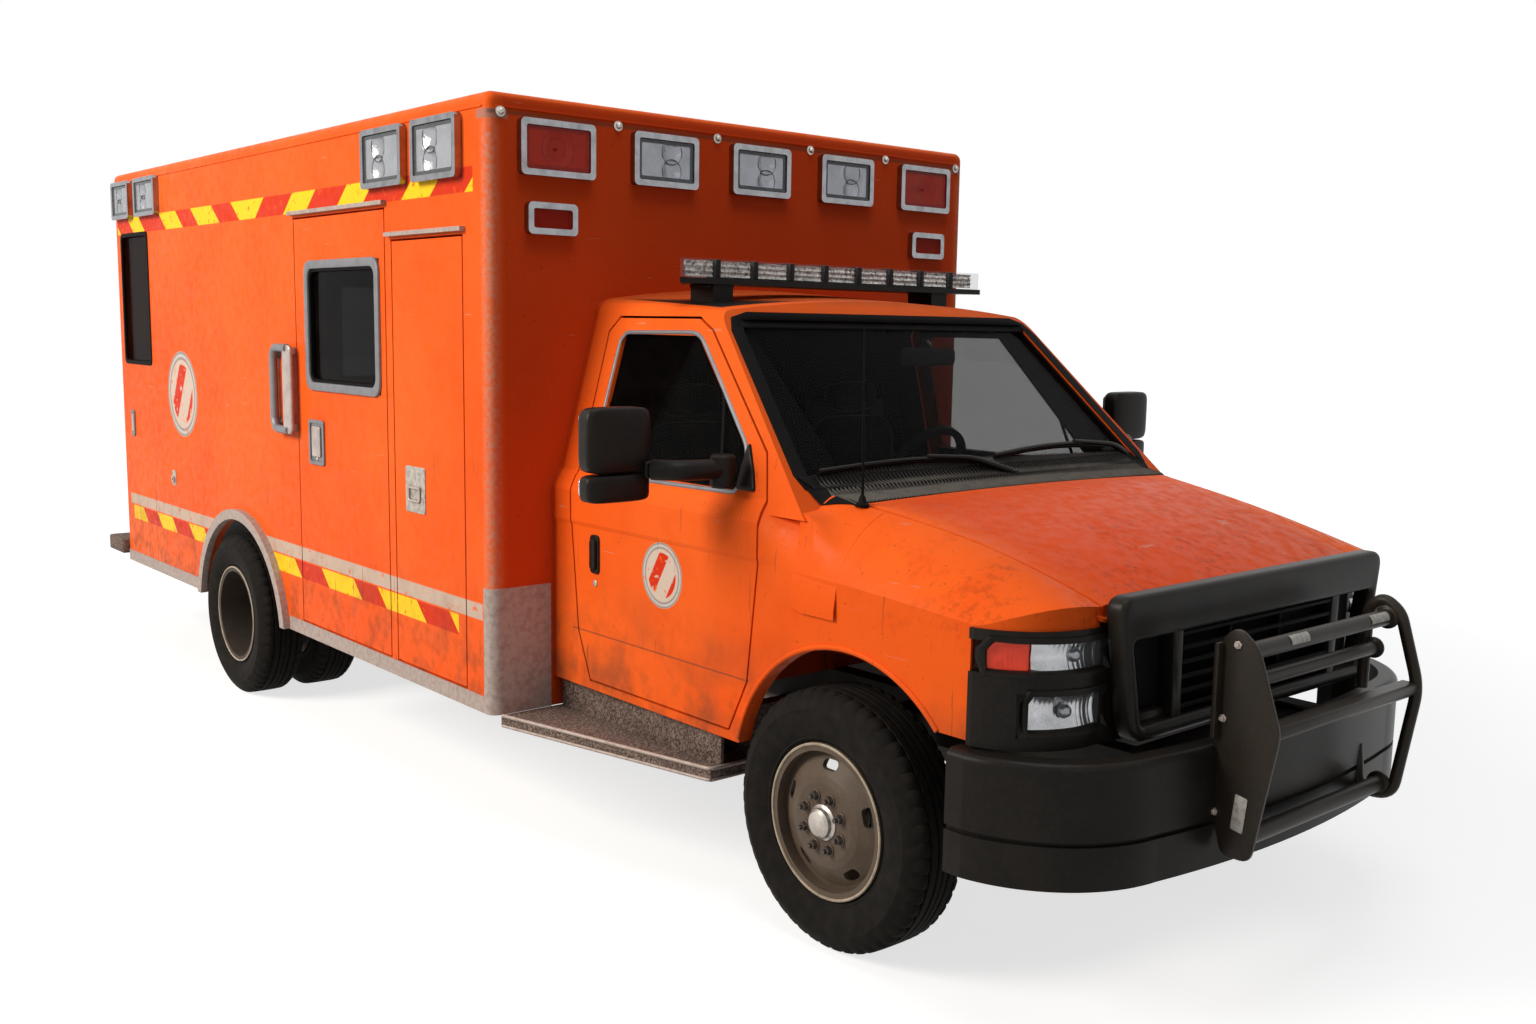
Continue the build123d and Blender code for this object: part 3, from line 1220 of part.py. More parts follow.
def stone_guard(hand):
    """Plate bent round a front corner of the module."""
    low, high = handed(MODULE_HALF_W - GUARD_ACROSS, MODULE_HALF_W + TRIM_T, hand)
    with BuildPart() as volume:
        add(trim_outer)
        add(module_outer, mode=Mode.SUBTRACT)
        add(block((low, MODULE_FRONT - TRIM_T, MODULE_BOTTOM),
                  (high, MODULE_FRONT + GUARD_WRAP, GUARD_TOP)), mode=Mode.INTERSECT)
    return volume.part


with BuildPart() as module_rails:
    for _, hand in SIDES:
        low, high = handed(MODULE_HALF_W, MODULE_HALF_W + TRIM_T, hand)
        ring = REAR_ARCH_Y - RING_R
        add(block((low, from_module(MODULE_EDGE_R), MODULE_BOTTOM),
                  (high, from_module(COMPARTMENT_DOOR[0] - 30), MODULE_BOTTOM + RAIL_BAND)))
        add(block((low, from_module(MODULE_EDGE_R), MODULE_BOTTOM),
                  (high, from_module(ring - 1), MODULE_BOTTOM + RAIL_BAND)))
        add(block((low, from_module(REAR_ARCH_Y + RING_R + 1), MODULE_BOTTOM),
                  (high, MODULE_BACK - MODULE_EDGE_R, MODULE_BOTTOM + RAIL_BAND)))
        # stone guard round the front corner
        add(stone_guard(hand))

with BuildPart() as drip_rails:
    rows = ((-1, ENTRY_DOOR), (-1, COMPARTMENT_DOOR), (1, COMPARTMENT_DOOR))
    for hand, row in rows:
        low, high = handed(MODULE_HALF_W, MODULE_HALF_W + DRIP_OUT, hand)
        add(block((low, from_module(row[0] - 25), row[3] + DRIP_ABOVE),
                  (high, from_module(row[1] + 25), row[3] + DRIP_ABOVE + DRIP_H)))

with BuildPart() as arch_rings:
    for _, hand in SIDES:
        low, high = handed(MODULE_HALF_W, MODULE_HALF_W + RING_OUT, hand)
        with BuildSketch(Plane.YZ.offset(low)):
            with Locations((from_module(REAR_ARCH_Y), REAR_ARCH_Z)):
                Circle(RING_R)
                Circle(RING_LIP_R, mode=Mode.SUBTRACT)
        extrude(amount=high - low)
    add(block((-MODULE_HALF_W - 50, MODULE_FRONT, -RING_R), (MODULE_HALF_W + 50, MODULE_BACK,
              MODULE_BOTTOM)), mode=Mode.SUBTRACT)

with BuildPart() as body_trim:
    add(module_rails.part)
    add(drip_rails.part)
    add(arch_rings.part)
save(body_trim.part, "body_trim")

STEP_HALF_W = 1130.0
STEP_REACH = 270.0
STEP_Z = (480.0, 550.0)
STEP_CORNER_R = 40.0
STEP_BRACKET = 80.0
with BuildPart() as rear_step:
    add(block((-STEP_HALF_W, MODULE_BACK, STEP_Z[0]), (STEP_HALF_W, MODULE_BACK + STEP_REACH,
              STEP_Z[1])))
    fillet(rear_step.edges().filter_by(Axis.Z).group_by(Axis.Y)[-1], STEP_CORNER_R)
    # brackets forward under the ends of the rails
    for _, hand in SIDES:
        low, high = handed(RAIL_X - RAIL_WIDTH / 2, RAIL_X + RAIL_WIDTH / 2, hand)
        add(block((low, rail_back - STEP_BRACKET, STEP_Z[0]), (high, MODULE_BACK, STEP_Z[1])))

# ================================================================= cab outside pieces
BOARD_TOP = 440.0
BOARD_T = 42.0
BOARD_FRONT = 500.0
BOARD_BACK = 1458.0
BOARD_INNER = 775.0
BOARD_OUTER = (975.0, 1188.0)
KICK_PLATE_T = 10.0
OUTRIGGERS = (690.0, 1250.0)
OUTRIGGER_W = 60.0
OUTRIGGER_END = 915.0
with BuildPart() as running_boards:
    for _, hand in SIDES:
        with BuildSketch(Plane.XY.offset(BOARD_TOP - BOARD_T)):
            with BuildLine():
                Polyline((hand * BOARD_INNER, from_axle(BOARD_FRONT)),
                         (hand * BOARD_OUTER[0], from_axle(BOARD_FRONT)),
                         (hand * BOARD_OUTER[1], from_axle(BOARD_BACK)),
                         (hand * BOARD_INNER, from_axle(BOARD_BACK)), close=True)
            make_face()
        extrude(amount=BOARD_T)
        low, high = handed(RAIL_X, OUTRIGGER_END, hand)
        for y in OUTRIGGERS:
            add(block((low, from_axle(y), BOARD_TOP), (high, from_axle(y) + OUTRIGGER_W, rail_low)))
        # upright plate that closes the space between the board and the cab floor
        low, high = handed(BOARD_INNER, BOARD_INNER + KICK_PLATE_T, hand)
        add(block((low, from_axle(BOARD_FRONT), BOARD_TOP - BOARD_T),
                  (high, from_axle(BOARD_BACK), RAIL_TOP)))

with BuildPart() as steps:
    add(running_boards.part)
    add(rear_step.part)
save(steps.part, "steps")

BAR_HALF_L = 774.0
BAR_BACK_HALF_L = 620.0
BAR_FRONT = 952.0
BAR_DEPTH = 190.0
BAR_BASE_Z = 2002.0
BAR_BASE_T = 20.0
BAR_LENS_T = 66.0
BAR_LENSES = 9
BAR_LENS_GAP = 8.0
BAR_LENS_INSET = 6.0
BAR_FOOT_X = 560.0
BAR_FOOT = 90.0
BAR_FOOT_INSET = 30.0
BAR_FOOT_LOW = 1880.0
bar_top = BAR_BASE_Z + BAR_BASE_T + BAR_LENS_T


def bar_slice(inset, low_z, high_z):
    """Slice of the light bar, wide at its front and drawn in towards its back."""
    with BuildPart() as volume:
        with BuildSketch(Plane.XY.offset(low_z)):
            with BuildLine():
                Polyline((-BAR_HALF_L + inset, from_axle(BAR_FRONT) + inset),
                         (BAR_HALF_L - inset, from_axle(BAR_FRONT) + inset),
                         (BAR_BACK_HALF_L - inset, from_axle(BAR_FRONT + BAR_DEPTH) - inset),
                         (-BAR_BACK_HALF_L + inset, from_axle(BAR_FRONT + BAR_DEPTH) - inset),
                         close=True)
            make_face()
        extrude(amount=high_z - low_z)
    return volume.part


with BuildPart() as light_bar:
    add(bar_slice(0.0, BAR_BASE_Z, BAR_BASE_Z + BAR_BASE_T))
    for _, hand in SIDES:
        low, high = handed(BAR_FOOT_X - BAR_FOOT / 2, BAR_FOOT_X + BAR_FOOT / 2, hand)
        add(block((low, from_axle(BAR_FRONT + BAR_FOOT_INSET), BAR_FOOT_LOW),
                  (high, from_axle(BAR_FRONT + BAR_DEPTH - BAR_FOOT_INSET), BAR_BASE_Z)))
    add(skin, mode=Mode.SUBTRACT)
save(light_bar.part, "light_bar")

lens_pitch = 2 * BAR_HALF_L / BAR_LENSES
with BuildPart() as light_bar_lenses:
    add(bar_slice(BAR_LENS_INSET, BAR_BASE_Z + BAR_BASE_T, bar_top))
    for count in range(1, BAR_LENSES):
        place = -BAR_HALF_L + count * lens_pitch
        add(block((place - BAR_LENS_GAP / 2, from_axle(BAR_FRONT) - 1, BAR_BASE_Z),
                  (place + BAR_LENS_GAP / 2, from_axle(BAR_FRONT + BAR_DEPTH) + 1, bar_top + 1)),
            mode=Mode.SUBTRACT)
save(light_bar_lenses.part, "light_bar_lenses")

# ----------------------------------------------------------------- mirrors
MIRROR_HEAD = (1180.0, 1412.0, 535.0, 625.0, 1322.0, 1612.0)
MIRROR_ARM = (400.0, 470.0, 1385.0, 1450.0)
SAIL = ((352.0, 1350.0), (436.0, 1350.0), (436.0, 1470.0), (360.0, 1400.0))
for name, hand in SIDES:
    x0, x1, y0, y1, z0, z1 = MIRROR_HEAD
    low, high = handed(x0, x1, hand)
    with BuildPart() as mirror:
        add(block((low, from_axle(y0), z0), (high, from_axle(y1), z1)))
        fillet(mirror.edges().filter_by(Axis.Y), 30)
        low, high = handed(870.0, x0 + 20, hand)
        add(block((low, from_axle(MIRROR_ARM[0]), MIRROR_ARM[2]),
                  (high, from_axle(MIRROR_ARM[1]), MIRROR_ARM[3])))
        low, high = handed(x0 - 30, x0 + 20, hand)
        add(block((low, from_axle(MIRROR_ARM[0]), MIRROR_ARM[2]),
                  (high, from_axle(y0 + 30), MIRROR_ARM[3])))
        low, high = handed(870.0, 960.0, hand)
        add(outline_prism(SAIL, from_axle, high, low))
        add(skin, mode=Mode.SUBTRACT)
    save(mirror.part, f"mirror_{name}")

# ----------------------------------------------------------------- push bar
PLATE_X = 400.0
PLATE_T = 12.0
PLATE_OUTLINE = ((-1000.0, 1098.0), (-948.0, 1050.0), (-948.0, 785.0), (-948.0, 470.0),
                 (-1075.0, 470.0), (-1135.0, 832.0), (-1062.0, 1045.0))
PLATE_BORDER = 26.0
# y from the axle, height, radius of each cross bar
CROSS_BARS = ((-1020.0, 1030.0, 24.0), (-985.0, 930.0, 20.0), (-1098.0, 820.0, 28.0),
              (-1030.0, 520.0, 24.0))
with BuildPart() as push_bar:
    add(outline_prism(PLATE_OUTLINE, from_axle, -PLATE_X + PLATE_T / 2, -PLATE_X - PLATE_T / 2))
    add(outline_prism(PLATE_OUTLINE, from_axle, PLATE_X + PLATE_T / 2, PLATE_X - PLATE_T / 2))
    add(outline_prism(PLATE_OUTLINE, from_axle, PLATE_X + PLATE_T, PLATE_X - PLATE_T, -PLATE_BORDER),
        mode=Mode.SUBTRACT)
    add(bumper_slice(0.0, BUMPER_LOW, BUMPER_TOP), mode=Mode.SUBTRACT)
    for y, z, radius in CROSS_BARS:
        add(tube_x(radius, -PLATE_X, PLATE_X, from_axle(y), z))
save(push_bar.part, "push_bar")

# ================================================================= cab inside pieces
DASH_FRONT = FIREWALL + PANEL_T
DASH = ((DASH_FRONT, 900.0), (DASH_FRONT, 1262.0), (590.0, 1330.0), (690.0, 1320.0), (790.0, 1230.0),
        (780.0, 1020.0), (700.0, 900.0))
DASH_HALF_W = CAB_HALF_W - CAB_WALL - 60.0
with BuildPart() as dashboard:
    add(outline_prism(DASH, from_axle, DASH_HALF_W, -DASH_HALF_W))
save(dashboard.part, "dashboard")

WHEEL_X = 430.0
WHEEL_Y = 900.0
WHEEL_Z = 1290.0
WHEEL_R = 190.0
WHEEL_RIM_R = 14.0
WHEEL_TILT = 28.0
wheel_dir = Vector(0, math.cos(math.radians(WHEEL_TILT)), math.sin(math.radians(WHEEL_TILT)))
wheel_plane = Plane(origin=(WHEEL_X, from_axle(WHEEL_Y), WHEEL_Z), x_dir=(1, 0, 0), z_dir=wheel_dir)
with BuildPart() as steering_wheel:
    with BuildSketch(wheel_plane):
        Circle(WHEEL_R + WHEEL_RIM_R)
        Circle(WHEEL_R - WHEEL_RIM_R, mode=Mode.SUBTRACT)
        Rectangle(2 * WHEEL_R, 40)
        Circle(60)
    extrude(amount=2 * WHEEL_RIM_R)
    with BuildSketch(wheel_plane):
        Circle(36)
    extrude(amount=-160)
    add(dashboard.part, mode=Mode.SUBTRACT)
save(steering_wheel.part, "steering_wheel")

SEAT_X = 425.0
SEAT_W = 480.0
SEAT_OUTLINE = ((950.0, 740.0), (930.0, 1040.0), (1270.0, 1015.0), (1330.0, 1640.0),
                (1390.0, 1640.0), (1400.0, 740.0))
with BuildPart() as seats:
    for _, hand in SIDES:
        low, high = handed(SEAT_X - SEAT_W / 2, SEAT_X + SEAT_W / 2, hand)
        add(outline_prism(SEAT_OUTLINE, from_axle, high, low))
save(seats.part, "seats")
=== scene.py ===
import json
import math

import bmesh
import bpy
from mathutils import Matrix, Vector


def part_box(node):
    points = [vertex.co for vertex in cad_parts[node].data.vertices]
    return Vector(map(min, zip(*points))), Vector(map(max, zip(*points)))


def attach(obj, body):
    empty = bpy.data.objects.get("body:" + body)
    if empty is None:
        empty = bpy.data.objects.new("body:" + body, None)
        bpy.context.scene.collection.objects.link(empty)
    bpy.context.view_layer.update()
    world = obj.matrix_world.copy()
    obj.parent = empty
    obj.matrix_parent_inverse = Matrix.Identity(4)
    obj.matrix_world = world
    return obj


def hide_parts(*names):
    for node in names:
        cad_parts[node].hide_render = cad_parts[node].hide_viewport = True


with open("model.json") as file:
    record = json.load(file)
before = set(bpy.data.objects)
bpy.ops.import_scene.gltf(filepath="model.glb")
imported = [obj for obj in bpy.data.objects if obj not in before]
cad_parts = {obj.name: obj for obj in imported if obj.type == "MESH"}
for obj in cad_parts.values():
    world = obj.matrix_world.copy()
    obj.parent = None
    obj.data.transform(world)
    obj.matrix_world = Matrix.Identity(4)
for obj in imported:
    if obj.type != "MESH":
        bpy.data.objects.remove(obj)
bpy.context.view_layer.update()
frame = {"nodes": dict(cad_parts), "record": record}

# %% [markdown]
# # A box-bodied ambulance
# The packed model gives the solid pieces at their real size. This lesson dresses them: paint, rubber,
# glass and lamps get their finish here, and the small things that a real ambulance carries, such as
# handles, wipers and tyre treads, are modelled on top. Everything is in metres. The vehicle faces -Y,
# +X is its left side and the tyres stand on z = 0.

nodes = frame["nodes"]

# %% [markdown]
# The camera stands a little above shoulder height in front of the right front corner, about six metres
# away, with a slightly wide lens. Its direction is given by three angles, turned into the three axes
# of the camera's own frame.

# %% Camera
camera_place = Vector((-3.7067, -5.3634, 1.8592))
camera_yaw = math.radians(40.74)
camera_pitch = math.radians(7.53)
camera_roll = math.radians(0.95)
look = Vector((math.sin(camera_yaw) * math.cos(camera_pitch),
               math.cos(camera_yaw) * math.cos(camera_pitch), -math.sin(camera_pitch)))
level_right = Vector((math.cos(camera_yaw), -math.sin(camera_yaw), 0.0))
level_up = level_right.cross(look)
camera_right = math.cos(camera_roll) * level_right + math.sin(camera_roll) * level_up
camera_up = -math.sin(camera_roll) * level_right + math.cos(camera_roll) * level_up

camera_data = bpy.data.cameras.new("camera")
camera_data.lens = 32.94
camera_data.sensor_width = 36.0
camera = bpy.data.objects.new("camera", camera_data)
camera.matrix_world = (Matrix.Translation(camera_place)
                       @ Matrix((camera_right, camera_up, -look)).transposed().to_4x4())
bpy.context.collection.objects.link(camera)
bpy.context.scene.camera = camera
print("camera stands", round(camera_place.length, 2), "m from the middle of the vehicle")

# %% [markdown]
# Every finish of the vehicle is built from noise and from simple tests on the place of a point, so it
# needs no picture and follows the real surface on all sides. The helper below keeps that readable: a
# finish is one material, and each call adds one node and hands back its output. The coordinates are
# the piece's own, which are the same metres as the whole vehicle, so a door keeps its paint when it
# opens.


# %% A small builder for finishes
class Finish:
    """One procedural material, with a short call for each kind of node."""

    def __init__(self, name, **sockets):
        self.name = name
        self.material = bpy.data.materials.new(name)
        self.material.use_nodes = True
        self.tree = self.material.node_tree
        self.shader = self.tree.nodes["Principled BSDF"]
        for socket, value in sockets.items():
            self.shader.inputs[socket.replace("_", " ")].default_value = value
        self.place = self.node("ShaderNodeTexCoord").outputs["Object"]
        self.x, self.y, self.z = self.node("ShaderNodeSeparateXYZ", Vector=self.place).outputs

    def node(self, kind, **inputs):
        """A new node with its inputs set to values or linked to outputs."""
        made = self.tree.nodes.new(kind)
        for socket, value in inputs.items():
            self.feed(made.inputs[socket.replace("_", " ")], value)
        return made

    def feed(self, socket, value):
        """Link an output to a socket, or set the socket's value."""
        if isinstance(value, bpy.types.NodeSocket):
            self.tree.links.new(value, socket)
        else:
            socket.default_value = value

    def sum(self, operation, *terms):
        """One arithmetic step."""
        made = self.node("ShaderNodeMath")
        made.operation = operation
        for socket, term in zip(made.inputs, terms):
            self.feed(socket, term)
        return made.outputs[0]

    def times(self, first, second):
        return self.sum("MULTIPLY", first, second)

    def split(self, first, second):
        return self.sum("DIVIDE", first, second)

    def plus(self, first, second):
        return self.sum("ADD", first, second)

    def less(self, first, second):
        return self.sum("SUBTRACT", first, second)

    def larger(self, first, second):
        return self.sum("MAXIMUM", first, second)

    def rise(self, source, low, high):
        """0 below low, 1 above high, even between; falls instead when high is below low."""
        made = self.node("ShaderNodeMapRange", Value=source, From_Min=low, From_Max=high)
        made.clamp = True
        return made.outputs[0]

    def band(self, source, low, high, edge=0.002):
        """1 between low and high, else 0."""
        return self.times(self.rise(source, low - edge, low + edge),
                        self.rise(source, high + edge, high - edge))

    def both(self, *masks):
        """1 where every mask is 1."""
        result = masks[0]
        for mask in masks[1:]:
            result = self.times(result, mask)
        return result

    def noise(self, scale, detail=3.0, stretch=(1.0, 1.0, 1.0), roughness=0.55):
        """Cloudy noise, about 0.5 on average."""
        place = self.node("ShaderNodeVectorMath", Vector=self.place)
        place.operation = "MULTIPLY"
        place.inputs[1].default_value = stretch
        made = self.node("ShaderNodeTexNoise", Vector=place.outputs[0], Scale=scale, Detail=detail,
                         Roughness=roughness)
        return made.outputs["Fac"]

    def mix(self, mask, under, over):
        """Colour over another one, by a mask."""
        made = self.node("ShaderNodeMix")
        made.data_type = "RGBA"
        self.feed(made.inputs["Factor"], mask)
        self.feed(made.inputs[6], under)
        self.feed(made.inputs[7], over)
        return made.outputs[2]

    def steps(self, source, stops):
        """Colours along a value, with hard steps."""
        made = self.node("ShaderNodeValToRGB", Fac=source)
        ramp = made.color_ramp
        ramp.interpolation = "CONSTANT"
        while len(ramp.elements) < len(stops):
            ramp.elements.new(0.5)
        for element, (place, colour) in zip(ramp.elements, stops):
            element.position = place
        for element, (place, colour) in zip(ramp.elements, stops):
            element.color = colour
        return made.outputs["Color"]

    def colour(self, source):
        self.feed(self.shader.inputs["Base Color"], source)

    def rough(self, source):
        self.feed(self.shader.inputs["Roughness"], source)

    def relief(self, height, depth, strength=1.0):
        """Fine grain on the surface."""
        made = self.node("ShaderNodeBump", Height=height, Distance=depth, Strength=strength)
        self.feed(self.shader.inputs["Normal"], made.outputs[0])


print("calls of a finish:", [call for call in vars(Finish) if not call.startswith("_")])

# %% [markdown]
# Most finishes are one colour with a cloudy second one over it, dust or wear. One function makes all of
# these, so that each takes a line or two below.


# %% Tones and worn finishes
def tone(red, green, blue):
    """An opaque colour."""
    return (red, green, blue, 1.0)


def worn(name, base, dust, scale, amount, roughness, **sockets):
    """A finish with cloudy dust or wear of a second colour, both given as red, green and blue."""
    base, dust = tone(*base), tone(*dust)
    made = Finish(name, Roughness=roughness, **sockets)
    cloud = made.times(made.rise(made.noise(scale, 5.0), 0.42, 0.72), amount)
    speck = made.times(made.rise(made.noise(scale * 14, 3.0), 0.5, 0.8), amount)
    made.colour(made.mix(speck, made.mix(cloud, base, dust), dust))
    return made


# %% [markdown]
# The body colour is a sun-bleached safety orange. On a real vehicle it is sprayed in gloss, then stripes
# are laid on as coloured film. Here one material holds the paint, the film stripes, the wear and some painted
# shade. The stripes are tests on height and length; each row of slanted blocks is one colour ramp with hard
# steps, read along a length that is sheared by the height.

# %% Orange paint: base, fading, painted shade on the front wall, and grime
orange = Finish("orange_paint", IOR=1.13)
rise, band, both, noise = orange.rise, orange.band, orange.both, orange.noise
times, plus, less, larger, mix = orange.times, orange.plus, orange.less, orange.larger, orange.mix
paint_y, paint_z = orange.y, orange.z
fresh_orange = tone(0.82, 0.098, 0.009)
faded_orange = tone(0.86, 0.130, 0.017)
deep_orange = tone(0.66, 0.062, 0.007)
paint = mix(rise(noise(0.9, 3.0), 0.35, 0.65), fresh_orange, faded_orange)
paint = mix(times(rise(noise(5.0, 4.0), 0.5, 0.78), 0.35), paint, deep_orange)

WALL_X = 1.219
FRONT_WALL_Y = -0.965
BACK_WALL_Y = 3.295
across = orange.sum("ABSOLUTE", orange.x)
on_side = rise(across, WALL_X - 0.012, WALL_X - 0.002)
# painted shade: the front wall of the box body is pulled towards a darker, deeper red
front_wall_painted_shade = both(rise(paint_y, FRONT_WALL_Y + 0.008, FRONT_WALL_Y + 0.003),
                 rise(paint_y, FRONT_WALL_Y - 0.03, FRONT_WALL_Y - 0.02), rise(across, 1.21, 1.15))
paint = mix(times(front_wall_painted_shade, 0.85), paint, tone(0.56, 0.048, 0.008))
rust_red = tone(0.17, 0.028, 0.008)
# brown for real dirt and seams, also used for the painted shade on the cab roof and in the belt crease
dirt_and_shade_brown = tone(0.10, 0.052, 0.030)
bare_pink = tone(0.52, 0.28, 0.20)
print("base coat has", len(orange.tree.nodes), "nodes")

# %% [markdown]
# Both rows of film are cut on a slant. A row is a list of break points, and red and yellow take turns
# along it. In the upper row the slant turns round near the middle. Fine noise chips the old film.

# %% Slanted film blocks and pale bands along the box body
film_yellow = tone(0.92, 0.58, 0.018)
film_red = tone(0.62, 0.035, 0.008)
film_pale = tone(0.55, 0.42, 0.34)
ROW_FRONT = -0.90
ROW_LENGTH = 4.20
UPPER_BREAKS = (-0.86, -0.60, -0.363, -0.028, 0.221, 0.536, 0.789, 1.11, 1.41, 1.66, 1.962,
                2.193, 2.46, 2.80, 2.99, 3.22)
LOWER_BREAKS = (-0.70, -0.433, -0.089, 0.15, 0.47, 0.76, 1.20, 1.945, 2.17, 2.44, 2.685, 2.935, 3.22)


def film_row(breaks, first, slant, middle):
    """Colours of a row of slanted blocks."""
    sheared = plus(paint_y, times(slant, less(paint_z, middle)))
    along = orange.split(less(sheared, ROW_FRONT), ROW_LENGTH)
    stops = [(0.0, first)]
    for place in breaks:
        following = film_yellow if stops[-1][1] == film_red else film_red
        stops.append(((place - ROW_FRONT) / ROW_LENGTH, following))
    return orange.steps(along, stops)


turn = less(1.0, times(2.0, rise(paint_y, 1.27, 1.275)))
upper_row = film_row(UPPER_BREAKS, film_yellow, times(turn, 1.25), 2.353)
lower_row = film_row(LOWER_BREAKS, film_yellow, -1.05, 0.735)
upper_mask = both(on_side, band(paint_z, 2.312, 2.40), band(paint_y, -0.86, 3.24))
lower_mask = both(on_side, band(paint_z, 0.698, 0.775), band(paint_y, -0.72, 3.15))
pale_mask = both(on_side, band(paint_z, 0.782, 0.842), band(paint_y, -0.90, 3.20))
chips = rise(noise(34.0, 5.0), 0.62, 0.66)
kept = less(1.0, times(chips, 0.8))
livery = mix(both(upper_mask, kept), paint, upper_row)
livery = mix(both(lower_mask, kept), livery, lower_row)
livery = mix(both(pale_mask, kept), livery, film_pale)
print(len(UPPER_BREAKS) + 1, "upper and", len(LOWER_BREAKS) + 1, "lower blocks of film")

# %% [markdown]
# The round badges are stickers too. The disc and its ring are tests on the distance from the middle, and
# the bars come from a sine wave across the disc.


# %% Plain roundels on the doors and the box body
def roundel(under, y, z, radius, side_low):
    """A pale disc in a grey ring, with plain red bars, worn through in places."""
    aside = less(paint_y, y)
    above = less(paint_z, z)
    square = plus(times(aside, aside), times(above, above))
    away = orange.split(orange.sum("SQRT", square), radius)
    here = rise(across, side_low, side_low + 0.004)
    disc = both(here, rise(away, 1.0, 0.985))
    wave = orange.sum("SINE", times(plus(aside, times(above, 0.6)), 5.6 / radius))
    bars = both(rise(away, 0.70, 0.67), rise(wave, 0.1, 0.2),
                less(1.0, rise(noise(26.0, 4.0), 0.60, 0.64)))
    ring = band(away, 0.80, 0.985, 0.01)
    face = mix(bars, tone(0.62, 0.50, 0.42), film_red)
    face = mix(ring, face, tone(0.30, 0.28, 0.27))
    face = mix(band(away, 0.86, 0.93, 0.01), face, tone(0.55, 0.52, 0.48))
    worn_off = less(1.0, times(chips, 0.7))
    return mix(both(disc, worn_off), under, face)


livery = roundel(livery, 2.25, 1.455, 0.225, WALL_X - 0.012)
livery = roundel(livery, -1.64, 1.03, 0.112, 0.93)
print("paint, film and roundels have", len(orange.tree.nodes), "nodes")

# %% [markdown]
# Wear comes last, because dirt lies over paint and film alike. Each kind is a mask and a strength: grime
# low on the sides, rust on the nose, streaks that run down and scratches that run along. Painted shade is
# laid on here too: on the cab roof, on the bonnet top and along the belt crease.


# %% Wear and painted shade over paint and film
def stain(under, mask, strength, over):
    """A colour laid over the livery, with a strength where the mask is 1."""
    return mix(times(mask, strength), under, over)


height_grime = both(rise(paint_z, 0.95, 0.50), rise(noise(11.0, 7.0), 0.46, 0.70))
livery = stain(livery, height_grime, 0.60, dirt_and_shade_brown)
cab_grime = both(rise(paint_y, -0.97, -1.00), rise(paint_z, 1.00, 0.60),
                 rise(noise(4.5, 6.0), 0.44, 0.68))
livery = stain(livery, cab_grime, 0.55, dirt_and_shade_brown)
# painted shade: the cab roof is darkened towards brown
cab_roof_painted_shade = both(rise(paint_z, 1.93, 1.96), rise(paint_y, -0.975, -1.02), rise(paint_y, -1.78, -1.66))
livery = stain(livery, cab_roof_painted_shade, 0.42, dirt_and_shade_brown)
# painted shade: the top of the bonnet is pulled towards a darker, deeper orange
hood_top_painted_shade = both(rise(across, 0.74, 0.60), rise(paint_y, -2.30, -2.45), rise(paint_z, 1.08, 1.12))
livery = stain(livery, hood_top_painted_shade, 0.55, tone(0.62, 0.046, 0.005))
nose = both(rise(paint_y, -2.30, -3.15), rise(paint_z, 0.95, 1.1))
nose_rust = both(nose, rise(noise(5.0, 4.0), 0.46, 0.62), rise(noise(38.0, 7.0), 0.50, 0.62))
livery = stain(livery, nose_rust, 0.34, rust_red)
specks = rise(noise(95.0, 2.0), 0.70, 0.76)
livery = stain(livery, specks, 0.7, rust_red)
streaks = both(rise(noise(6.0, 4.0, (9.0, 9.0, 0.55)), 0.66, 0.71), rise(paint_z, 2.1, 0.9))
livery = stain(livery, streaks, 0.5, dirt_and_shade_brown)
scratches = rise(noise(4.2, 6.0, (1.0, 1.0, 14.0)), 0.695, 0.72)
livery = stain(livery, scratches, 0.5, bare_pink)
corner = both(rise(across, 1.165, 1.215), rise(paint_y, -0.905, -0.955), rise(paint_z, 2.60, 2.50))
grainy = rise(noise(70.0, 4.0), 0.40, 0.62)
livery = mix(both(corner, plus(0.25, times(grainy, 0.6))), livery, bare_pink)
# painted shade: a dark line along the belt crease of the cab door and wing; the box's panel seam added to it
# is a real dark joint
crease_painted_shade = both(band(paint_z, 0.760, 0.765, 0.002), rise(across, 0.93, 0.94), band(paint_y, -2.10, -1.10),
              rise(across, 1.0, 0.99))
panel_seam = both(on_side, band(paint_y, 2.748, 2.753, 0.001), band(paint_z, 0.50, 2.31))
livery = stain(livery, plus(crease_painted_shade, panel_seam), 0.7, dirt_and_shade_brown)
cap_near = both(band(paint_z, 2.556, 2.588, 0.002), rise(across, 1.135, 1.145),
                rise(paint_y, -0.885, -0.895), rise(paint_y, -1.0, -0.99))
livery = stain(livery, cap_near, 0.75, tone(0.30, 0.20, 0.16))
roof_seam = both(rise(paint_y, FRONT_WALL_Y + 0.02, FRONT_WALL_Y + 0.01),
                 band(paint_z, 2.572, 2.586, 0.003), rise(paint_y, -1.1, -1.0))
livery = stain(livery, roof_seam, 0.6, dirt_and_shade_brown)

# the support behind the grille is flat black
flat_black = tone(0.012, 0.011, 0.010)
behind_grille = both(rise(across, 0.64, 0.63), rise(paint_y, -2.60, -2.62), rise(paint_z, 1.105, 1.095))
livery = mix(behind_grille, livery, flat_black)
print("worn paint has", len(orange.tree.nodes), "nodes")

# %% [markdown]
# The cab is lined in dark cloth and plastic. Two sloping planes tell inside from outside: the windshield,
# which leans back as it rises, and the cab's side, which leans in above the belt line.

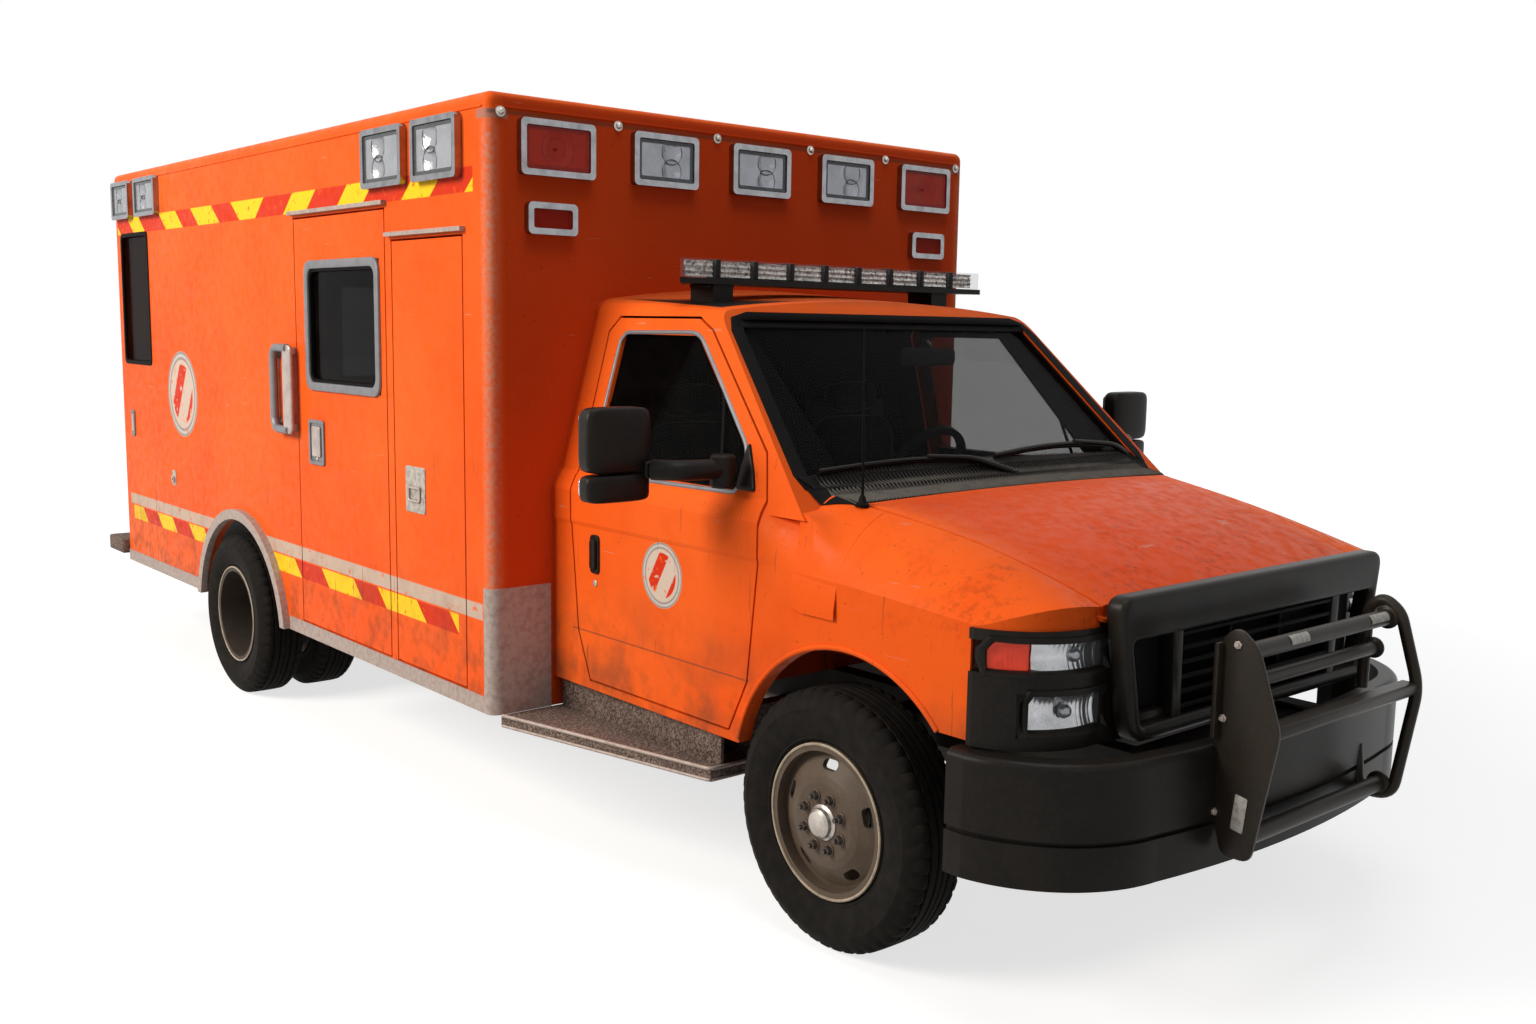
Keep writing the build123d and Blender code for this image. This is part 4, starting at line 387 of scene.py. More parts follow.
# %% Lining of the cab
GLASS_Y = -2.230
GLASS_Z = 1.38
GLASS_LEAN = 1.02
BELT_HALF = 0.942
BELT_Z = 1.29
SIDE_LEAN = 0.269
SKIN = 0.014
above_cowl = larger(paint_z, GLASS_Z - 0.02)
behind_glass = less(paint_y, times(GLASS_LEAN, less(above_cowl, GLASS_Z)))
above_belt = larger(less(paint_z, BELT_Z), 0.0)
inner_half = less(BELT_HALF - SKIN, times(SIDE_LEAN, above_belt))
inward = less(inner_half, across)
lined = both(rise(behind_glass, GLASS_Y - 0.001, GLASS_Y + 0.001), rise(inward, 0.0, 0.003),
             rise(paint_z, 1.90, 1.895), rise(paint_z, 0.95, 1.0), rise(paint_y, -0.935, -0.940),
             larger(rise(paint_z, 1.355, 1.365), rise(paint_y, -2.08, -2.07)))
headliner = both(rise(paint_y, -1.62, -1.60), rise(paint_z, 1.955, 1.945), rise(across, 0.70, 0.69),
                 rise(paint_z, 1.85, 1.87), rise(paint_y, -0.975, -0.985))
livery = mix(larger(lined, headliner), livery, flat_black)
orange.colour(livery)
orange.rough(plus(0.34, times(rise(noise(22.0, 4.0), 0.4, 0.7), 0.22)))
orange.relief(noise(150.0, 3.0), 0.0009, 0.35)
print("orange paint has", len(orange.tree.nodes), "nodes")

# %% [markdown]
# The other finishes are quieter. Black trim is grained plastic with a little dust, bare rails are dull
# aluminium with pinkish road film, tyres are dusty at the tread, and lenses are thin clear plastic over
# bright reflectors. Blacks have a low refractive index, because faded trim hardly shines.

# %% Plastics, metals, rubber and cloth
black_plastic = worn("black_plastic", (0.0105, 0.0090, 0.0078), (0.026, 0.020, 0.015), 6.0, 0.42, 0.34,
                     IOR=1.19)
black_plastic.relief(black_plastic.noise(420.0, 2.0), 0.0006, 0.4)
black_steel = worn("black_steel", (0.019, 0.015, 0.011), (0.046, 0.033, 0.023), 8.0, 0.35, 0.38, IOR=1.24)
cowl_grey = worn("cowl_grey", (0.105, 0.098, 0.090), (0.040, 0.035, 0.032), 30.0, 0.5, 0.6, IOR=1.15)
gasket_rubber = worn("gasket_rubber", (0.0045, 0.0040, 0.0040), (0.012, 0.010, 0.009), 12.0, 0.4, 0.6,
                     IOR=1.12)
chrome_trim = worn("chrome_trim", (0.33, 0.335, 0.35), (0.12, 0.10, 0.10), 18.0, 0.50, 0.22, Metallic=1.0)
frame_grey = worn("frame_grey", (0.20, 0.205, 0.22), (0.10, 0.10, 0.11), 20.0, 0.5, 0.45, Metallic=0.35)
handle_metal = worn("handle_metal", (0.50, 0.42, 0.38), (0.20, 0.17, 0.16), 16.0, 0.5, 0.34, Metallic=0.5)
worn_aluminium = worn("worn_aluminium", (0.42, 0.35, 0.315), (0.20, 0.125, 0.10), 44.0, 0.55, 0.52,
                      Metallic=0.2, Specular_IOR_Level=0.3)
worn_aluminium.relief(worn_aluminium.noise(190.0, 4.0), 0.0015, 0.4)
chassis_black = worn("chassis_black", (0.014, 0.013, 0.012), (0.045, 0.034, 0.025), 10.0, 0.6, 0.6,
                     Specular_IOR_Level=0.3)
cast_metal = worn("cast_metal", (0.05, 0.048, 0.046), (0.07, 0.045, 0.03), 14.0, 0.6, 0.55, Metallic=0.4)
wheel_steel = worn("wheel_steel", (0.112, 0.084, 0.062), (0.066, 0.043, 0.030), 11.0, 0.60, 0.48,
                   Specular_IOR_Level=0.15)
flange_cream = worn("flange_cream", (0.44, 0.37, 0.28), (0.13, 0.09, 0.06), 22.0, 0.6, 0.5,
                    Specular_IOR_Level=0.35)
# dish of the rear wheels: a much darker copy of the wheel steel as painted shade in the deep dish, with dust
# over it
dish_shade_and_dust = worn("dish_shade_and_dust", (0.040, 0.033, 0.027), (0.075, 0.052, 0.038), 14.0, 0.55, 0.6,
                 Specular_IOR_Level=0.2)
cap_silver = worn("cap_silver", (0.52, 0.49, 0.45), (0.20, 0.16, 0.13), 24.0, 0.5, 0.35, Metallic=0.75)
nut_steel = worn("nut_steel", (0.07, 0.062, 0.055), (0.13, 0.075, 0.045), 40.0, 0.6, 0.45, Metallic=0.6)
white_laminate = worn("white_laminate", (0.62, 0.62, 0.60), (0.40, 0.39, 0.36), 5.0, 0.3, 0.35)
grey_floor = worn("grey_floor", (0.13, 0.13, 0.135), (0.07, 0.065, 0.06), 7.0, 0.5, 0.6)
dark_trim = worn("dark_trim", (0.016, 0.016, 0.017), (0.035, 0.032, 0.03), 9.0, 0.4, 0.62,
                 Specular_IOR_Level=0.3)
seat_cloth = worn("seat_cloth", (0.035, 0.035, 0.04), (0.06, 0.058, 0.055), 60.0, 0.6, 0.9,
                  Specular_IOR_Level=0.2, Sheen_Weight=0.3)
lamp_bright = worn("lamp_bright", (0.46, 0.48, 0.52), (0.22, 0.23, 0.25), 12.0, 0.5, 0.24, Metallic=0.55)
lamp_bright.relief(lamp_bright.noise(90.0, 1.0), 0.004, 0.5)
lamp_dark = worn("lamp_dark", (0.035, 0.037, 0.04), (0.10, 0.10, 0.10), 30.0, 0.5, 0.25, Metallic=0.6)
bar_bright = worn("bar_bright", (0.78, 0.75, 0.71), (0.020, 0.018, 0.016), 75.0, 1.0, 0.28, Metallic=0.7)
bar_bright.relief(bar_bright.noise(160.0, 2.0), 0.004, 0.8)
amber_dish = worn("amber_dish", (0.50, 0.040, 0.010), (0.30, 0.018, 0.006), 12.0, 0.6, 0.3, Metallic=0.3)
red_dish = worn("red_dish", (0.95, 0.075, 0.020), (0.30, 0.012, 0.006), 40.0, 0.5, 0.25, Metallic=0.3)
mirror_glass = worn("mirror_glass", (0.55, 0.57, 0.60), (0.40, 0.40, 0.40), 8.0, 0.3, 0.05, Metallic=1.0)
label_pale = worn("label_pale", (0.50, 0.48, 0.44), (0.16, 0.13, 0.11), 55.0, 0.8, 0.55)
print(len(bpy.data.materials), "materials so far")

# %% [markdown]
# Tyre rubber is nearly black with a film of road dust. A step plate is coated with grit, so one noise
# gives both its speckled colour and its relief, and a broad one lays dirt over it.

# %% Tyre rubber and gritty step plates
tyre_rubber = Finish("tyre_rubber", Roughness=0.78, IOR=1.15)
tyre_dust = tyre_rubber.rise(tyre_rubber.noise(24.0, 5.0), 0.42, 0.70)
tyre_rubber.colour(tyre_rubber.mix(tyre_rubber.times(tyre_dust, 0.30), tone(0.0105, 0.0098, 0.0090),
                                   tone(0.036, 0.028, 0.021)))
tyre_rubber.relief(tyre_rubber.noise(260.0, 3.0), 0.001, 0.5)

step_plate = Finish("step_plate", Roughness=0.75, Specular_IOR_Level=0.3)
grit = step_plate.rise(step_plate.noise(120.0, 3.0), 0.40, 0.62)
grit_tone = step_plate.mix(grit, tone(0.055, 0.035, 0.026), tone(0.27, 0.20, 0.17))
soiled = step_plate.rise(step_plate.noise(6.0, 5.0), 0.40, 0.70)
step_plate.colour(step_plate.mix(step_plate.times(soiled, 0.6), grit_tone, tone(0.075, 0.045, 0.035)))
step_plate.relief(grit, 0.003, 0.6)
print("rubber and grit have", len(tyre_rubber.tree.nodes), "and", len(step_plate.tree.nodes), "nodes")

# %% [markdown]
# Glass and lenses are thin shells, so they need no bending of light: each is see-through by a fixed
# share, with a tint and a little dust. The headlamp glass has a red upper outer part and a dark end.
# Then every solid piece gets the finish that its row in the record names.


# %% Glass and lens plastics
def lens(name, tint, cover, dust=0.12):
    """Thin coloured plastic or glass: mostly see-through, slightly dusty."""
    made = Finish(name, Roughness=0.06, Specular_IOR_Level=0.30, Alpha=cover)
    film = made.times(made.rise(made.noise(14.0, 5.0), 0.45, 0.75), dust)
    made.colour(made.mix(film, tint, tone(0.30, 0.25, 0.20)))
    return made


dark_glass = lens("dark_glass", tone(0.002, 0.002, 0.002), 0.40, 0.012)
dark_glass.shader.inputs["IOR"].default_value = 1.12
box_glass = lens("box_glass", tone(0.002, 0.002, 0.002), 0.70, 0.012)
box_glass.shader.inputs["IOR"].default_value = 1.12
clear_lens = lens("clear_lens", tone(0.30, 0.33, 0.36), 0.16, 0.06)
clear_lens.shader.inputs["Specular IOR Level"].default_value = 0.15
red_lens = lens("red_lens", tone(0.52, 0.017, 0.005), 0.46, 0.03)
red_lens.shader.inputs["Specular IOR Level"].default_value = 0.10

headlamp_glass = Finish("headlamp_glass", Roughness=0.06, Specular_IOR_Level=0.20, Alpha=0.22)
upper_third = headlamp_glass.both(
    headlamp_glass.rise(headlamp_glass.sum("ABSOLUTE", headlamp_glass.x), 0.866, 0.868),
    headlamp_glass.rise(headlamp_glass.z, 0.949, 0.951))
lens_tint = headlamp_glass.mix(upper_third, tone(0.36, 0.37, 0.38), tone(0.85, 0.03, 0.010))
lens_end = headlamp_glass.rise(headlamp_glass.y, -3.030, -3.026)
headlamp_glass.colour(headlamp_glass.mix(lens_end, lens_tint, tone(0.004, 0.004, 0.004)))

finishes = {finish.name: finish for finish in (
    orange, black_plastic, black_steel, dark_glass, clear_lens, red_lens, chrome_trim, worn_aluminium,
    chassis_black, cast_metal, wheel_steel, tyre_rubber, white_laminate, grey_floor, dark_trim,
    seat_cloth, step_plate)}
for row in frame["record"]["subparts"]:
    solid = nodes[row["node"]]
    for holder in solid.material_slots:
        holder.link = "OBJECT"
        holder.material = finishes[row["material_slot"]].material
nodes["headlamp_lenses"].material_slots[0].material = headlamp_glass.material
# the rear rims take the dish finish with painted shade; the box doors take the box glass
for side in ("right", "left"):
    nodes[f"rear_rims_{side}"].material_slots[0].material = dish_shade_and_dust.material
    nodes[f"rear_door_glass_{side}"].material_slots[0].material = box_glass.material
nodes["entry_door_glass"].material_slots[0].material = box_glass.material
for name, width in (("lamp_bezels", 0.005), ("bumper", 0.012)):
    rounding = nodes[name].modifiers.new("rounded_edges", "BEVEL")
    rounding.width = width
    rounding.segments = 3
    rounding.angle_limit = math.radians(40)
print(len(finishes), "finishes on", len(nodes), "solid pieces")

# %% [markdown]
# Studio light for a big painted body: one large soft lamp does the work of a low sun on the right side,
# one from above lights the bonnet, and a weak one opens up the front.


# %% Soft lamps
def soft_lamp(name, place, target, size, power, tint=(1.0, 1.0, 1.0)):
    """Square area lamp that faces a point."""
    data = bpy.data.lights.new(name, "AREA")
    data.shape = "SQUARE"
    data.size = size
    data.energy = power
    data.color = tint
    lamp = bpy.data.objects.new(name, data)
    direction = Vector(target) - Vector(place)
    lamp.matrix_world = (Matrix.Translation(place)
                         @ direction.to_track_quat("-Z", "Y").to_matrix().to_4x4())
    bpy.context.collection.objects.link(lamp)


soft_lamp("key_lamp", (-9.5, 2.0, 6.5), (0.0, -0.5, 1.0), 5.0, 1250.0, (1.0, 0.92, 0.82))
soft_lamp("top_lamp", (-1.0, -3.6, 9.0), (0.0, -2.6, 1.0), 4.0, 210.0)
soft_lamp("front_lamp", (-3.0, -11.0, 6.0), (0.0, -2.0, 1.0), 4.0, 45.0)
print(len(bpy.data.lights), "soft lamps")

# %% [markdown]
# A dim pale world fills the shade. It has two faces: rays that the viewer sees directly, in a mirror
# finish or through clear glass find white, all others the dim one.


# %% World, white when seen
def seen_directly(tree):
    """1 for rays that the viewer, a mirror finish or clear glass sees, else 0."""
    path = tree.nodes.new("ShaderNodeLightPath")
    flags = [path.outputs[name] for name in ("Is Camera Ray", "Is Glossy Ray", "Is Transmission Ray")]
    either = flags[0]
    for flag in flags[1:]:
        node = tree.nodes.new("ShaderNodeMath")
        node.operation = "MAXIMUM"
        tree.links.new(either, node.inputs[0])
        tree.links.new(flag, node.inputs[1])
        either = node.outputs[0]
    return either


def white_when_seen(tree, plain, white, output):
    """The white shader for direct rays, the plain one for all others."""
    either = tree.nodes.new("ShaderNodeMixShader")
    tree.links.new(seen_directly(tree), either.inputs[0])
    tree.links.new(plain, either.inputs[1])
    tree.links.new(white, either.inputs[2])
    tree.links.new(either.outputs[0], output)


world = bpy.data.worlds.new("studio")
world.use_nodes = True
bpy.context.scene.world = world
world_tree = world.node_tree
world_back = world_tree.nodes["Background"]
world_back.inputs["Color"].default_value = tone(0.93, 0.96, 1.0)
world_back.inputs["Strength"].default_value = 0.16
world_white = world_tree.nodes.new("ShaderNodeBackground")
world_white.inputs["Color"].default_value = tone(1.0, 1.0, 1.0)
white_when_seen(world_tree, world_back.outputs[0], world_white.outputs[0],
                world_tree.nodes["World Output"].inputs[0])
bpy.context.scene.view_settings.view_transform = "Standard"
print("world light", round(world_back.inputs["Strength"].default_value, 3))

# %% [markdown]
# The floor has the same two faces. Seen directly it also glows: a little less near the vehicle, where
# the lamps add their part and a pale shadow shows, and fully white further out.

# %% Floor
FLOOR_HALF = 60
GLOW_NEAR = (3.0, 0.72)
GLOW_FAR = (8.0, 1.0)
floor_corners = [(a * FLOOR_HALF, b * FLOOR_HALF, 0) for a, b in ((-1, -1), (1, -1), (1, 1), (-1, 1))]
floor_mesh = bpy.data.meshes.new("floor")
floor_mesh.from_pydata(floor_corners, [], [(0, 1, 2, 3)])
floor = bpy.data.objects.new("floor", floor_mesh)
bpy.context.collection.objects.link(floor)
floor_paint = bpy.data.materials.new("floor_paint")
floor_paint.use_nodes = True
floor_tree = floor_paint.node_tree
floor_shader = floor_tree.nodes["Principled BSDF"]
floor_shader.inputs["Base Color"].default_value = tone(0.42, 0.42, 0.42)
floor_shader.inputs["Roughness"].default_value = 0.9
floor_shader.inputs["Specular IOR Level"].default_value = 0.0
floor_glow = floor_tree.nodes.new("ShaderNodeEmission")
floor_place = floor_tree.nodes.new("ShaderNodeTexCoord")
floor_reach = floor_tree.nodes.new("ShaderNodeVectorMath")
floor_reach.operation = "LENGTH"
floor_fade = floor_tree.nodes.new("ShaderNodeMapRange")
for end, (distance, glow) in (("Min", GLOW_NEAR), ("Max", GLOW_FAR)):
    floor_fade.inputs[f"From {end}"].default_value = distance
    floor_fade.inputs[f"To {end}"].default_value = glow
floor_tree.links.new(floor_place.outputs["Object"], floor_reach.inputs[0])
floor_tree.links.new(floor_reach.outputs["Value"], floor_fade.inputs["Value"])
floor_tree.links.new(floor_fade.outputs[0], floor_glow.inputs["Strength"])
floor_sum = floor_tree.nodes.new("ShaderNodeAddShader")
floor_tree.links.new(floor_shader.outputs[0], floor_sum.inputs[0])
floor_tree.links.new(floor_glow.outputs[0], floor_sum.inputs[1])
white_when_seen(floor_tree, floor_shader.outputs[0], floor_sum.outputs[0],
                floor_tree.nodes["Material Output"].inputs[0])
floor_mesh.materials.append(floor_paint)
print("floor is", 2 * FLOOR_HALF, "m wide")

# %% [markdown]
# Small parts are meshes built from points. Four builders make nearly all of them. Two begin with an
# outline: a slab gives it some thickness and rounded edges, and a frame fills the space between two
# outlines. Both take a function that says where the flat plan lies on the vehicle, so the same builder
# serves a side wall, the front wall or the back.


# %% Pieces, slabs and frames
def finish_piece(name, shape, finish, body, sharp=40.0):
    """Turn a bmesh into a piece that rides on a body."""
    bmesh.ops.recalc_face_normals(shape, faces=shape.faces)
    shape.normal_update()
    limit = math.radians(sharp)
    for face in shape.faces:
        face.smooth = True
    for edge in shape.edges:
        edge.smooth = len(edge.link_faces) != 2 or edge.calc_face_angle(0.0) < limit
    mesh = bpy.data.meshes.new(name)
    shape.to_mesh(mesh)
    shape.free()
    piece = bpy.data.objects.new(name, mesh)
    bpy.context.collection.objects.link(piece)
    mesh.materials.append(finish.material)
    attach(piece, body)
    return piece


def link_rings(shape, first, second):
    """Faces between two closed rings with the same number of points."""
    for corners in zip(first, first[1:] + first[:1], second[1:] + second[:1], second):
        shape.faces.new(corners)


def knit(shape, rows):
    """Faces between the rows of a grid, left out where a point is None."""
    for low, high in zip(rows, rows[1:]):
        for corners in zip(low, low[1:], high[1:], high):
            if None not in corners:
                shape.faces.new(corners)


def soften(shape, width, steps=2, angle=30.0):
    """Round the edges that are sharper than an angle."""
    if width <= 0:
        return
    shape.normal_update()
    sharp = [edge for edge in shape.edges
             if len(edge.link_faces) == 2 and edge.calc_face_angle(0.0) > math.radians(angle)]
    bmesh.ops.bevel(shape, geom=sharp, offset=width, offset_type="OFFSET", segments=steps,
                    profile=0.5, affect="EDGES", clamp_overlap=True)


def add_slab(shape, outline, place, low, high, edge=0.0, steps=2):
    """Outline in the plan, from depth low to depth high."""
    part = bmesh.new()
    rings = [[part.verts.new(place(a, b, depth)) for a, b in outline] for depth in (low, high)]
    part.faces.new(rings[0])
    part.faces.new(rings[1][::-1])
    link_rings(part, *rings)
    bmesh.ops.recalc_face_normals(part, faces=part.faces)
    soften(part, edge, steps)
    join(shape, part)


def add_frame(shape, outer, inner, place, low, high, edge=0.0, steps=2):
    """Frame between two outlines with the same number of points."""
    part = bmesh.new()
    loops = [[part.verts.new(place(a, b, depth)) for a, b in line]
             for line, depth in ((outer, low), (outer, high), (inner, high), (inner, low))]
    for first, second in zip(loops, loops[1:] + loops[:1]):
        link_rings(part, first, second)
    bmesh.ops.recalc_face_normals(part, faces=part.faces)
    soften(part, edge, steps, 50.0)
    join(shape, part)


def join(shape, part):
    """Move a finished part into the shape."""
    mesh = bpy.data.meshes.new("part")
    part.to_mesh(mesh)
    part.free()
    shape.from_mesh(mesh)
    bpy.data.meshes.remove(mesh)


def add_box(shape, low, high, edge=0.003, steps=2):
    """Block with rounded edges between two corners."""
    outline = ((low[0], low[1]), (high[0], low[1]), (high[0], high[1]), (low[0], high[1]))
    add_slab(shape, outline, lambda a, b, depth: Vector((a, b, depth)), low[2], high[2], edge, steps)


# %% [markdown]
# A turned piece is a section of (radius, along) points spun round an axis, as on a lathe. A pipe is a
# round bar that follows a line.


# %% Turned pieces and pipes
def add_turned(shape, section, centre, axis, segments=48, closed=False):
    """Section of (radius, along) points spun round an axis."""
    axis = Vector(axis).normalized()
    side = axis.orthogonal().normalized()
    other = axis.cross(side)
    centre = Vector(centre)
    rings = []
    for radius, along in section:
        if radius < 1e-6:
            rings.append([shape.verts.new(centre + axis * along)])
            continue
        rings.append([shape.verts.new(centre + axis * along + radius * (
            math.cos(2 * math.pi * k / segments) * side + math.sin(2 * math.pi * k / segments) * other))
            for k in range(segments)])
    pairs = list(zip(rings, rings[1:]))
    if closed:
        pairs.append((rings[-1], rings[0]))
    for first, second in pairs:
        if len(first) > 1 and len(second) > 1:
            link_rings(shape, first, second)
        elif len(second) > 1:
            for here, ahead in zip(second, second[1:] + second[:1]):
                shape.faces.new((first[0], ahead, here))
        elif len(first) > 1:
            for here, ahead in zip(first, first[1:] + first[:1]):
                shape.faces.new((here, ahead, second[0]))


def rounded_path(points, radius, steps=6):
    """A line with its corners rounded."""
    points = [Vector(point) for point in points]
    path = [points[0]]
    for before, corner, after in zip(points, points[1:], points[2:]):
        to_before = before - corner
        to_after = after - corner
        reach = min(radius, to_before.length * 0.45, to_after.length * 0.45)
        start = corner + to_before.normalized() * reach
        end = corner + to_after.normalized() * reach
        for k in range(steps + 1):
            t = k / steps
            path.append(start * (1 - t) ** 2 + corner * 2 * t * (1 - t) + end * t ** 2)
    path.append(points[-1])
    return path


def add_pipe(shape, path, radius, sides=14, flat=1.0, up=None):
    """Round bar along a line, its ends closed; flat squashes it across the up direction."""
    path = [Vector(point) for point in path]
    rings = []
    side = None
    for k, point in enumerate(path):
        ahead = (path[min(k + 1, len(path) - 1)] - path[max(k - 1, 0)]).normalized()
        if up is not None:
            side = ahead.cross(Vector(up)).normalized()
        elif side is None:
            side = ahead.orthogonal().normalized()
        else:
            side = (side - ahead * side.dot(ahead)).normalized()
        other = side.cross(ahead)
        width = radius(k / (len(path) - 1)) if callable(radius) else radius
        rings.append([shape.verts.new(point + width * (math.cos(2 * math.pi * n / sides) * side
                      + flat * math.sin(2 * math.pi * n / sides) * other)) for n in range(sides)])
    for first, second in zip(rings, rings[1:]):
        link_rings(shape, first, second)
    shape.faces.new(rings[0][::-1])
    shape.faces.new(rings[-1])


# %% [markdown]
# Outlines have rounded corners, because no real plate ends in a knife edge. A plan turns two numbers and
# a height into a place on a wall. A line cast at a solid piece tells where its surface lies.


# %% Outlines, plans and places on a surface
def rounded_outline(low_a, high_a, low_b, high_b, radius, steps=5):
    """Rectangle with rounded corners."""
    outline = []
    centres = ((high_a - radius, high_b - radius), (low_a + radius, high_b - radius),
               (low_a + radius, low_b + radius), (high_a - radius, low_b + radius))
    for quarter, (centre_a, centre_b) in enumerate(centres):
        for k in range(steps + 1):
            angle = math.radians(90 * quarter + 90 * k / steps)
            outline.append((centre_a + radius * math.cos(angle), centre_b + radius * math.sin(angle)))
    return outline


def round_corners(points, radius, steps=4):
    """Polygon with its corners rounded."""
    count = len(points)
    outline = []
    for k in range(count):
        before, corner, after = (Vector(points[(k + d) % count]) for d in (-1, 0, 1))
        reach = min(radius, (before - corner).length * 0.45, (after - corner).length * 0.45)
        start = corner + (before - corner).normalized() * reach
        end = corner + (after - corner).normalized() * reach
        for n in range(steps + 1):
            t = n / steps
            point = start * (1 - t) ** 2 + corner * 2 * t * (1 - t) + end * t ** 2
            outline.append((point.x, point.y))
    return outline


def wall(hand):
    """Plan of a side wall: along, up, out."""
    return lambda a, b, out: Vector((hand * (WALL_X + 0.001 + out), a, b))


def front_wall(a, b, out):
    return Vector((a, FRONT_WALL_Y - out, b))


def back_wall(a, b, out):
    return Vector((a, BACK_WALL_Y + out, b))


def struck(node, start, direction):
    """Place where a line first meets a solid piece, or None."""
    found, place, _, _ = nodes[node].ray_cast(Vector(start), Vector(direction))
    return place if found else None


def hit(node, start, direction):
    """Place where a line first meets a solid piece that it can't miss."""
    place = struck(node, start, direction)
    if place is None:
        raise ValueError(f"no surface of {node} from {start}")
    return place


SIDES = (("right", -1), ("left", 1))
print("side walls at", [round(wall(hand)(0.0, 1.0, 0.0).x, 3) for _, hand in SIDES])

# %% [markdown]
# ## Tyres
# A heavy-duty van tyre has a nearly flat tread with four grooves, small sipes at the shoulders, a
# bulged side and a thin rib near the rim. The section is spun round the axle. While spinning, every
# fourth step pulls the shoulder in a little, which leaves the small cross cuts.

# %% Tyres with tread
AXLE_Z = 0.3985
FRONT_AXLE_Y = -2.430
REAR_AXLE_Y = 1.555
TYRE_STEPS = 200
tyre_half = [(0.216, 0.080), (0.236, 0.0835), (0.243, 0.0875), (0.250, 0.0950), (0.256, 0.0950),
             (0.262, 0.0985), (0.290, 0.1085), (0.318, 0.1130), (0.336, 0.1125), (0.339, 0.1135),
             (0.343, 0.1125), (0.356, 0.1060), (0.370, 0.0985), (0.380, 0.0920), (0.388, 0.0850),
             (0.3935, 0.0780), (0.3965, 0.0710), (0.3970, 0.0600), (0.3880, 0.0585), (0.3880, 0.0530),
             (0.3975, 0.0515), (0.3978, 0.0290), (0.3885, 0.0275), (0.3885, 0.0215), (0.3980, 0.0200),
             (0.3980, 0.0030), (0.3930, 0.0020)]
tyre_section = tyre_half + [(radius, -half) for radius, half in reversed(tyre_half)]


def tyre_shape(shape, centre_x, axle_y):
    """One tyre round its axle."""
    rings = []
    for step in range(TYRE_STEPS):
        angle = 2 * math.pi * step / TYRE_STEPS
        ring = []
        for radius, half in tyre_section:
            if step % 4 == 0 and radius > 0.376 and abs(half) > 0.059:
                radius -= 0.006
            if step % 4 == 2 and radius > 0.396 and 0.030 < abs(half) < 0.050:
                radius -= 0.003
            ring.append(shape.verts.new((centre_x + half, axle_y + radius * math.cos(angle),
                                         AXLE_Z + radius * math.sin(angle))))
        rings.append(ring)
    for first, second in zip(rings, rings[1:] + rings[:1]):
        link_rings(shape, first, second)


for side, hand in SIDES:
    for node, body, places, axle_y in (
            (f"front_tyre_{side}", f"wheel_front_{side}", (0.845,), FRONT_AXLE_Y),
            (f"rear_tyres_{side}", f"wheels_rear_{side}", (1.1335, 0.8435), REAR_AXLE_Y)):
        tread = bmesh.new()
        for x in places:
            tyre_shape(tread, hand * x, axle_y)
        tyre = finish_piece(f"{node}_tread", tread, tyre_rubber, body, 28.0)
        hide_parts(node)
        print(tyre.name, len(tyre.data.polygons), "faces")

# %% [markdown]
# ## Wheels
# The steel wheel is a pressed disc. The solid already has the disc and its hand holes. What makes it
# read as a wheel is the hardware: eight nuts on studs, a plated cap over the hub, and a rolled flange.
# All of them are lathe work, and a nut is simply a turned piece with six segments.

# %% Nuts and caps
NUTS = 8
NUT_CIRCLE = 0.0825
OUTSIDE_X = 1.6
WASHER = ((0.0, -0.002), (0.0175, -0.002), (0.0175, 0.003), (0.0150, 0.004))
NUT = ((0.0150, 0.003), (0.0135, 0.006), (0.0135, 0.018), (0.0115, 0.0205),
       (0.0080, 0.0205), (0.0080, 0.030), (0.0065, 0.0315), (0.0, 0.0315))
for side, hand in SIDES:
    for node, body, axle_y, cap in ((f"front_rim_{side}", f"wheel_front_{side}", FRONT_AXLE_Y, 0.046),
                                    (f"rear_rims_{side}", f"wheels_rear_{side}", REAR_AXLE_Y, 0.052)):
        nuts = bmesh.new()
        for number in range(NUTS):
            angle = 2 * math.pi * (number + 0.5) / NUTS
            y = axle_y + NUT_CIRCLE * math.cos(angle)
            z = AXLE_Z + NUT_CIRCLE * math.sin(angle)
            seat = hit(node, (hand * OUTSIDE_X, y, z), (-hand, 0, 0))
            add_turned(nuts, WASHER, seat, (hand, 0, 0), 16)
            add_turned(nuts, NUT, seat, (hand, 0, 0), 6)
        finish_piece(f"wheel_nuts_{node}", nuts, nut_steel, body, 25.0)
        place = hit(node, (hand * OUTSIDE_X, axle_y + 0.045, AXLE_Z), (-hand, 0, 0))
        cap_shape = bmesh.new()
        add_turned(cap_shape, ((cap + 0.008, -0.004), (cap + 0.008, 0.003), (cap + 0.003, 0.006),
                               (cap, 0.009), (cap - 0.003, 0.020), (cap - 0.010, 0.027),
                               (cap - 0.026, 0.032), (0.0, 0.034)),
                   (place.x, axle_y, AXLE_Z), (hand, 0, 0), 40)
        finish_piece(f"hub_cap_{node}", cap_shape, cap_silver, body, 25.0)
        print(node, "cap sits at", round(place.x, 4))
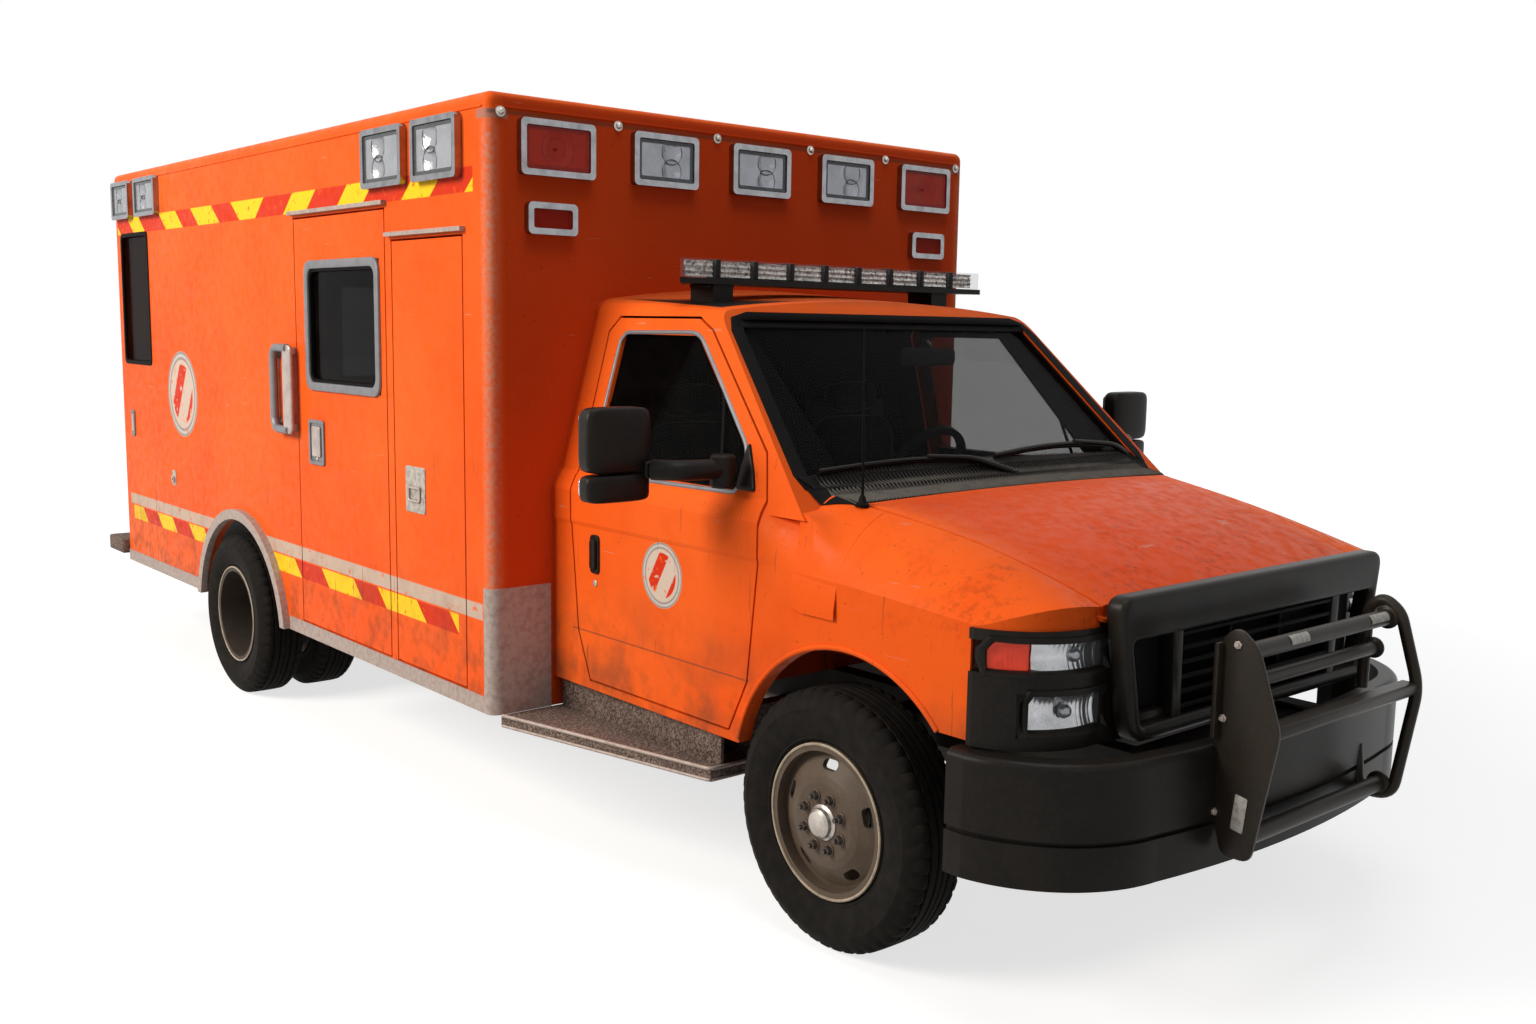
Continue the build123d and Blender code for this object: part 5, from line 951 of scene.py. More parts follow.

# %% [markdown]
# The rim ends in a rolled flange, paler than the dish, with a thin step inside it. On the rear wheels the
# dish is darker still, as painted shade. Both are closed sections spun round the axle.

# %% Flange rings
for side, hand in SIDES:
    for node, body, axle_y in ((f"front_rim_{side}", f"wheel_front_{side}", FRONT_AXLE_Y),
                               (f"rear_rims_{side}", f"wheels_rear_{side}", REAR_AXLE_Y)):
        edge = hit(node, (hand * OUTSIDE_X, axle_y, AXLE_Z + 0.234), (-hand, 0, 0))
        middle = (edge.x, axle_y, AXLE_Z)
        ring = bmesh.new()
        add_turned(ring, ((0.2375, -0.004), (0.2375, 0.0025), (0.2345, 0.0045), (0.2300, 0.0035),
                          (0.2285, -0.001), (0.2285, -0.004)), middle, (hand, 0, 0), 96, True)
        add_turned(ring, ((0.2240, -0.030), (0.2222, -0.004), (0.2205, -0.004), (0.2205, -0.030)),
                   middle, (hand, 0, 0), 96, True)
        finish_piece(f"flange_ring_{node}", ring, flange_cream, body, 30.0)
        print(node, "flange at", round(edge.x, 4))

# %% [markdown]
# ## Lamps of the box body
# Each warning lamp is a square lens in a plated frame. Behind the lens lies a bright reflector with two
# round bowls, one above the other; the red ones have a single round bowl. The lens in the solid model is
# thin see-through plastic here, so the bowls are real dishes placed inside it, a grid of points pushed
# back where a bowl is.


# %% Reflectors behind the lenses
def reflector(name, place, half_a, half_b, bowls, front, depth, finish, body="vehicle",
              fineness=22):
    """Bright dish with round bowls at (a, b, radius) in the lamp's plan, pushed back from its front."""
    shape = bmesh.new()
    rows = []
    lines = max(8, int(fineness * half_b / half_a))
    for j in range(lines + 1):
        b = -half_b + 2 * half_b * j / lines
        row = []
        for i in range(fineness + 1):
            a = -half_a + 2 * half_a * i / fineness
            sunk = 0.0
            for bowl_a, bowl_b, radius in bowls:
                away = math.hypot(a - bowl_a, b - bowl_b) / radius
                if away < 1.0:
                    sunk = max(sunk, 1.0 - away ** 2.2)
            row.append(shape.verts.new(place(a, b, front - depth * sunk)))
        rows.append(row)
    knit(shape, rows)
    return finish_piece(name, shape, finish, body, 60.0)


def lamp_plan(plan, a, b):
    """The plan of one lamp, measured from the lamp's middle."""
    return lambda da, db, out: plan(a + da, b + db, out)


# %% [markdown]
# The lamps of each wall are listed with their place, width, height and colour. A tall clear lamp gets two
# bowls, the others one, and a dark ring of painted shade edges every bowl. In a red lamp a small bulb shows
# as well.

# %% Lamps on the four walls
LAMP_FRONT = 0.0215
BULB_R = 0.007
# dark red of the red lamps' rings of painted shade, their bulbs and inner frames
lamp_red_ring = worn("lamp_red_ring", (0.30, 0.012, 0.004), (0.16, 0.006, 0.002), 30.0, 0.5, 0.3)
BORDER = 0.022
red_lamps = [(x, 2.470, 0.310, 0.195, "red") for x in (-0.948, 0.948)]
front_lamps = red_lamps + [(x, 2.470, 0.300, 0.195, "clear") for x in (-0.472, 0.0, 0.472)]
back_lamps = red_lamps + [(x, 2.470, 0.300, 0.195, "clear") for x in (-0.472, 0.472)]
back_lamps += [(x, 0.720, 0.170, 0.120, "clear") for x in (-1.0, 1.0)]
side_lamps = [(FRONT_WALL_Y + y, z, width, tall, "clear") for y, z, width, tall in (
    (0.350, 2.478, 0.345, 0.225), (0.775, 2.478, 0.345, 0.225),
    (3.640, 2.495, 0.345, 0.205), (4.060, 2.495, 0.300, 0.205))]
groups = (("front", front_wall, front_lamps), ("back", back_wall, back_lamps),
          ("side_right", wall(-1), side_lamps), ("side_left", wall(1), side_lamps))
for group, plan, lamps in groups:
    for number, (a, b, width, tall, colour) in enumerate(lamps, 1):
        half_a = width / 2 - BORDER - 0.003
        half_b = tall / 2 - BORDER - 0.003
        here = lamp_plan(plan, a, b)
        if colour == "red":
            bowls = ((0.0, 0.0, half_b * 0.92),)
        elif tall > 0.15:
            bowls = ((half_a * 0.22, half_b * 0.48, half_b * 0.66),
                     (half_a * 0.22, -half_b * 0.50, half_b * 0.62))
        else:
            bowls = ((0.0, 0.0, half_b * 0.9),)
        reflector(f"lamp_reflector_{group}_{number}", here, half_a, half_b, bowls, LAMP_FRONT, 0.018,
                  lamp_bright if colour == "clear" else amber_dish)
        bulbs = bmesh.new()
        # dark rings at the bowl rims: painted shade at the edge of each bowl
        rims = ((1.02, 0.003),) if colour == "clear" else ((1.02, 0.003), (0.55, -0.004))
        for bowl_a, bowl_b, radius in bowls:
            centre = here(bowl_a, bowl_b, LAMP_FRONT - 0.016)
            outwards = here(0, 0, 1.0) - here(0, 0, 0.0)
            if colour == "red":
                add_turned(bulbs, ((BULB_R, 0.0), (BULB_R, 0.005), (BULB_R * 0.8, 0.011), (0.0, 0.013)),
                           centre, outwards, 14)
            rim = here(bowl_a, bowl_b, LAMP_FRONT - 0.004)
            for share, height in rims:
                outer = radius * share
                inner = radius * share * 0.94
                add_turned(bulbs, ((outer, -0.003), (outer, height), (inner, height), (inner, -0.003)), rim,
                           outwards, 28, True)
        add_frame(bulbs, rounded_outline(-half_a, half_a, -half_b, half_b, 0.008),
                  rounded_outline(-half_a + 0.012, half_a - 0.012, -half_b + 0.012, half_b - 0.012, 0.006),
                  here, LAMP_FRONT - 0.008, LAMP_FRONT + 0.0015, 0.0)
        ring_finish = lamp_dark if colour == "clear" else lamp_red_ring
        finish_piece(f"lamp_bulbs_{group}_{number}", bulbs, ring_finish, "vehicle")
print("lamps dressed:", sum(len(lamps) for _, _, lamps in groups))

# %% [markdown]
# The light bar has nine clear modules with a pleated bright plate behind each, so that it glitters from
# every side. A pleated plate is a strip whose points step in and out.

# %% Light bar inside and feet
BAR_Y = FRONT_AXLE_Y + 0.952
BAR_LOW, BAR_HIGH = 2.022, 2.088
BAR_HALF = 0.774
MODULES = 9
BAR_PITCH = 2 * BAR_HALF / MODULES
PLEATS = 12
LEVELS = 6
for number in range(MODULES):
    start = -BAR_HALF + number * BAR_PITCH
    plate = bmesh.new()
    rows = []
    inset_low = 0.034 if number == 0 else 0.012
    inset_high = 0.034 if number == MODULES - 1 else 0.012
    for level in range(LEVELS + 1):
        z = BAR_LOW + 0.006 + (BAR_HIGH - BAR_LOW - 0.012) * level / LEVELS
        row = []
        for k in range(2 * PLEATS + 1):
            x = start + inset_low + (BAR_PITCH - inset_low - inset_high) * k / (2 * PLEATS)
            y = BAR_Y + 0.022 + (0.008 if k % 2 else 0.0) + (0.005 if level % 2 else 0.0)
            row.append(plate.verts.new((x, y, z)))
        rows.append(row)
    knit(plate, rows)
    finish_piece(f"light_bar_plate_{number + 1}", plate, bar_bright, "vehicle", 10.0)
bar_back = bmesh.new()
add_box(bar_back, (-0.60, BAR_Y + 0.060, BAR_LOW + 0.002), (0.60, BAR_Y + 0.072, BAR_HIGH - 0.004), 0.002)
for x in (-0.560, 0.560):
    add_box(bar_back, (x - 0.055, BAR_Y + 0.036, 1.990), (x + 0.055, BAR_Y + 0.154, 2.001), 0.003)
for number in range(1, MODULES):
    x = -BAR_HALF + number * BAR_PITCH
    add_box(bar_back, (x - 0.0105, BAR_Y + 0.004, BAR_LOW), (x + 0.0105, BAR_Y + 0.064, BAR_HIGH - 0.001),
            0.002)
finish_piece("light_bar_spine", bar_back, black_plastic, "vehicle")
print("light bar module is", round(BAR_PITCH, 3), "m wide")

# %% [markdown]
# ## Headlamps
# Two lamps stand one above the other in a black frame. The upper one has a red outer third, and both
# have fluted glass over a bright dish. The dish is a grid that follows the front of the lens a little
# way behind it; thin upright ribs on it give the fluted look.

# %% Headlamp dishes and bulbs
headlamp_bright = worn("headlamp_bright", (0.62, 0.63, 0.65), (0.25, 0.25, 0.26), 16.0, 0.5, 0.14,
                       Metallic=1.0)
FAR_AHEAD = -5.0


def lens_front(x, z):
    """Depth of the lens face, or None beside it."""
    place = struck("headlamp_lenses", (x, FAR_AHEAD, z), (0, 1, 0))
    return place.y if place is not None else None


def lamp_dish(name, hand, low_x, high_x, low_z, high_z, finish, ribs, sink):
    """Ribbed dish that follows the lens face."""
    shape = bmesh.new()
    columns, lines = 48, 10
    rows = []
    for j in range(lines + 1):
        z = low_z + (high_z - low_z) * j / lines
        row = []
        for i in range(columns + 1):
            x = low_x + (high_x - low_x) * i / columns
            face = lens_front(hand * x, z)
            if face is None:
                row.append(None)
                continue
            a = 2 * i / columns - 1
            b = 2 * j / lines - 1
            bowl = max(0.0, 1.0 - 0.9 * a * a - 0.5 * b * b)
            rib = 0.0035 * abs(((i / columns * ribs) % 1.0) - 0.5)
            row.append(shape.verts.new((hand * x, face + 0.008 + sink * bowl + rib, z)))
        rows.append(row)
    knit(shape, rows)
    return finish_piece(name, shape, finish, "vehicle", 60.0)


lens_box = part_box("headlamp_lenses")
print("lens box", [round(value, 3) for corner in lens_box for value in corner])
for side, hand in SIDES:
    lamp_dish(f"headlamp_dish_upper_{side}", hand, 0.646, 0.865, 0.981, 1.058, headlamp_bright, 14, 0.018)
    lamp_dish(f"headlamp_dish_side_{side}", hand, 0.869, 0.938, 0.981, 1.058, red_dish, 9, 0.012)
    lamp_dish(f"headlamp_dish_lower_{side}", hand, 0.646, 0.899, 0.821, 0.921, headlamp_bright, 18, 0.024)
    bulb = bmesh.new()
    for x, z in ((0.740, 1.019), (0.765, 0.870)):
        face = lens_front(hand * x, z)
        if face is not None:
            add_turned(bulb, ((0.020, 0.030), (0.020, 0.020), (0.012, 0.008), (0.0, 0.004)),
                       (hand * x, face, z), (0, 1, 0), 20)
    finish_piece(f"headlamp_bulbs_{side}", bulb, lamp_bright, "vehicle")

# %% [markdown]
# ## Mirrors
# A commercial mirror is a big two-part head on a thick folding arm. The head is a soft box that thins
# towards its outer edge: an upper glass and a smaller lower one share a shell with a groove between.
# The arm ends in a triangular sail plate at the front corner of the door glass.


# %% Mirror heads, arms and sails
def shell_box(shape, low, high, steps, roundness, pinch=0.0):
    """Soft box: a cube grid pushed towards a rounded body."""
    centre = (Vector(low) + Vector(high)) / 2
    half = (Vector(high) - Vector(low)) / 2
    part = bmesh.new()
    bmesh.ops.create_cube(part, size=2.0)
    bmesh.ops.subdivide_edges(part, edges=part.edges[:], cuts=steps, use_grid_fill=True)
    for vert in part.verts:
        a, b, c = vert.co
        length = (abs(a) ** roundness + abs(b) ** roundness + abs(c) ** roundness) ** (1 / roundness)
        unit = Vector((a, b, c)) / length
        vert.co = Vector((centre.x + half.x * unit.x, centre.y + half.y * unit.y * (1 - pinch * unit.x ** 2),
                          centre.z + half.z * unit.z))
    join(shape, part)


for side, hand in SIDES:
    body = f"door_cab_{side}"
    head = bmesh.new()
    edges = sorted((hand * 1.180, hand * 1.412))
    shell_box(head, (edges[0], -1.893, 1.412), (edges[1], -1.808, 1.611), 9, 7.0, 0.18)
    shell_box(head, (edges[0] + 0.002, -1.891, 1.323), (edges[1] - 0.002, -1.810, 1.409), 9, 6.0, 0.18)
    neck = sorted((hand * 1.165, hand * 1.215))
    add_box(head, (neck[0], -1.900, 1.392), (neck[1], -1.850, 1.446), 0.010, 3)
    inner = hand * 0.955
    add_pipe(head, rounded_path(((inner, -1.985, 1.420), (hand * 1.06, -1.985, 1.420),
                                 (hand * 1.150, -1.962, 1.420), (hand * 1.190, -1.900, 1.420)), 0.05),
             0.034, 16, 0.9)
    add_turned(head, ((0.0, -0.052), (0.034, -0.052), (0.040, -0.044), (0.040, 0.044), (0.034, 0.052),
                      (0.0, 0.052)), (hand * 0.985, -1.985, 1.412), (0, 0, 1), 24)
    shell = finish_piece(f"mirror_shell_{side}", head, black_plastic, body, 35.0)
    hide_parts(f"mirror_{side}")
    glass = bmesh.new()
    for low_z, high_z in ((1.428, 1.597), (1.334, 1.400)):
        span = sorted((hand * 1.196, hand * 1.398))
        add_slab(glass, rounded_outline(span[0], span[1], low_z, high_z, 0.02),
                 lambda a, b, depth: Vector((a, -1.8075 + depth, b)), -0.004, 0.001, 0.0008)
    finish_piece(f"mirror_glass_{side}", glass, mirror_glass, body)
    sail = bmesh.new()
    sail_line = ((-2.075, 1.352), (-1.985, 1.352), (-1.988, 1.430), (-2.000, 1.500), (-2.048, 1.415))
    place_low = hit(f"cab_door_{side}", (hand * 2.0, -1.60, 1.30), (-hand, 0, 0))
    add_slab(sail, round_corners(sail_line, 0.014), lambda a, b, depth: Vector(
        (hand * (BELT_HALF - SIDE_LEAN * (b - BELT_Z) + depth), a, b)), -0.010, 0.010, 0.004)
    finish_piece(f"mirror_sail_{side}", sail, black_plastic, body)
print("door skin at the belt", round(place_low.x, 4))

# %% [markdown]
# ## Push bar
# A welded guard in front of the grille: a thick plate on the near side with a rounded head, an open hoop
# of tube on the far side, three cross tubes and a flat shelf at the widest point. The plate gets rounded
# edges, a folded flange, bolts and a small blank label; the tubes get flanges where they meet the plate.

# %% Push bar plates, hoop, shelf and bolts
PLATE_LINE = ((-1.000, 1.100), (-0.950, 1.055), (-0.948, 0.788), (-0.948, 0.612), (-0.985, 0.470),
              (-1.072, 0.470), (-1.136, 0.832), (-1.062, 1.050))
bar = bmesh.new()


def plate_plan(x):
    return lambda a, b, depth: Vector((x + depth, FRONT_AXLE_Y + a, b))


near = round_corners(PLATE_LINE, 0.030)
add_slab(bar, near, plate_plan(-0.400), -0.007, 0.007, 0.003)
add_slab(bar, round_corners(((-0.962, 1.050), (-0.948, 1.050), (-0.948, 0.790), (-0.962, 0.790)), 0.006),
         plate_plan(-0.400), -0.030, 0.008, 0.002)
hoop = [Vector((0.400, FRONT_AXLE_Y + a, b)) for a, b in (
    (-0.952, 0.800), (-0.955, 1.045), (-1.000, 1.085), (-1.055, 1.048), (-1.121, 0.832), (-1.068, 0.490),
    (-0.965, 0.482), (-0.950, 0.620))]
add_pipe(bar, rounded_path(hoop, 0.05), 0.0175, 16)
for y, z, radius in ((-1.020, 1.030, 0.024), (-0.985, 0.930, 0.020), (-1.030, 0.520, 0.024)):
    add_pipe(bar, [Vector((x, FRONT_AXLE_Y + y, z)) for x in (-0.398, -0.30, 0.0, 0.30, 0.398)], radius, 20)
    for x, inwards in ((-0.390, 1), (0.388, -1)):
        add_turned(bar, ((radius * 0.5, -0.004), (radius + 0.012, -0.004), (radius + 0.012, 0.003),
                         (radius * 0.9, 0.009)), (x, FRONT_AXLE_Y + y, z), (inwards, 0, 0), 24)
add_slab(bar, round_corners(((-1.126, 0.848), (-1.126, 0.818), (-1.088, 0.792), (-1.070, 0.792),
                             (-1.070, 0.848)), 0.010), plate_plan(-0.396), 0.0, 0.792, 0.003)
guard = finish_piece("push_bar_frame", bar, black_steel, "vehicle", 35.0)
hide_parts("push_bar")
bolts = bmesh.new()
for y, z in ((-1.004, 1.050), (-0.972, 0.845), (-0.962, 0.585)):
    add_turned(bolts, ((0.0, 0.0), (0.0115, 0.0), (0.0115, 0.0035), (0.0075, 0.004), (0.0075, 0.010),
                       (0.006, 0.012), (0.0, 0.012)), (-0.4072, FRONT_AXLE_Y + y, z), (-1, 0, 0), 6)
finish_piece("push_bar_bolts", bolts, handle_metal, "vehicle", 20.0)
label = bmesh.new()
add_slab(label, round_corners(((-1.048, 0.545), (-1.012, 0.552), (-1.022, 0.650), (-1.058, 0.643)), 0.004),
         plate_plan(-0.4072), -0.0012, 0.0002, 0.0004)
finish_piece("push_bar_label", label, label_pale, "vehicle")
patches = bmesh.new()
for low_x, high_x in ((-0.205, -0.110), (0.245, 0.350)):
    strip = []
    for k in range(7):
        angle = math.radians(118 + 64 * k / 6)
        strip.append((FRONT_AXLE_Y - 1.020 + 0.0252 * math.cos(angle), 1.030 + 0.0252 * math.sin(angle)))
    for first, second in zip(strip, strip[1:]):
        corners = [patches.verts.new((x, y, z)) for x, (y, z) in (
            (low_x, first), (high_x, first), (high_x, second), (low_x, second))]
        patches.faces.new(corners)
bmesh.ops.remove_doubles(patches, verts=patches.verts, dist=0.0001)
bmesh.ops.solidify(patches, geom=patches.faces[:], thickness=0.001)
finish_piece("push_bar_patches", patches, label_pale, "vehicle")
print("push bar reaches", round(min(point.y for point in hoop) - 0.0175, 4))

# %% [markdown]
# ## Grille
# The surround is one thick black moulding with rounded corners: a deep top bar, legs with an upright
# recess, and slanted louvres between them. It is built from a frame and slabs in the front plan, with
# generous rounded edges, because the light runs along those edges.

# %% Grille surround and louvres
GRILLE_Y = FRONT_AXLE_Y - 0.848


def grille_plan(a, b, out):
    return Vector((a, GRILLE_Y - out, b))


grille = bmesh.new()
outer_line = round_corners(((-0.702, 1.180), (0.702, 1.180), (0.630, 0.778), (-0.630, 0.778)), 0.060, 8)
inner_line = round_corners(((-0.640, 1.058), (0.640, 1.058), (0.588, 0.822), (-0.588, 0.822)), 0.022, 8)
add_frame(grille, outer_line, inner_line, grille_plan, -0.066, 0.0, 0.018, 4)
for hand in (-1, 1):
    post = round_corners(((hand * 0.405, 1.075), (hand * 0.450, 1.075), (hand * 0.440, 0.800),
                          (hand * 0.398, 0.800)), 0.004)
    add_slab(grille, post, grille_plan, -0.062, -0.010, 0.010)
    add_slab(grille, ((hand * 0.445, 0.850), (hand * 0.600, 0.850), (hand * 0.592, 0.812),
                      (hand * 0.440, 0.812)), grille_plan, -0.062, -0.030, 0.010)
front_grille = finish_piece("grille_moulding", grille, black_plastic, "vehicle", 35.0)
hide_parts("grille")
louvres = bmesh.new()
LOUVRES = 6
for number in range(LOUVRES):
    z = 0.838 + 0.205 * number / (LOUVRES - 1)
    blade = [grille_plan(0, z + dz, out) for dz, out in ((0.010, -0.012), (0.013, -0.018), (-0.004, -0.052),
                                                         (-0.009, -0.050), (0.001, -0.014))]
    ends = [[louvres.verts.new((x, point.y, point.z)) for point in blade] for x in (-0.402, 0.402)]
    link_rings(louvres, *ends)
    louvres.faces.new(ends[0])
    louvres.faces.new(ends[1][::-1])
for x in (-0.135, 0.135):
    add_box(louvres, (x - 0.006, GRILLE_Y + 0.030, 0.812), (x + 0.006, GRILLE_Y + 0.056, 1.062), 0.001)
finish_piece("grille_louvres", louvres, gasket_rubber, "vehicle", 35.0)
backing = bmesh.new()
add_box(backing, (-0.60, GRILLE_Y + 0.0605, 0.80), (0.60, GRILLE_Y + 0.0655, 1.10), 0.001)
finish_piece("grille_backing", backing, gasket_rubber, "vehicle")
print(LOUVRES, "louvres in a grille", round(2 * max(a for a, _ in outer_line), 3), "m wide")

# %% [markdown]
# ## Glass edges
# Bonded glass shows a printed black border, and opening windows sit in rubber. The windshield border is
# a ribbon laid on the glass: its two edges are found by casting lines onto the glass, so it follows the
# curve. Rubber round the door glass is a thin pipe laid along the opening in the same way.


# %% Bands laid on a surface
def along_outline(outline, spacing):
    """Evenly spaced points along a closed outline."""
    points = []
    for (a0, b0), (a1, b1) in zip(outline, outline[1:] + outline[:1]):
        count = max(1, int(math.hypot(a1 - a0, b1 - b0) / spacing))
        points += [(a0 + (a1 - a0) * k / count, b0 + (b1 - b0) * k / count) for k in range(count)]
    return points


def first_seen(names, start, direction):
    """Nearest place of some solids along a line, or None."""
    start = Vector(start)
    places = [struck(name, start, direction) for name in names]
    return min((place for place in places if place is not None),
               key=lambda place: (place - start).length, default=None)


def laid_band(shape, rings, names, start, direction, proud, sink=0.002):
    """Closed band over rings of places, laid on the first surface along a direction."""
    direction = Vector(direction).normalized()
    fronts, backs = [], []
    last = None
    for ring in rings:
        row = []
        for place in ring:
            found = first_seen(names, start(*place), direction)
            last = found if found is not None else (last or start(*place))
            row.append(last.copy())
        depths = [point.dot(direction) for point in row]
        for k, point in enumerate(row):
            row[k] = point + direction * (min(depths[max(0, k - 1):k + 2]) - depths[k])
        fronts.append([shape.verts.new(place - direction * proud) for place in row])
        backs.append([shape.verts.new(place + direction * sink) for place in row])
    across = len(rings[0])
    for k in range(len(rings)):
        n = (k + 1) % len(rings)
        for j in range(across - 1):
            shape.faces.new((fronts[k][j], fronts[k][j + 1], fronts[n][j + 1], fronts[n][j]))
        shape.faces.new((fronts[k][0], fronts[n][0], backs[n][0], backs[k][0]))
        shape.faces.new((fronts[k][-1], backs[k][-1], backs[n][-1], fronts[n][-1]))


def ahead_of(x, z):
    """Start of a line that meets the front of the vehicle."""
    return Vector((x, -4.0, z))


# %% [markdown]
# The border is broad at the sides and thin at the top. Its inner half lies on the glass, the outer half
# on the sheet metal, and eleven points across give it a soft crown.

# %% Windshield border
SHIELD_HALF = 0.842
SHIELD_LOW = 1.372
SHIELD_TALL = 0.510
SHIELD_LEAN = 0.247
SHIELD = [(-SHIELD_HALF, SHIELD_LOW), (SHIELD_HALF, SHIELD_LOW), (0.716, 1.882), (-0.716, 1.882)]
SHIELD_FRONT = ("cab_shell", "fixed_windows", "cowl")
border_rings = []
for x, z in along_outline(SHIELD, 0.04):
    side_share = abs(x) / (SHIELD_HALF - SHIELD_LEAN * (z - SHIELD_LOW))
    top = (z - SHIELD_LOW) / SHIELD_TALL
    ring = []
    for step in (1.0, 0.6, 0.3, 0.1, -0.05, -0.2, -0.35, -0.5, -0.65, -0.8, -1.0):
        dx = dz = 0.0
        corner = side_share > 0.99 and (top > 0.99 or top < 0.01)
        if side_share > 0.99:
            dx = math.copysign(0.052 * step if step > 0 else 0.034 * step, x)
        if top > 0.99:
            dz = 0.024 * step if step > 0 else 0.030 * step
        if top < 0.01:
            dz = 0.034 * -step if step < 0 else -0.004 * step
        if corner and step > 0:
            dx, dz = dx * 0.6, dz * 0.2
        ring.append((x + dx, z + dz))
    border_rings.append(ring)
ribbon = bmesh.new()
laid_band(ribbon, border_rings, SHIELD_FRONT, ahead_of, (0, 1, 0), 0.0035)
finish_piece("windshield_border", ribbon, gasket_rubber, "vehicle", 50.0)
print("windshield border rings", len(border_rings))

# %% [markdown]
# A thin flattened pipe round the opening stands for the rubber channel that the door glass slides in, and
# a second one is the post of the fixed quarter light.

# %% Rubber and quarter posts of the door windows
DOOR_GLASS = ((-1.990, 1.345), (-1.990, 1.476), (-1.618, 1.824), (-1.180, 1.824), (-1.168, 1.345))
for side, hand in SIDES:
    body = f"door_cab_{side}"
    rubber = bmesh.new()
    path = []
    middle = Vector((-1.56, 1.58))
    for a, b in along_outline(round_corners(DOOR_GLASS, 0.045), 0.03):
        away = (Vector((a, b)) - middle).normalized() * 0.010
        found, place, normal, _ = nodes[f"cab_door_{side}"].ray_cast(
            Vector((hand * 2.0, a + away.x, b + away.y)), Vector((-hand, 0, 0)))
        if found and abs(place.x) > 0.6:
            path.append(place + normal * 0.001)
    path.append(path[0])
    add_pipe(rubber, path, 0.0075, 8, 0.7, (hand, 0, 0.28))
    finish_piece(f"door_window_rubber_{side}", rubber, frame_grey, body, 50.0)
    quarter = bmesh.new()
    post = []
    for a, b in ((-1.885, 1.352), (-1.862, 1.430), (-1.838, 1.520), (-1.815, 1.600), (-1.800, 1.640)):
        place = struck(f"cab_door_glass_{side}", (hand * 2.0, a, b), (-hand, 0, 0))
        if place is not None:
            post.append(place + Vector((hand * 0.002, 0, 0)))
    if len(post) > 2:
        add_pipe(quarter, post, 0.008, 8, 0.5, (hand, 0, 0.28))
        finish_piece(f"quarter_post_{side}", quarter, gasket_rubber, body, 50.0)
    print(side, "door rubber points", len(path))

# %% [markdown]
# The entry door's window has a raised metal frame with a rubber lip inside it. The side and rear windows
# sit in plain rubber.

# %% Window frames of the box body
entry = bmesh.new()
add_frame(entry, rounded_outline(-0.112, 0.612, 1.552, 2.106, 0.055), rounded_outline(
    -0.076, 0.576, 1.588, 2.070, 0.040), wall(-1), -0.010, 0.012, 0.005, 2)
finish_piece("entry_window_frame", entry, frame_grey, "door_entry", 35.0)
lip = bmesh.new()
add_frame(lip, rounded_outline(-0.078, 0.578, 1.586, 2.072, 0.040), rounded_outline(
    -0.064, 0.564, 1.600, 2.058, 0.032), wall(-1), -0.014, 0.003, 0.002, 1)
finish_piece("entry_window_rubber", lip, gasket_rubber, "door_entry", 35.0)
for side, hand in SIDES:
    gasket = bmesh.new()
    add_frame(gasket, rounded_outline(2.719, 3.191, 1.588, 2.316, 0.035), rounded_outline(
        2.741, 3.169, 1.610, 2.294, 0.025), wall(hand), -0.012, 0.005, 0.003, 2)
    finish_piece(f"rear_side_window_rubber_{side}", gasket, gasket_rubber, "vehicle", 35.0)
    back = bmesh.new()
    low, high = sorted((hand * 0.110, hand * 0.530))
    add_frame(back, rounded_outline(low - 0.008, high + 0.008, 1.472, 2.088, 0.045), rounded_outline(
        low + 0.018, high - 0.018, 1.498, 2.062, 0.030), back_wall, -0.010, 0.008, 0.004, 2)
    finish_piece(f"rear_door_window_frame_{side}", back, gasket_rubber, f"door_rear_{side}",
                 35.0)
    print(side, "rear door window from", low, "to", high)

# %% [markdown]
# ## Handles and latches
# The entry side carries a big polished grab handle, a recessed paddle latch and plated D handles. Each
# is a few slabs and pipes in the plan of the wall it sits on, and rides on the door or body it is bolted
# to.


# %% Grab handles, paddle latches and D handles
def way_out(plan):
    """Direction that leaves a plan at a right angle."""
    return plan(0, 0, 1) - plan(0, 0, 0)


def grab_handle(name, plan, a_grip, a_back, low_b, high_b, body="vehicle"):
    """Standing loop with a broad polished grip and a darker frame."""
    loop = bmesh.new()
    path = [plan(a, b, out) for a, b, out in (
        (a_grip, low_b + 0.016, 0.034), (a_back - 0.03, low_b + 0.016, 0.030),
        (a_back, low_b + 0.05, 0.026), (a_back, high_b - 0.05, 0.026),
        (a_back - 0.03, high_b - 0.014, 0.030), (a_grip, high_b - 0.014, 0.034))]
    add_pipe(loop, rounded_path(path, 0.03), 0.0185, 14)
    for b in (low_b + 0.040, high_b - 0.040):
        add_turned(loop, ((0.0, 0.0), (0.026, 0.0), (0.026, 0.004), (0.019, 0.008), (0.017, 0.024)),
                   plan(a_back, b, 0.0), way_out(plan), 20)
    finish_piece(f"{name}_frame", loop, frame_grey, body, 40.0)
    grip = bmesh.new()
    add_slab(grip, rounded_outline(a_grip - 0.043, a_grip + 0.043, low_b, high_b, 0.026), plan, 0.026, 0.044,
             0.007, 3)
    for b in (low_b + 0.028, high_b - 0.028):
        add_slab(grip, rounded_outline(a_grip - 0.020, a_grip + 0.020, b - 0.018, b + 0.018, 0.008), plan,
                 -0.001, 0.030, 0.003)
    finish_piece(f"{name}_grip", grip, handle_metal, body, 40.0)


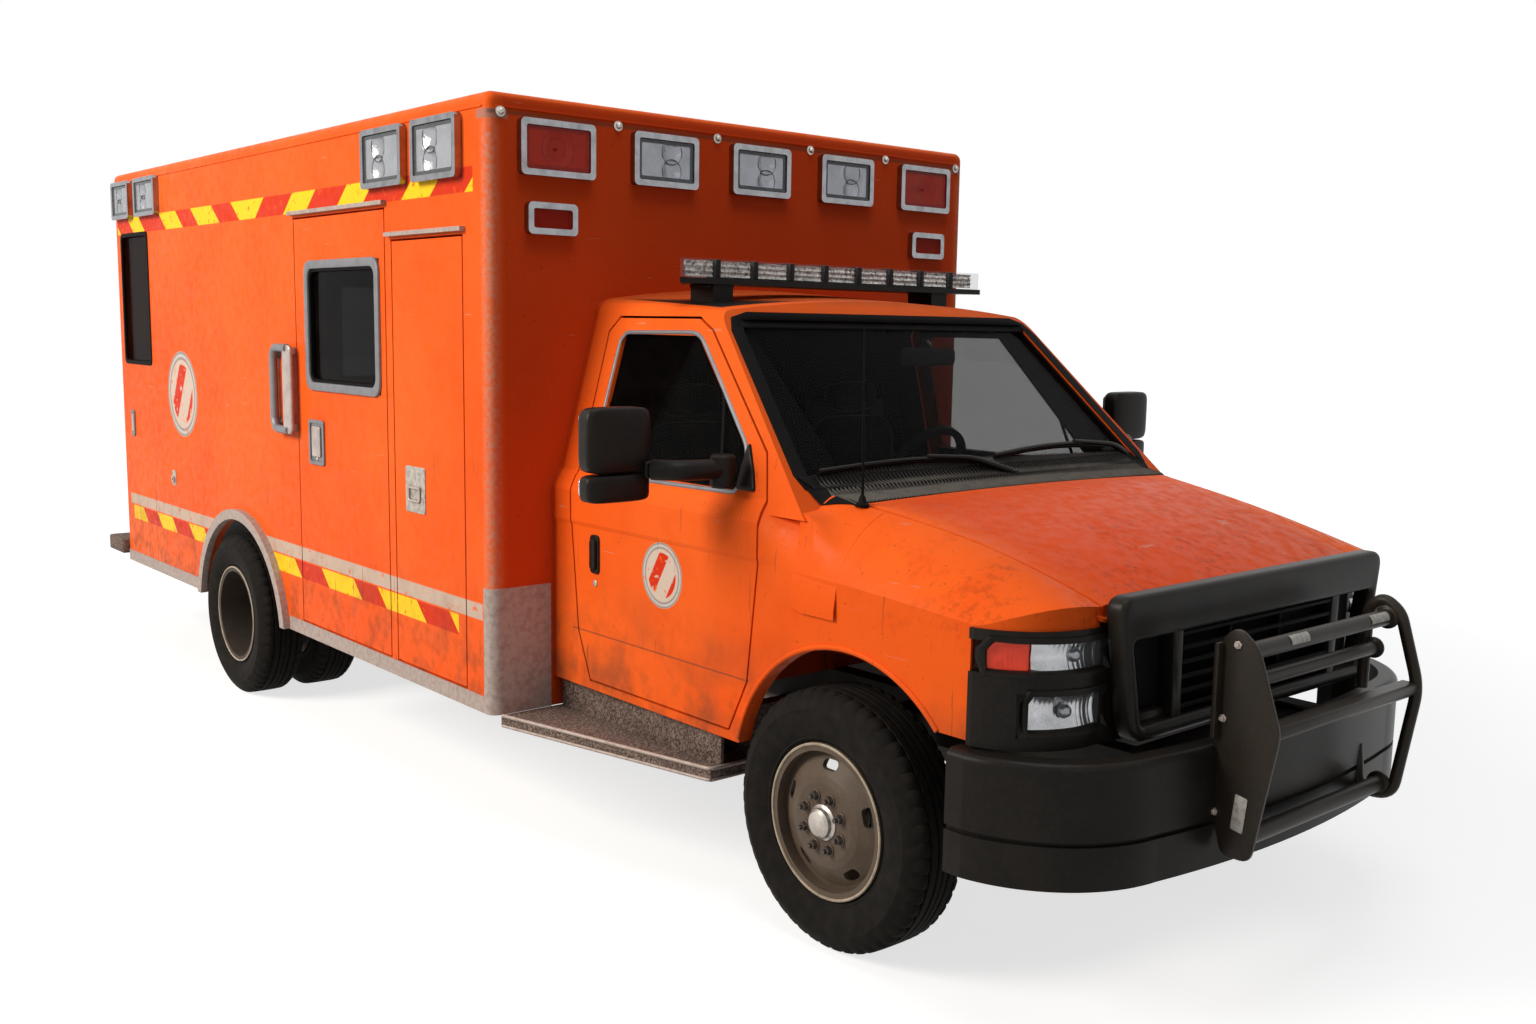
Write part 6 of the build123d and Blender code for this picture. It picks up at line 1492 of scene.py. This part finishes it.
def paddle_latch(name, plan, low_a, high_a, low_b, high_b, body):
    """Recessed tray with a lifting paddle."""
    tray = bmesh.new()
    add_frame(tray, rounded_outline(low_a, high_a, low_b, high_b, 0.014), rounded_outline(
        low_a + 0.016, high_a - 0.016, low_b + 0.016, high_b - 0.016, 0.008), plan, -0.001, 0.009, 0.003)
    add_slab(tray, rounded_outline(low_a + 0.010, high_a - 0.010, low_b + 0.010, high_b - 0.010, 0.008), plan,
             -0.001, 0.002, 0.0)
    finish_piece(f"{name}_tray", tray, frame_grey, body, 35.0)
    paddle = bmesh.new()
    middle = (low_a + high_a) / 2
    third = (high_b - low_b) * 0.18
    half = (high_a - low_a) * 0.27
    lobe = rounded_outline(middle - half, middle + half, low_b + third, high_b - third * 0.8, 0.010)
    add_slab(paddle, lobe, plan, 0.002, 0.011, 0.004, 3)
    add_turned(paddle, ((0.0, 0.0), (0.009, 0.0), (0.009, 0.003), (0.007, 0.005), (0.0, 0.005)),
               plan(middle, low_b + third * 0.55 + 0.006, 0.0012), way_out(plan), 18)
    finish_piece(f"{name}_paddle", paddle, handle_metal, body, 35.0)


def d_handle(name, plan, low_a, high_a, low_b, high_b, body):
    """Flat plate with a small hinged D ring."""
    plate = bmesh.new()
    add_slab(plate, rounded_outline(low_a, high_a, low_b, high_b, 0.008), plan, -0.001, 0.004, 0.0015)
    for a in (low_a + 0.010, high_a - 0.010):
        for b in (low_b + 0.010, high_b - 0.010):
            add_turned(plate, ((0.0045, 0.0), (0.004, 0.0018), (0.0, 0.0022)), plan(a, b, 0.004),
                       way_out(plan), 10)
    finish_piece(f"{name}_plate", plate, label_pale, body, 35.0)
    ring = bmesh.new()
    middle_a, middle_b = (low_a + high_a) / 2, (low_b + high_b) / 2
    reach = (high_a - low_a) * 0.28
    drop = (high_b - low_b) * 0.24
    path = [plan(middle_a + a, middle_b + b, 0.009) for a, b in (
        (-reach, drop * 0.2), (-reach, -drop), (reach, -drop), (reach, drop * 0.2))]
    add_pipe(ring, rounded_path(path, 0.012), 0.0045, 10)
    pin = [plan(middle_a + a, middle_b + drop * 0.2, 0.009) for a in (-reach * 1.15, 0, reach * 1.15)]
    add_pipe(ring, pin, 0.006, 10)
    finish_piece(f"{name}_ring", ring, handle_metal, body, 40.0)


for side, hand in SIDES:
    plan = wall(hand)
    if hand < 0:
        grab_handle("grab_handle", plan, 0.752, 0.935, 1.349, 1.743)
        paddle_latch("entry_latch", plan, 0.448, 0.604, 1.229, 1.425, "door_entry")
    d_handle(f"compartment_latch_{side}", plan, -0.472, -0.312, 1.121, 1.300, f"door_compartment_{side}")
    d_handle(f"locker_latch_{side}", plan, 2.395, 2.452, 0.957, 1.038, "vehicle")
    paddle_latch(f"rear_panel_latch_{side}", plan, 3.060, 3.112, 1.178, 1.328, "vehicle")
    low, high = sorted((hand * 0.090, hand * 0.170))
    paddle_latch(f"rear_door_latch_{side}", back_wall, low, high, 1.190, 1.380, f"door_rear_{side}")
    grab_handle(f"rear_grab_handle_{side}", back_wall, hand * 0.760, hand * 0.860, 1.150, 1.650)
    print(side, "rear door latch from", low, "to", high)

# %% [markdown]
# A van's cab door has a black pull handle on a shallow plate, with a round lock below it. Their plan
# starts where a line from the side meets the door skin.

# %% Cab door handles
for side, hand in SIDES:
    pull = bmesh.new()
    skin = hit(f"cab_door_{side}", (hand * 2.0, -1.245, 1.048), (-hand, 0, 0))

    def door_plan(a, b, out, hand=hand, skin=skin):
        return Vector((hand * (abs(skin.x) + out), a, b))

    add_slab(pull, rounded_outline(-1.272, -1.218, 0.980, 1.118, 0.016), door_plan, -0.002, 0.007, 0.002)
    add_slab(pull, rounded_outline(-1.262, -1.228, 0.995, 1.104, 0.012), door_plan, 0.006, 0.018, 0.005, 3)
    finish_piece(f"cab_door_handle_{side}", pull, black_plastic, f"door_cab_{side}", 35.0)
    key = bmesh.new()
    add_turned(key, ((0.0, 0.0), (0.012, 0.0), (0.012, 0.003), (0.008, 0.005), (0.0, 0.005)),
               door_plan(-1.245, 0.945, 0.0), (hand, 0, 0), 20)
    finish_piece(f"cab_door_lock_{side}", key, handle_metal, f"door_cab_{side}", 35.0)
    print(side, "door skin at the handle", round(skin.x, 4))

# %% [markdown]
# ## Cowl, wipers, antenna and inner mirror
# The cowl below the glass is a ribbed black panel. Its ribs run aslant and are laid on the real surface
# by casting lines down onto it. The wipers rest on it: an arm from the pivot and a blade that curves a
# little with the glass.

# %% Cowl ribs
ribs = bmesh.new()
RIB_PITCH = 0.0165
RIBS_A_SIDE = 48
RIB_STEPS = 8
DOWN_BACK = Vector((0, 0.7071, -0.7071))
made_ribs = 0
for number in range(-RIBS_A_SIDE, RIBS_A_SIDE + 1):
    x = number * RIB_PITCH
    crest = []
    for step in range(RIB_STEPS + 1):
        t = step / RIB_STEPS
        start = Vector((x, -2.392 + 0.200 * t, 1.305 + 0.098 * t)) - DOWN_BACK
        seen = first_seen(("cowl", "fixed_windows"), start, DOWN_BACK)
        if seen is not None:
            crest.append(seen)
    if len(crest) > 3:
        made_ribs += 1
        lines = [[ribs.verts.new(place + Vector((dx, -dz * 0.5, dz))) for place in crest]
                 for dx, dz in ((-0.0030, -0.001), (0.0, 0.0075), (0.0030, -0.001))]
        knit(ribs, lines + lines[:1])
        ribs.faces.new((lines[0][0], lines[1][0], lines[2][0]))
        ribs.faces.new((lines[0][-1], lines[2][-1], lines[1][-1]))
finish_piece("cowl_ribs", ribs, cowl_grey, "vehicle", 30.0)
print("cowl ribs", made_ribs)

# %% [markdown]
# At the foot of each windshield pillar the wing swells up to meet it. The fairing is a grid of heights:
# the wing's own, found by looking down on it, plus a swell that dies away towards the front.

# %% Fairing at the foot of each pillar
FOOT_Y = -2.308
WING_Y = -2.345


def seen_from_above(x, y, names=("cab_shell", "hood", "cowl")):
    """Height of the sheet metal below a place, or None beside it."""
    found = first_seen(names, (x, y, 1.60), (0, 0, -1))
    return found.z if found is not None and found.z > 0.9 else None


def foot_height(hand, across_x, y):
    """Top of the fairing: the wing, plus a swell that runs up to the pillar."""
    ahead = seen_from_above(hand * across_x, WING_Y, ("cab_shell",)) or 1.05
    wing = seen_from_above(hand * across_x, min(y, WING_Y), ("cab_shell",)) or ahead
    if y > WING_Y:
        wing += (y - WING_Y) * 0.15
    pillar = seen_from_above(hand * across_x, FOOT_Y, ("cab_shell",)) or ahead
    swell = max(0.0, pillar - ahead)
    t = min(1.0, max(0.0, (FOOT_Y - y) / 0.17))
    smooth = 1 - t * t * (3 - 2 * t)
    return wing + swell * smooth + 0.0012


FAIRING_STEPS = 14
fairing_heights = []
for side, hand in SIDES:
    fairing = bmesh.new()
    rows = []
    for i in range(FAIRING_STEPS + 1):
        across_x = 0.775 + (0.972 - 0.775) * i / FAIRING_STEPS
        row = []
        for j in range(FAIRING_STEPS + 1):
            y = -2.292 - 0.190 * j / FAIRING_STEPS
            z = foot_height(hand, across_x, y)
            fairing_heights.append(z)
            row.append(fairing.verts.new((hand * across_x, y, z)))
        rows.append(row)
    knit(fairing, rows)
    rim_edge = [edge for edge in fairing.edges if edge.is_boundary]
    skirt = bmesh.ops.extrude_edge_only(fairing, edges=rim_edge)
    for item in skirt["geom"]:
        if isinstance(item, bmesh.types.BMVert):
            item.co.z -= 0.030
    finish_piece(f"pillar_foot_{side}", fairing, orange, "vehicle", 60.0)
print("pillar foot heights", round(min(fairing_heights), 3), round(max(fairing_heights), 3))

# %% Black corners of the cowl
PATCH_COLUMNS = 6
PATCH_STEPS = 8
for side, hand in SIDES:
    corner_patch = bmesh.new()
    rows = []
    for i in range(PATCH_COLUMNS + 1):
        row = []
        for j in range(PATCH_STEPS + 1):
            t = j / PATCH_STEPS
            y = -2.236 - 0.150 * t
            wide = 0.868 - 0.070 * t ** 1.6
            across_x = 0.782 + (wide - 0.782) * i / PATCH_COLUMNS
            z = seen_from_above(hand * across_x, y) or 1.3
            if y < FOOT_Y:
                z = max(z, foot_height(hand, across_x, y))
            row.append(corner_patch.verts.new((hand * across_x, y - 0.002, z + 0.0035)))
        rows.append(row)
    knit(corner_patch, rows)
    finish_piece(f"cowl_corner_{side}", corner_patch, gasket_rubber, "vehicle", 60.0)
    print(side, "cowl corner has", len(rows) * len(rows[0]), "points")

# %% [markdown]
# A wiper blade follows the glass a few millimetres above it, with a thicker spine on its back. The arm is
# thickest at its pivot, and the antenna thins towards its tip.


# %% Wipers, antenna and inner mirror
def glass_face(x, z):
    """Front of the windshield at a place, or None beside the glass."""
    place = struck("fixed_windows", (x, FAR_AHEAD, z), (0, 1, 0))
    return place.y if place is not None and place.y < -1.2 else None


def on_glass(x, z, off):
    """Place a little off the glass; beside it, where the glass would go on."""
    y = glass_face(x, z)
    if y is None:
        y = -2.2 + (z - 1.409) * 1.065 + 0.06 * (x / 0.8) ** 2
    return Vector((x, y - off * 0.7, z + off * 0.7))


wipers = bmesh.new()
for blade, arm in (
        (((-0.780, 1.405), (-0.560, 1.418), (-0.320, 1.424), (-0.080, 1.410)),
         ((-0.310, 1.426), (-0.115, 1.414), (0.060, 1.360))),
        (((0.020, 1.420), (0.250, 1.436), (0.480, 1.440), (0.700, 1.428)),
         ((0.500, 1.442), (0.740, 1.422), (0.850, 1.366)))):
    low = [on_glass(x, z, 0.006) for x, z in blade]
    smooth_blade = rounded_path(low, 0.2, 5)
    add_pipe(wipers, smooth_blade, 0.0055, 8, 1.6, (0, -0.7, 0.7))
    add_pipe(wipers, [point + Vector((0, -0.008, 0.010)) for point in smooth_blade], 0.0075, 8)
    upper = [on_glass(x, z, 0.026) for x, z in arm]
    add_pipe(wipers, rounded_path(upper, 0.05, 5), lambda t: 0.0075 + 0.006 * t, 10)
    pivot = upper[-1]
    add_turned(wipers, ((0.0, 0.012), (0.014, 0.010), (0.018, 0.0), (0.018, -0.030), (0.0, -0.030)), pivot,
               (0, -0.35, 0.94), 20)
finish_piece("wipers", wipers, black_plastic, "vehicle", 45.0)

mast = bmesh.new()
foot = Vector((-0.788, -2.404, foot_height(-1, 0.788, -2.404) + 0.002))
add_turned(mast, ((0.0, 0.0), (0.021, 0.0), (0.021, 0.006), (0.013, 0.012), (0.010, 0.026), (0.006, 0.032),
                  (0.0, 0.032)), foot - Vector((0, 0, 0.003)), (0, 0, 1), 24)
rod = [foot + Vector(move) for move in ((0, 0, 0.02), (-0.001, 0, 0.11), (-0.002, 0.002, 0.26),
                                        (-0.004, 0.006, 0.52))]
add_pipe(mast, rod, lambda t: 0.0048 - 0.0022 * t, 8)
finish_piece("antenna", mast, gasket_rubber, "vehicle", 45.0)

inner_mirror = bmesh.new()
mirror_y = glass_face(0.1, 1.760) + 0.055
mirror_x = -0.105 + (mirror_y + 1.905) * 0.915
shell_box(inner_mirror, (mirror_x, mirror_y - 0.015, 1.724), (mirror_x + 0.275, mirror_y + 0.018, 1.790),
          7, 6.0)
stem = [Vector((mirror_x + 0.14, mirror_y + back, z)) for back, z in ((0.0, 1.785), (-0.005, 1.800),
                                                                      (0.012, 1.812))]
add_pipe(inner_mirror, stem, 0.009, 10)
print("inner mirror behind the glass at", round(mirror_y, 3))
finish_piece("inner_mirror", inner_mirror, dark_trim, "vehicle", 40.0)

# %% [markdown]
# ## Small trim
# Marker lamps sit along the roof seam, a rolled lip edges the wheel arches, a worn bright strip edges the
# running board, and a kick panel closes the space between the board and the door sill. Hinges, a kick plate
# and a blank number plate finish the back.

# %% Roof markers and seams
BEAD = ((0.0, -0.001), (0.019, -0.001), (0.019, 0.004), (0.012, 0.006), (0.011, 0.013), (0.006, 0.018),
        (0.0, 0.019))
beads = bmesh.new()
for plan, height, places in ((front_wall, 2.580, (-1.169, -0.678, -0.212, 0.277, 0.715, 1.164)),
                             (back_wall, 2.600, (-1.10, -0.20, 0.0, 0.20, 1.10))):
    for x in places:
        add_turned(beads, BEAD, plan(x, height, 0.0), way_out(plan), 18)
finish_piece("roof_markers", beads, cap_silver, "vehicle", 30.0)
seams = bmesh.new()
for plan, low, high in ((front_wall, -1.185, 1.185), (back_wall, -1.185, 1.185),
                        (wall(-1), -0.930, 3.260), (wall(1), -0.930, 3.260)):
    add_slab(seams, ((low, 2.594), (high, 2.594), (high, 2.601), (low, 2.601)), plan, -0.001, 0.0045, 0.0015)
finish_piece("roof_seams", seams, orange, "vehicle", 35.0)

# %% [markdown]
# A rolled lip stiffens the edge of each front wheel arch. It is a pipe, and its path is found by looking
# at the wing from the side. The running board has a worn bright edge.

# %% Arch lips
ARCH_STEPS = 44
for side, hand in SIDES:
    lip = bmesh.new()
    path = []
    for step in range(ARCH_STEPS + 1):
        angle = math.radians(10 + 160 * step / ARCH_STEPS)
        y = FRONT_AXLE_Y - 0.095 + 0.488 * math.cos(angle)
        z = 0.455 + 0.488 * math.sin(angle)
        place = struck("cab_shell", (hand * 2.0, y, z), (-hand, 0, 0))
        if place is not None and abs(place.x) > 0.88:
            path.append(Vector((place.x + hand * 0.001, y, z)))
    add_pipe(lip, path, 0.0085, 10, 0.8, (hand, 0, 0))
    finish_piece(f"front_arch_lip_{side}", lip, orange, "vehicle", 50.0)
    print(side, "arch lip points", len(path))

# %% Running board edges and kick panels
for side, hand in SIDES:
    edge = bmesh.new()
    outer = [Vector((hand * x, FRONT_AXLE_Y + y, 0.4395)) for x, y in ((0.80, 0.502), (0.975, 0.502),
                                                                       (1.186, 1.452))]
    add_pipe(edge, rounded_path(outer, 0.02), 0.0070, 10)
    add_pipe(edge, [point - Vector((0, 0, 0.038)) for point in rounded_path(outer, 0.02)], 0.0060, 10)
    finish_piece(f"board_edge_{side}", edge, worn_aluminium, "vehicle", 40.0)
    kick = bmesh.new()
    low, high = sorted((hand * 0.915, hand * 0.930))
    add_box(kick, (low, FRONT_AXLE_Y + 0.505, 0.438), (high, FRONT_AXLE_Y + 1.456, 0.560), 0.003)
    finish_piece(f"sill_kick_panel_{side}", kick, step_plate, "vehicle", 35.0)
    print(side, "kick panel from", low, "to", high)

# %% [markdown]
# The back carries three hinges a side, each a barrel with a leaf, a kick plate above the step and a blank
# number plate in a black frame.

# %% Back of the vehicle
back_trim = bmesh.new()
for hand in (-1, 1):
    for z in (0.95, 1.50, 2.08):
        add_turned(back_trim, ((0.0, -0.05), (0.011, -0.05), (0.011, 0.05), (0.0, 0.05)),
                   (hand * 0.668, BACK_WALL_Y + 0.010, z), (0, 0, 1), 14)
        low, high = sorted((hand * 0.672, hand * 0.735))
        add_slab(back_trim, rounded_outline(low, high, z - 0.045, z + 0.045, 0.008), back_wall, -0.001, 0.005,
                 0.002)
finish_piece("rear_door_hinges", back_trim, frame_grey, "vehicle", 30.0)
rear_kick = bmesh.new()
add_slab(rear_kick, rounded_outline(-1.17, 1.17, 0.546, 0.700, 0.01), back_wall, -0.016, -0.006, 0.002)
finish_piece("rear_kick_panel", rear_kick, worn_aluminium, "vehicle", 35.0)
plate = bmesh.new()
add_slab(plate, rounded_outline(-0.155, 0.155, 0.620, 0.775, 0.012), back_wall, 0.002, 0.005, 0.001)
finish_piece("number_plate_blank", plate, label_pale, "vehicle", 35.0)
holder = bmesh.new()
add_frame(holder, rounded_outline(-0.172, 0.172, 0.604, 0.791, 0.016), rounded_outline(
    -0.150, 0.150, 0.626, 0.769, 0.010), back_wall, -0.001, 0.010, 0.003)
finish_piece("number_plate_frame", holder, black_plastic, "vehicle", 35.0)

# %% Bright strip over the bumper ends
STRIP_STEPS = 12
for side, hand in SIDES:
    strip = bmesh.new()
    path = []
    for step in range(STRIP_STEPS + 1):
        y = -2.885 - 0.185 * step / STRIP_STEPS
        place = struck("cab_shell", (hand * 2.0, y, 0.735), (-hand, 0, 0))
        if place is not None:
            path.append(Vector((place.x + hand * 0.004, y, 0.716)))
    if len(path) > 3:
        add_pipe(strip, path, 0.009, 10, 0.7, (0, 0, 1))
        finish_piece(f"bumper_strip_{side}", strip, handle_metal, "vehicle", 45.0)
    print(side, "bumper strip points", len(path))

# %% [markdown]
# ## Lamp frames and step ends
# Each headlamp lens sits in its own thick black frame, and a deep groove parts the upper lamp from the
# lower one. The frames are bands laid on the lens, so they wrap round the corner with it. At the back,
# rubber and steel end blocks close the step and stand out past the box body on both sides.

# %% Frames laid round the headlamp lenses
LAMP_SKINS = ("headlamp_lenses", "headlamp_bezels", "cab_shell")
FRAME_WIDTH = 0.015
for side, hand in SIDES:
    frames = bmesh.new()
    for low_x, high_x, low_z, high_z in ((0.662, 0.940, 0.986, 1.061), (0.662, 0.876, 0.829, 0.923)):
        rings = []
        for x, z in along_outline([(low_x, low_z), (high_x, low_z), (high_x, high_z), (low_x, high_z)], 0.02):
            out_x = 1 if x > high_x - 1e-6 else (-1 if x < low_x + 1e-6 else 0)
            out_z = 1 if z > high_z - 1e-6 else (-1 if z < low_z + 1e-6 else 0)
            rings.append([(hand * (x + out_x * FRAME_WIDTH * share), z + out_z * FRAME_WIDTH * share)
                          for share in (0.0, 0.4, 1.0)])
        laid_band(frames, rings, LAMP_SKINS, ahead_of, (0, 1, 0), 0.007, 0.004)
        print(side, "lamp frame has", len(rings), "rings")
    finish_piece(f"headlamp_frames_{side}", frames, black_plastic, "vehicle", 30.0)

# %% Blank outer part of the lower lamp
for side, hand in SIDES:
    blank = bmesh.new()
    rows = []
    for k in range(6):
        row = []
        for j in range(5):
            x = hand * (0.884 + 0.006 * k)
            z = 0.812 + 0.115 * j / 4
            seen = first_seen(LAMP_SKINS, ahead_of(x, z), (0, 1, 0))
            row.append(blank.verts.new(seen - Vector((0, 0.003, 0))))
        rows.append(row)
    knit(blank, rows)
    print(side, "blank begins at", round(min(vert.co.y for vert in blank.verts), 4))
    finish_piece(f"lower_lamp_blank_{side}", blank, black_plastic, "vehicle", 30.0)

# %% Step end blocks
for side, hand in SIDES:
    block_end = bmesh.new()
    low, high = sorted((hand * 1.120, hand * 1.252))
    add_box(block_end, (low, 3.302, 0.470), (high, 3.560, 0.556), 0.012, 3)
    finish_piece(f"step_end_block_{side}", block_end, step_plate, "vehicle", 35.0)
    print(side, "step end from", low, "to", high)

# %% [markdown]
# ## Cab inside
# Seen through dark glass, the cab needs its big shapes: a hooded instrument panel, a round wheel rim and
# stuffed seats. The hood and two air vents are soft boxes, and the grip is a pipe bent to a circle.

# %% Instrument hood and wheel rim
GRIP_RADIUS = 0.19
GRIP_STEPS = 48
hood_over = bmesh.new()
shell_box(hood_over, (0.165, -1.985, 1.285), (0.715, -1.690, 1.372), 9, 3.2)
for x in (-0.52, 0.08):
    shell_box(hood_over, (x - 0.09, -1.760, 1.180), (x + 0.09, -1.630, 1.245), 5, 5.0)
finish_piece("instrument_hood", hood_over, dark_trim, "vehicle", 40.0)
rim = bmesh.new()
tilt = math.radians(28.0)
wheel_axis = Vector((0, math.cos(tilt), math.sin(tilt)))
wheel_centre = Vector((0.430, -1.530, 1.290)) + wheel_axis * 0.014
wheel_up = Vector((0, -math.sin(tilt), math.cos(tilt)))
turns = [2 * math.pi * k / GRIP_STEPS for k in range(GRIP_STEPS + 1)]
circle = [wheel_centre + GRIP_RADIUS * (math.cos(angle) * Vector((1, 0, 0)) + math.sin(angle) * wheel_up)
          for angle in turns]
add_pipe(rim, circle, 0.0155, 12)
finish_piece("steering_wheel_grip", rim, dark_trim, "vehicle", 60.0)
print("steering wheel grip at", [round(value, 3) for value in wheel_centre])

# %% [markdown]
# The seats are sewn pads, so each pad starts as a rounded block that is a little too small. It is
# remeshed to even squares and blown up by cloth pressure with gravity off. No point may move further
# than a cap, so that the pad stays in its place.


# %% Stuffed seats
STUFFING_FRAMES = 12
PADS = (("cushion", 0.010, (-1.488, 0.905), (-1.110, 1.020), 0.0, 0.010),
        ("back", 0.012, (-1.170, 0.985), (-1.080, 1.500), 0.045, 0.008),
        ("head", 0.110, (-1.125, 1.515), (-1.050, 1.632), 0.0, 0.006))


def stuffed_pad(name, low, high, lean, cap):
    """Rounded block blown up like a sewn pad, and leaned about its lower edge."""
    raw = bmesh.new()
    shell_box(raw, low, high, 9, 5.0)
    pad = finish_piece(name, raw, seat_cloth, "vehicle", 60.0)
    remesh = pad.modifiers.new("even_squares", "REMESH")
    remesh.mode = "VOXEL"
    remesh.voxel_size = 0.009
    bpy.context.view_layer.objects.active = pad
    pad.select_set(True)
    bpy.ops.object.modifier_apply(modifier="even_squares")
    before = [vertex.co.copy() for vertex in pad.data.vertices]
    cloth = pad.modifiers.new("stuffing", "CLOTH")
    cloth.settings.use_pressure = True
    cloth.settings.uniform_pressure_force = 4.0
    cloth.settings.effector_weights.gravity = 0.0
    for number in range(1, STUFFING_FRAMES + 1):
        bpy.context.scene.frame_set(number)
    blown = pad.evaluated_get(bpy.context.evaluated_depsgraph_get())
    after = [vertex.co.copy() for vertex in blown.data.vertices]
    pad.modifiers.remove(cloth)
    bpy.context.scene.frame_set(1)
    for vertex, start, end in zip(pad.data.vertices, before, after):
        move = end - start
        vertex.co = start + (move.normalized() * min(move.length, cap) if move.length > 1e-9 else move)
    for polygon in pad.data.polygons:
        polygon.use_smooth = True
    hinge = Vector((0, high[1], low[2]))
    turn_back = Matrix.Translation(hinge) @ Matrix.Rotation(-lean, 4, "X") @ Matrix.Translation(-hinge)
    pad.data.transform(turn_back)
    return pad


bases = bmesh.new()
for side, hand in SIDES:
    low_x, high_x = sorted((hand * 0.185, hand * 0.665))
    add_box(bases, (low_x, -1.480, 0.742), (high_x, -1.035, 0.900), 0.02, 3)
    add_box(bases, (low_x + 0.03, -1.085, 0.900), (high_x - 0.03, -1.032, 1.560), 0.018, 3)
    pads = [stuffed_pad(f"seat_{part}_{side}", (low_x + inset, *low), (high_x - inset, *high), lean, cap)
            for part, inset, low, high, lean, cap in PADS]
base_piece = finish_piece("seat_bases", bases, dark_trim, "vehicle", 35.0)
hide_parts("seats")
print(2 * len(PADS), "stuffed pads on two seat bases")

# %% [markdown]
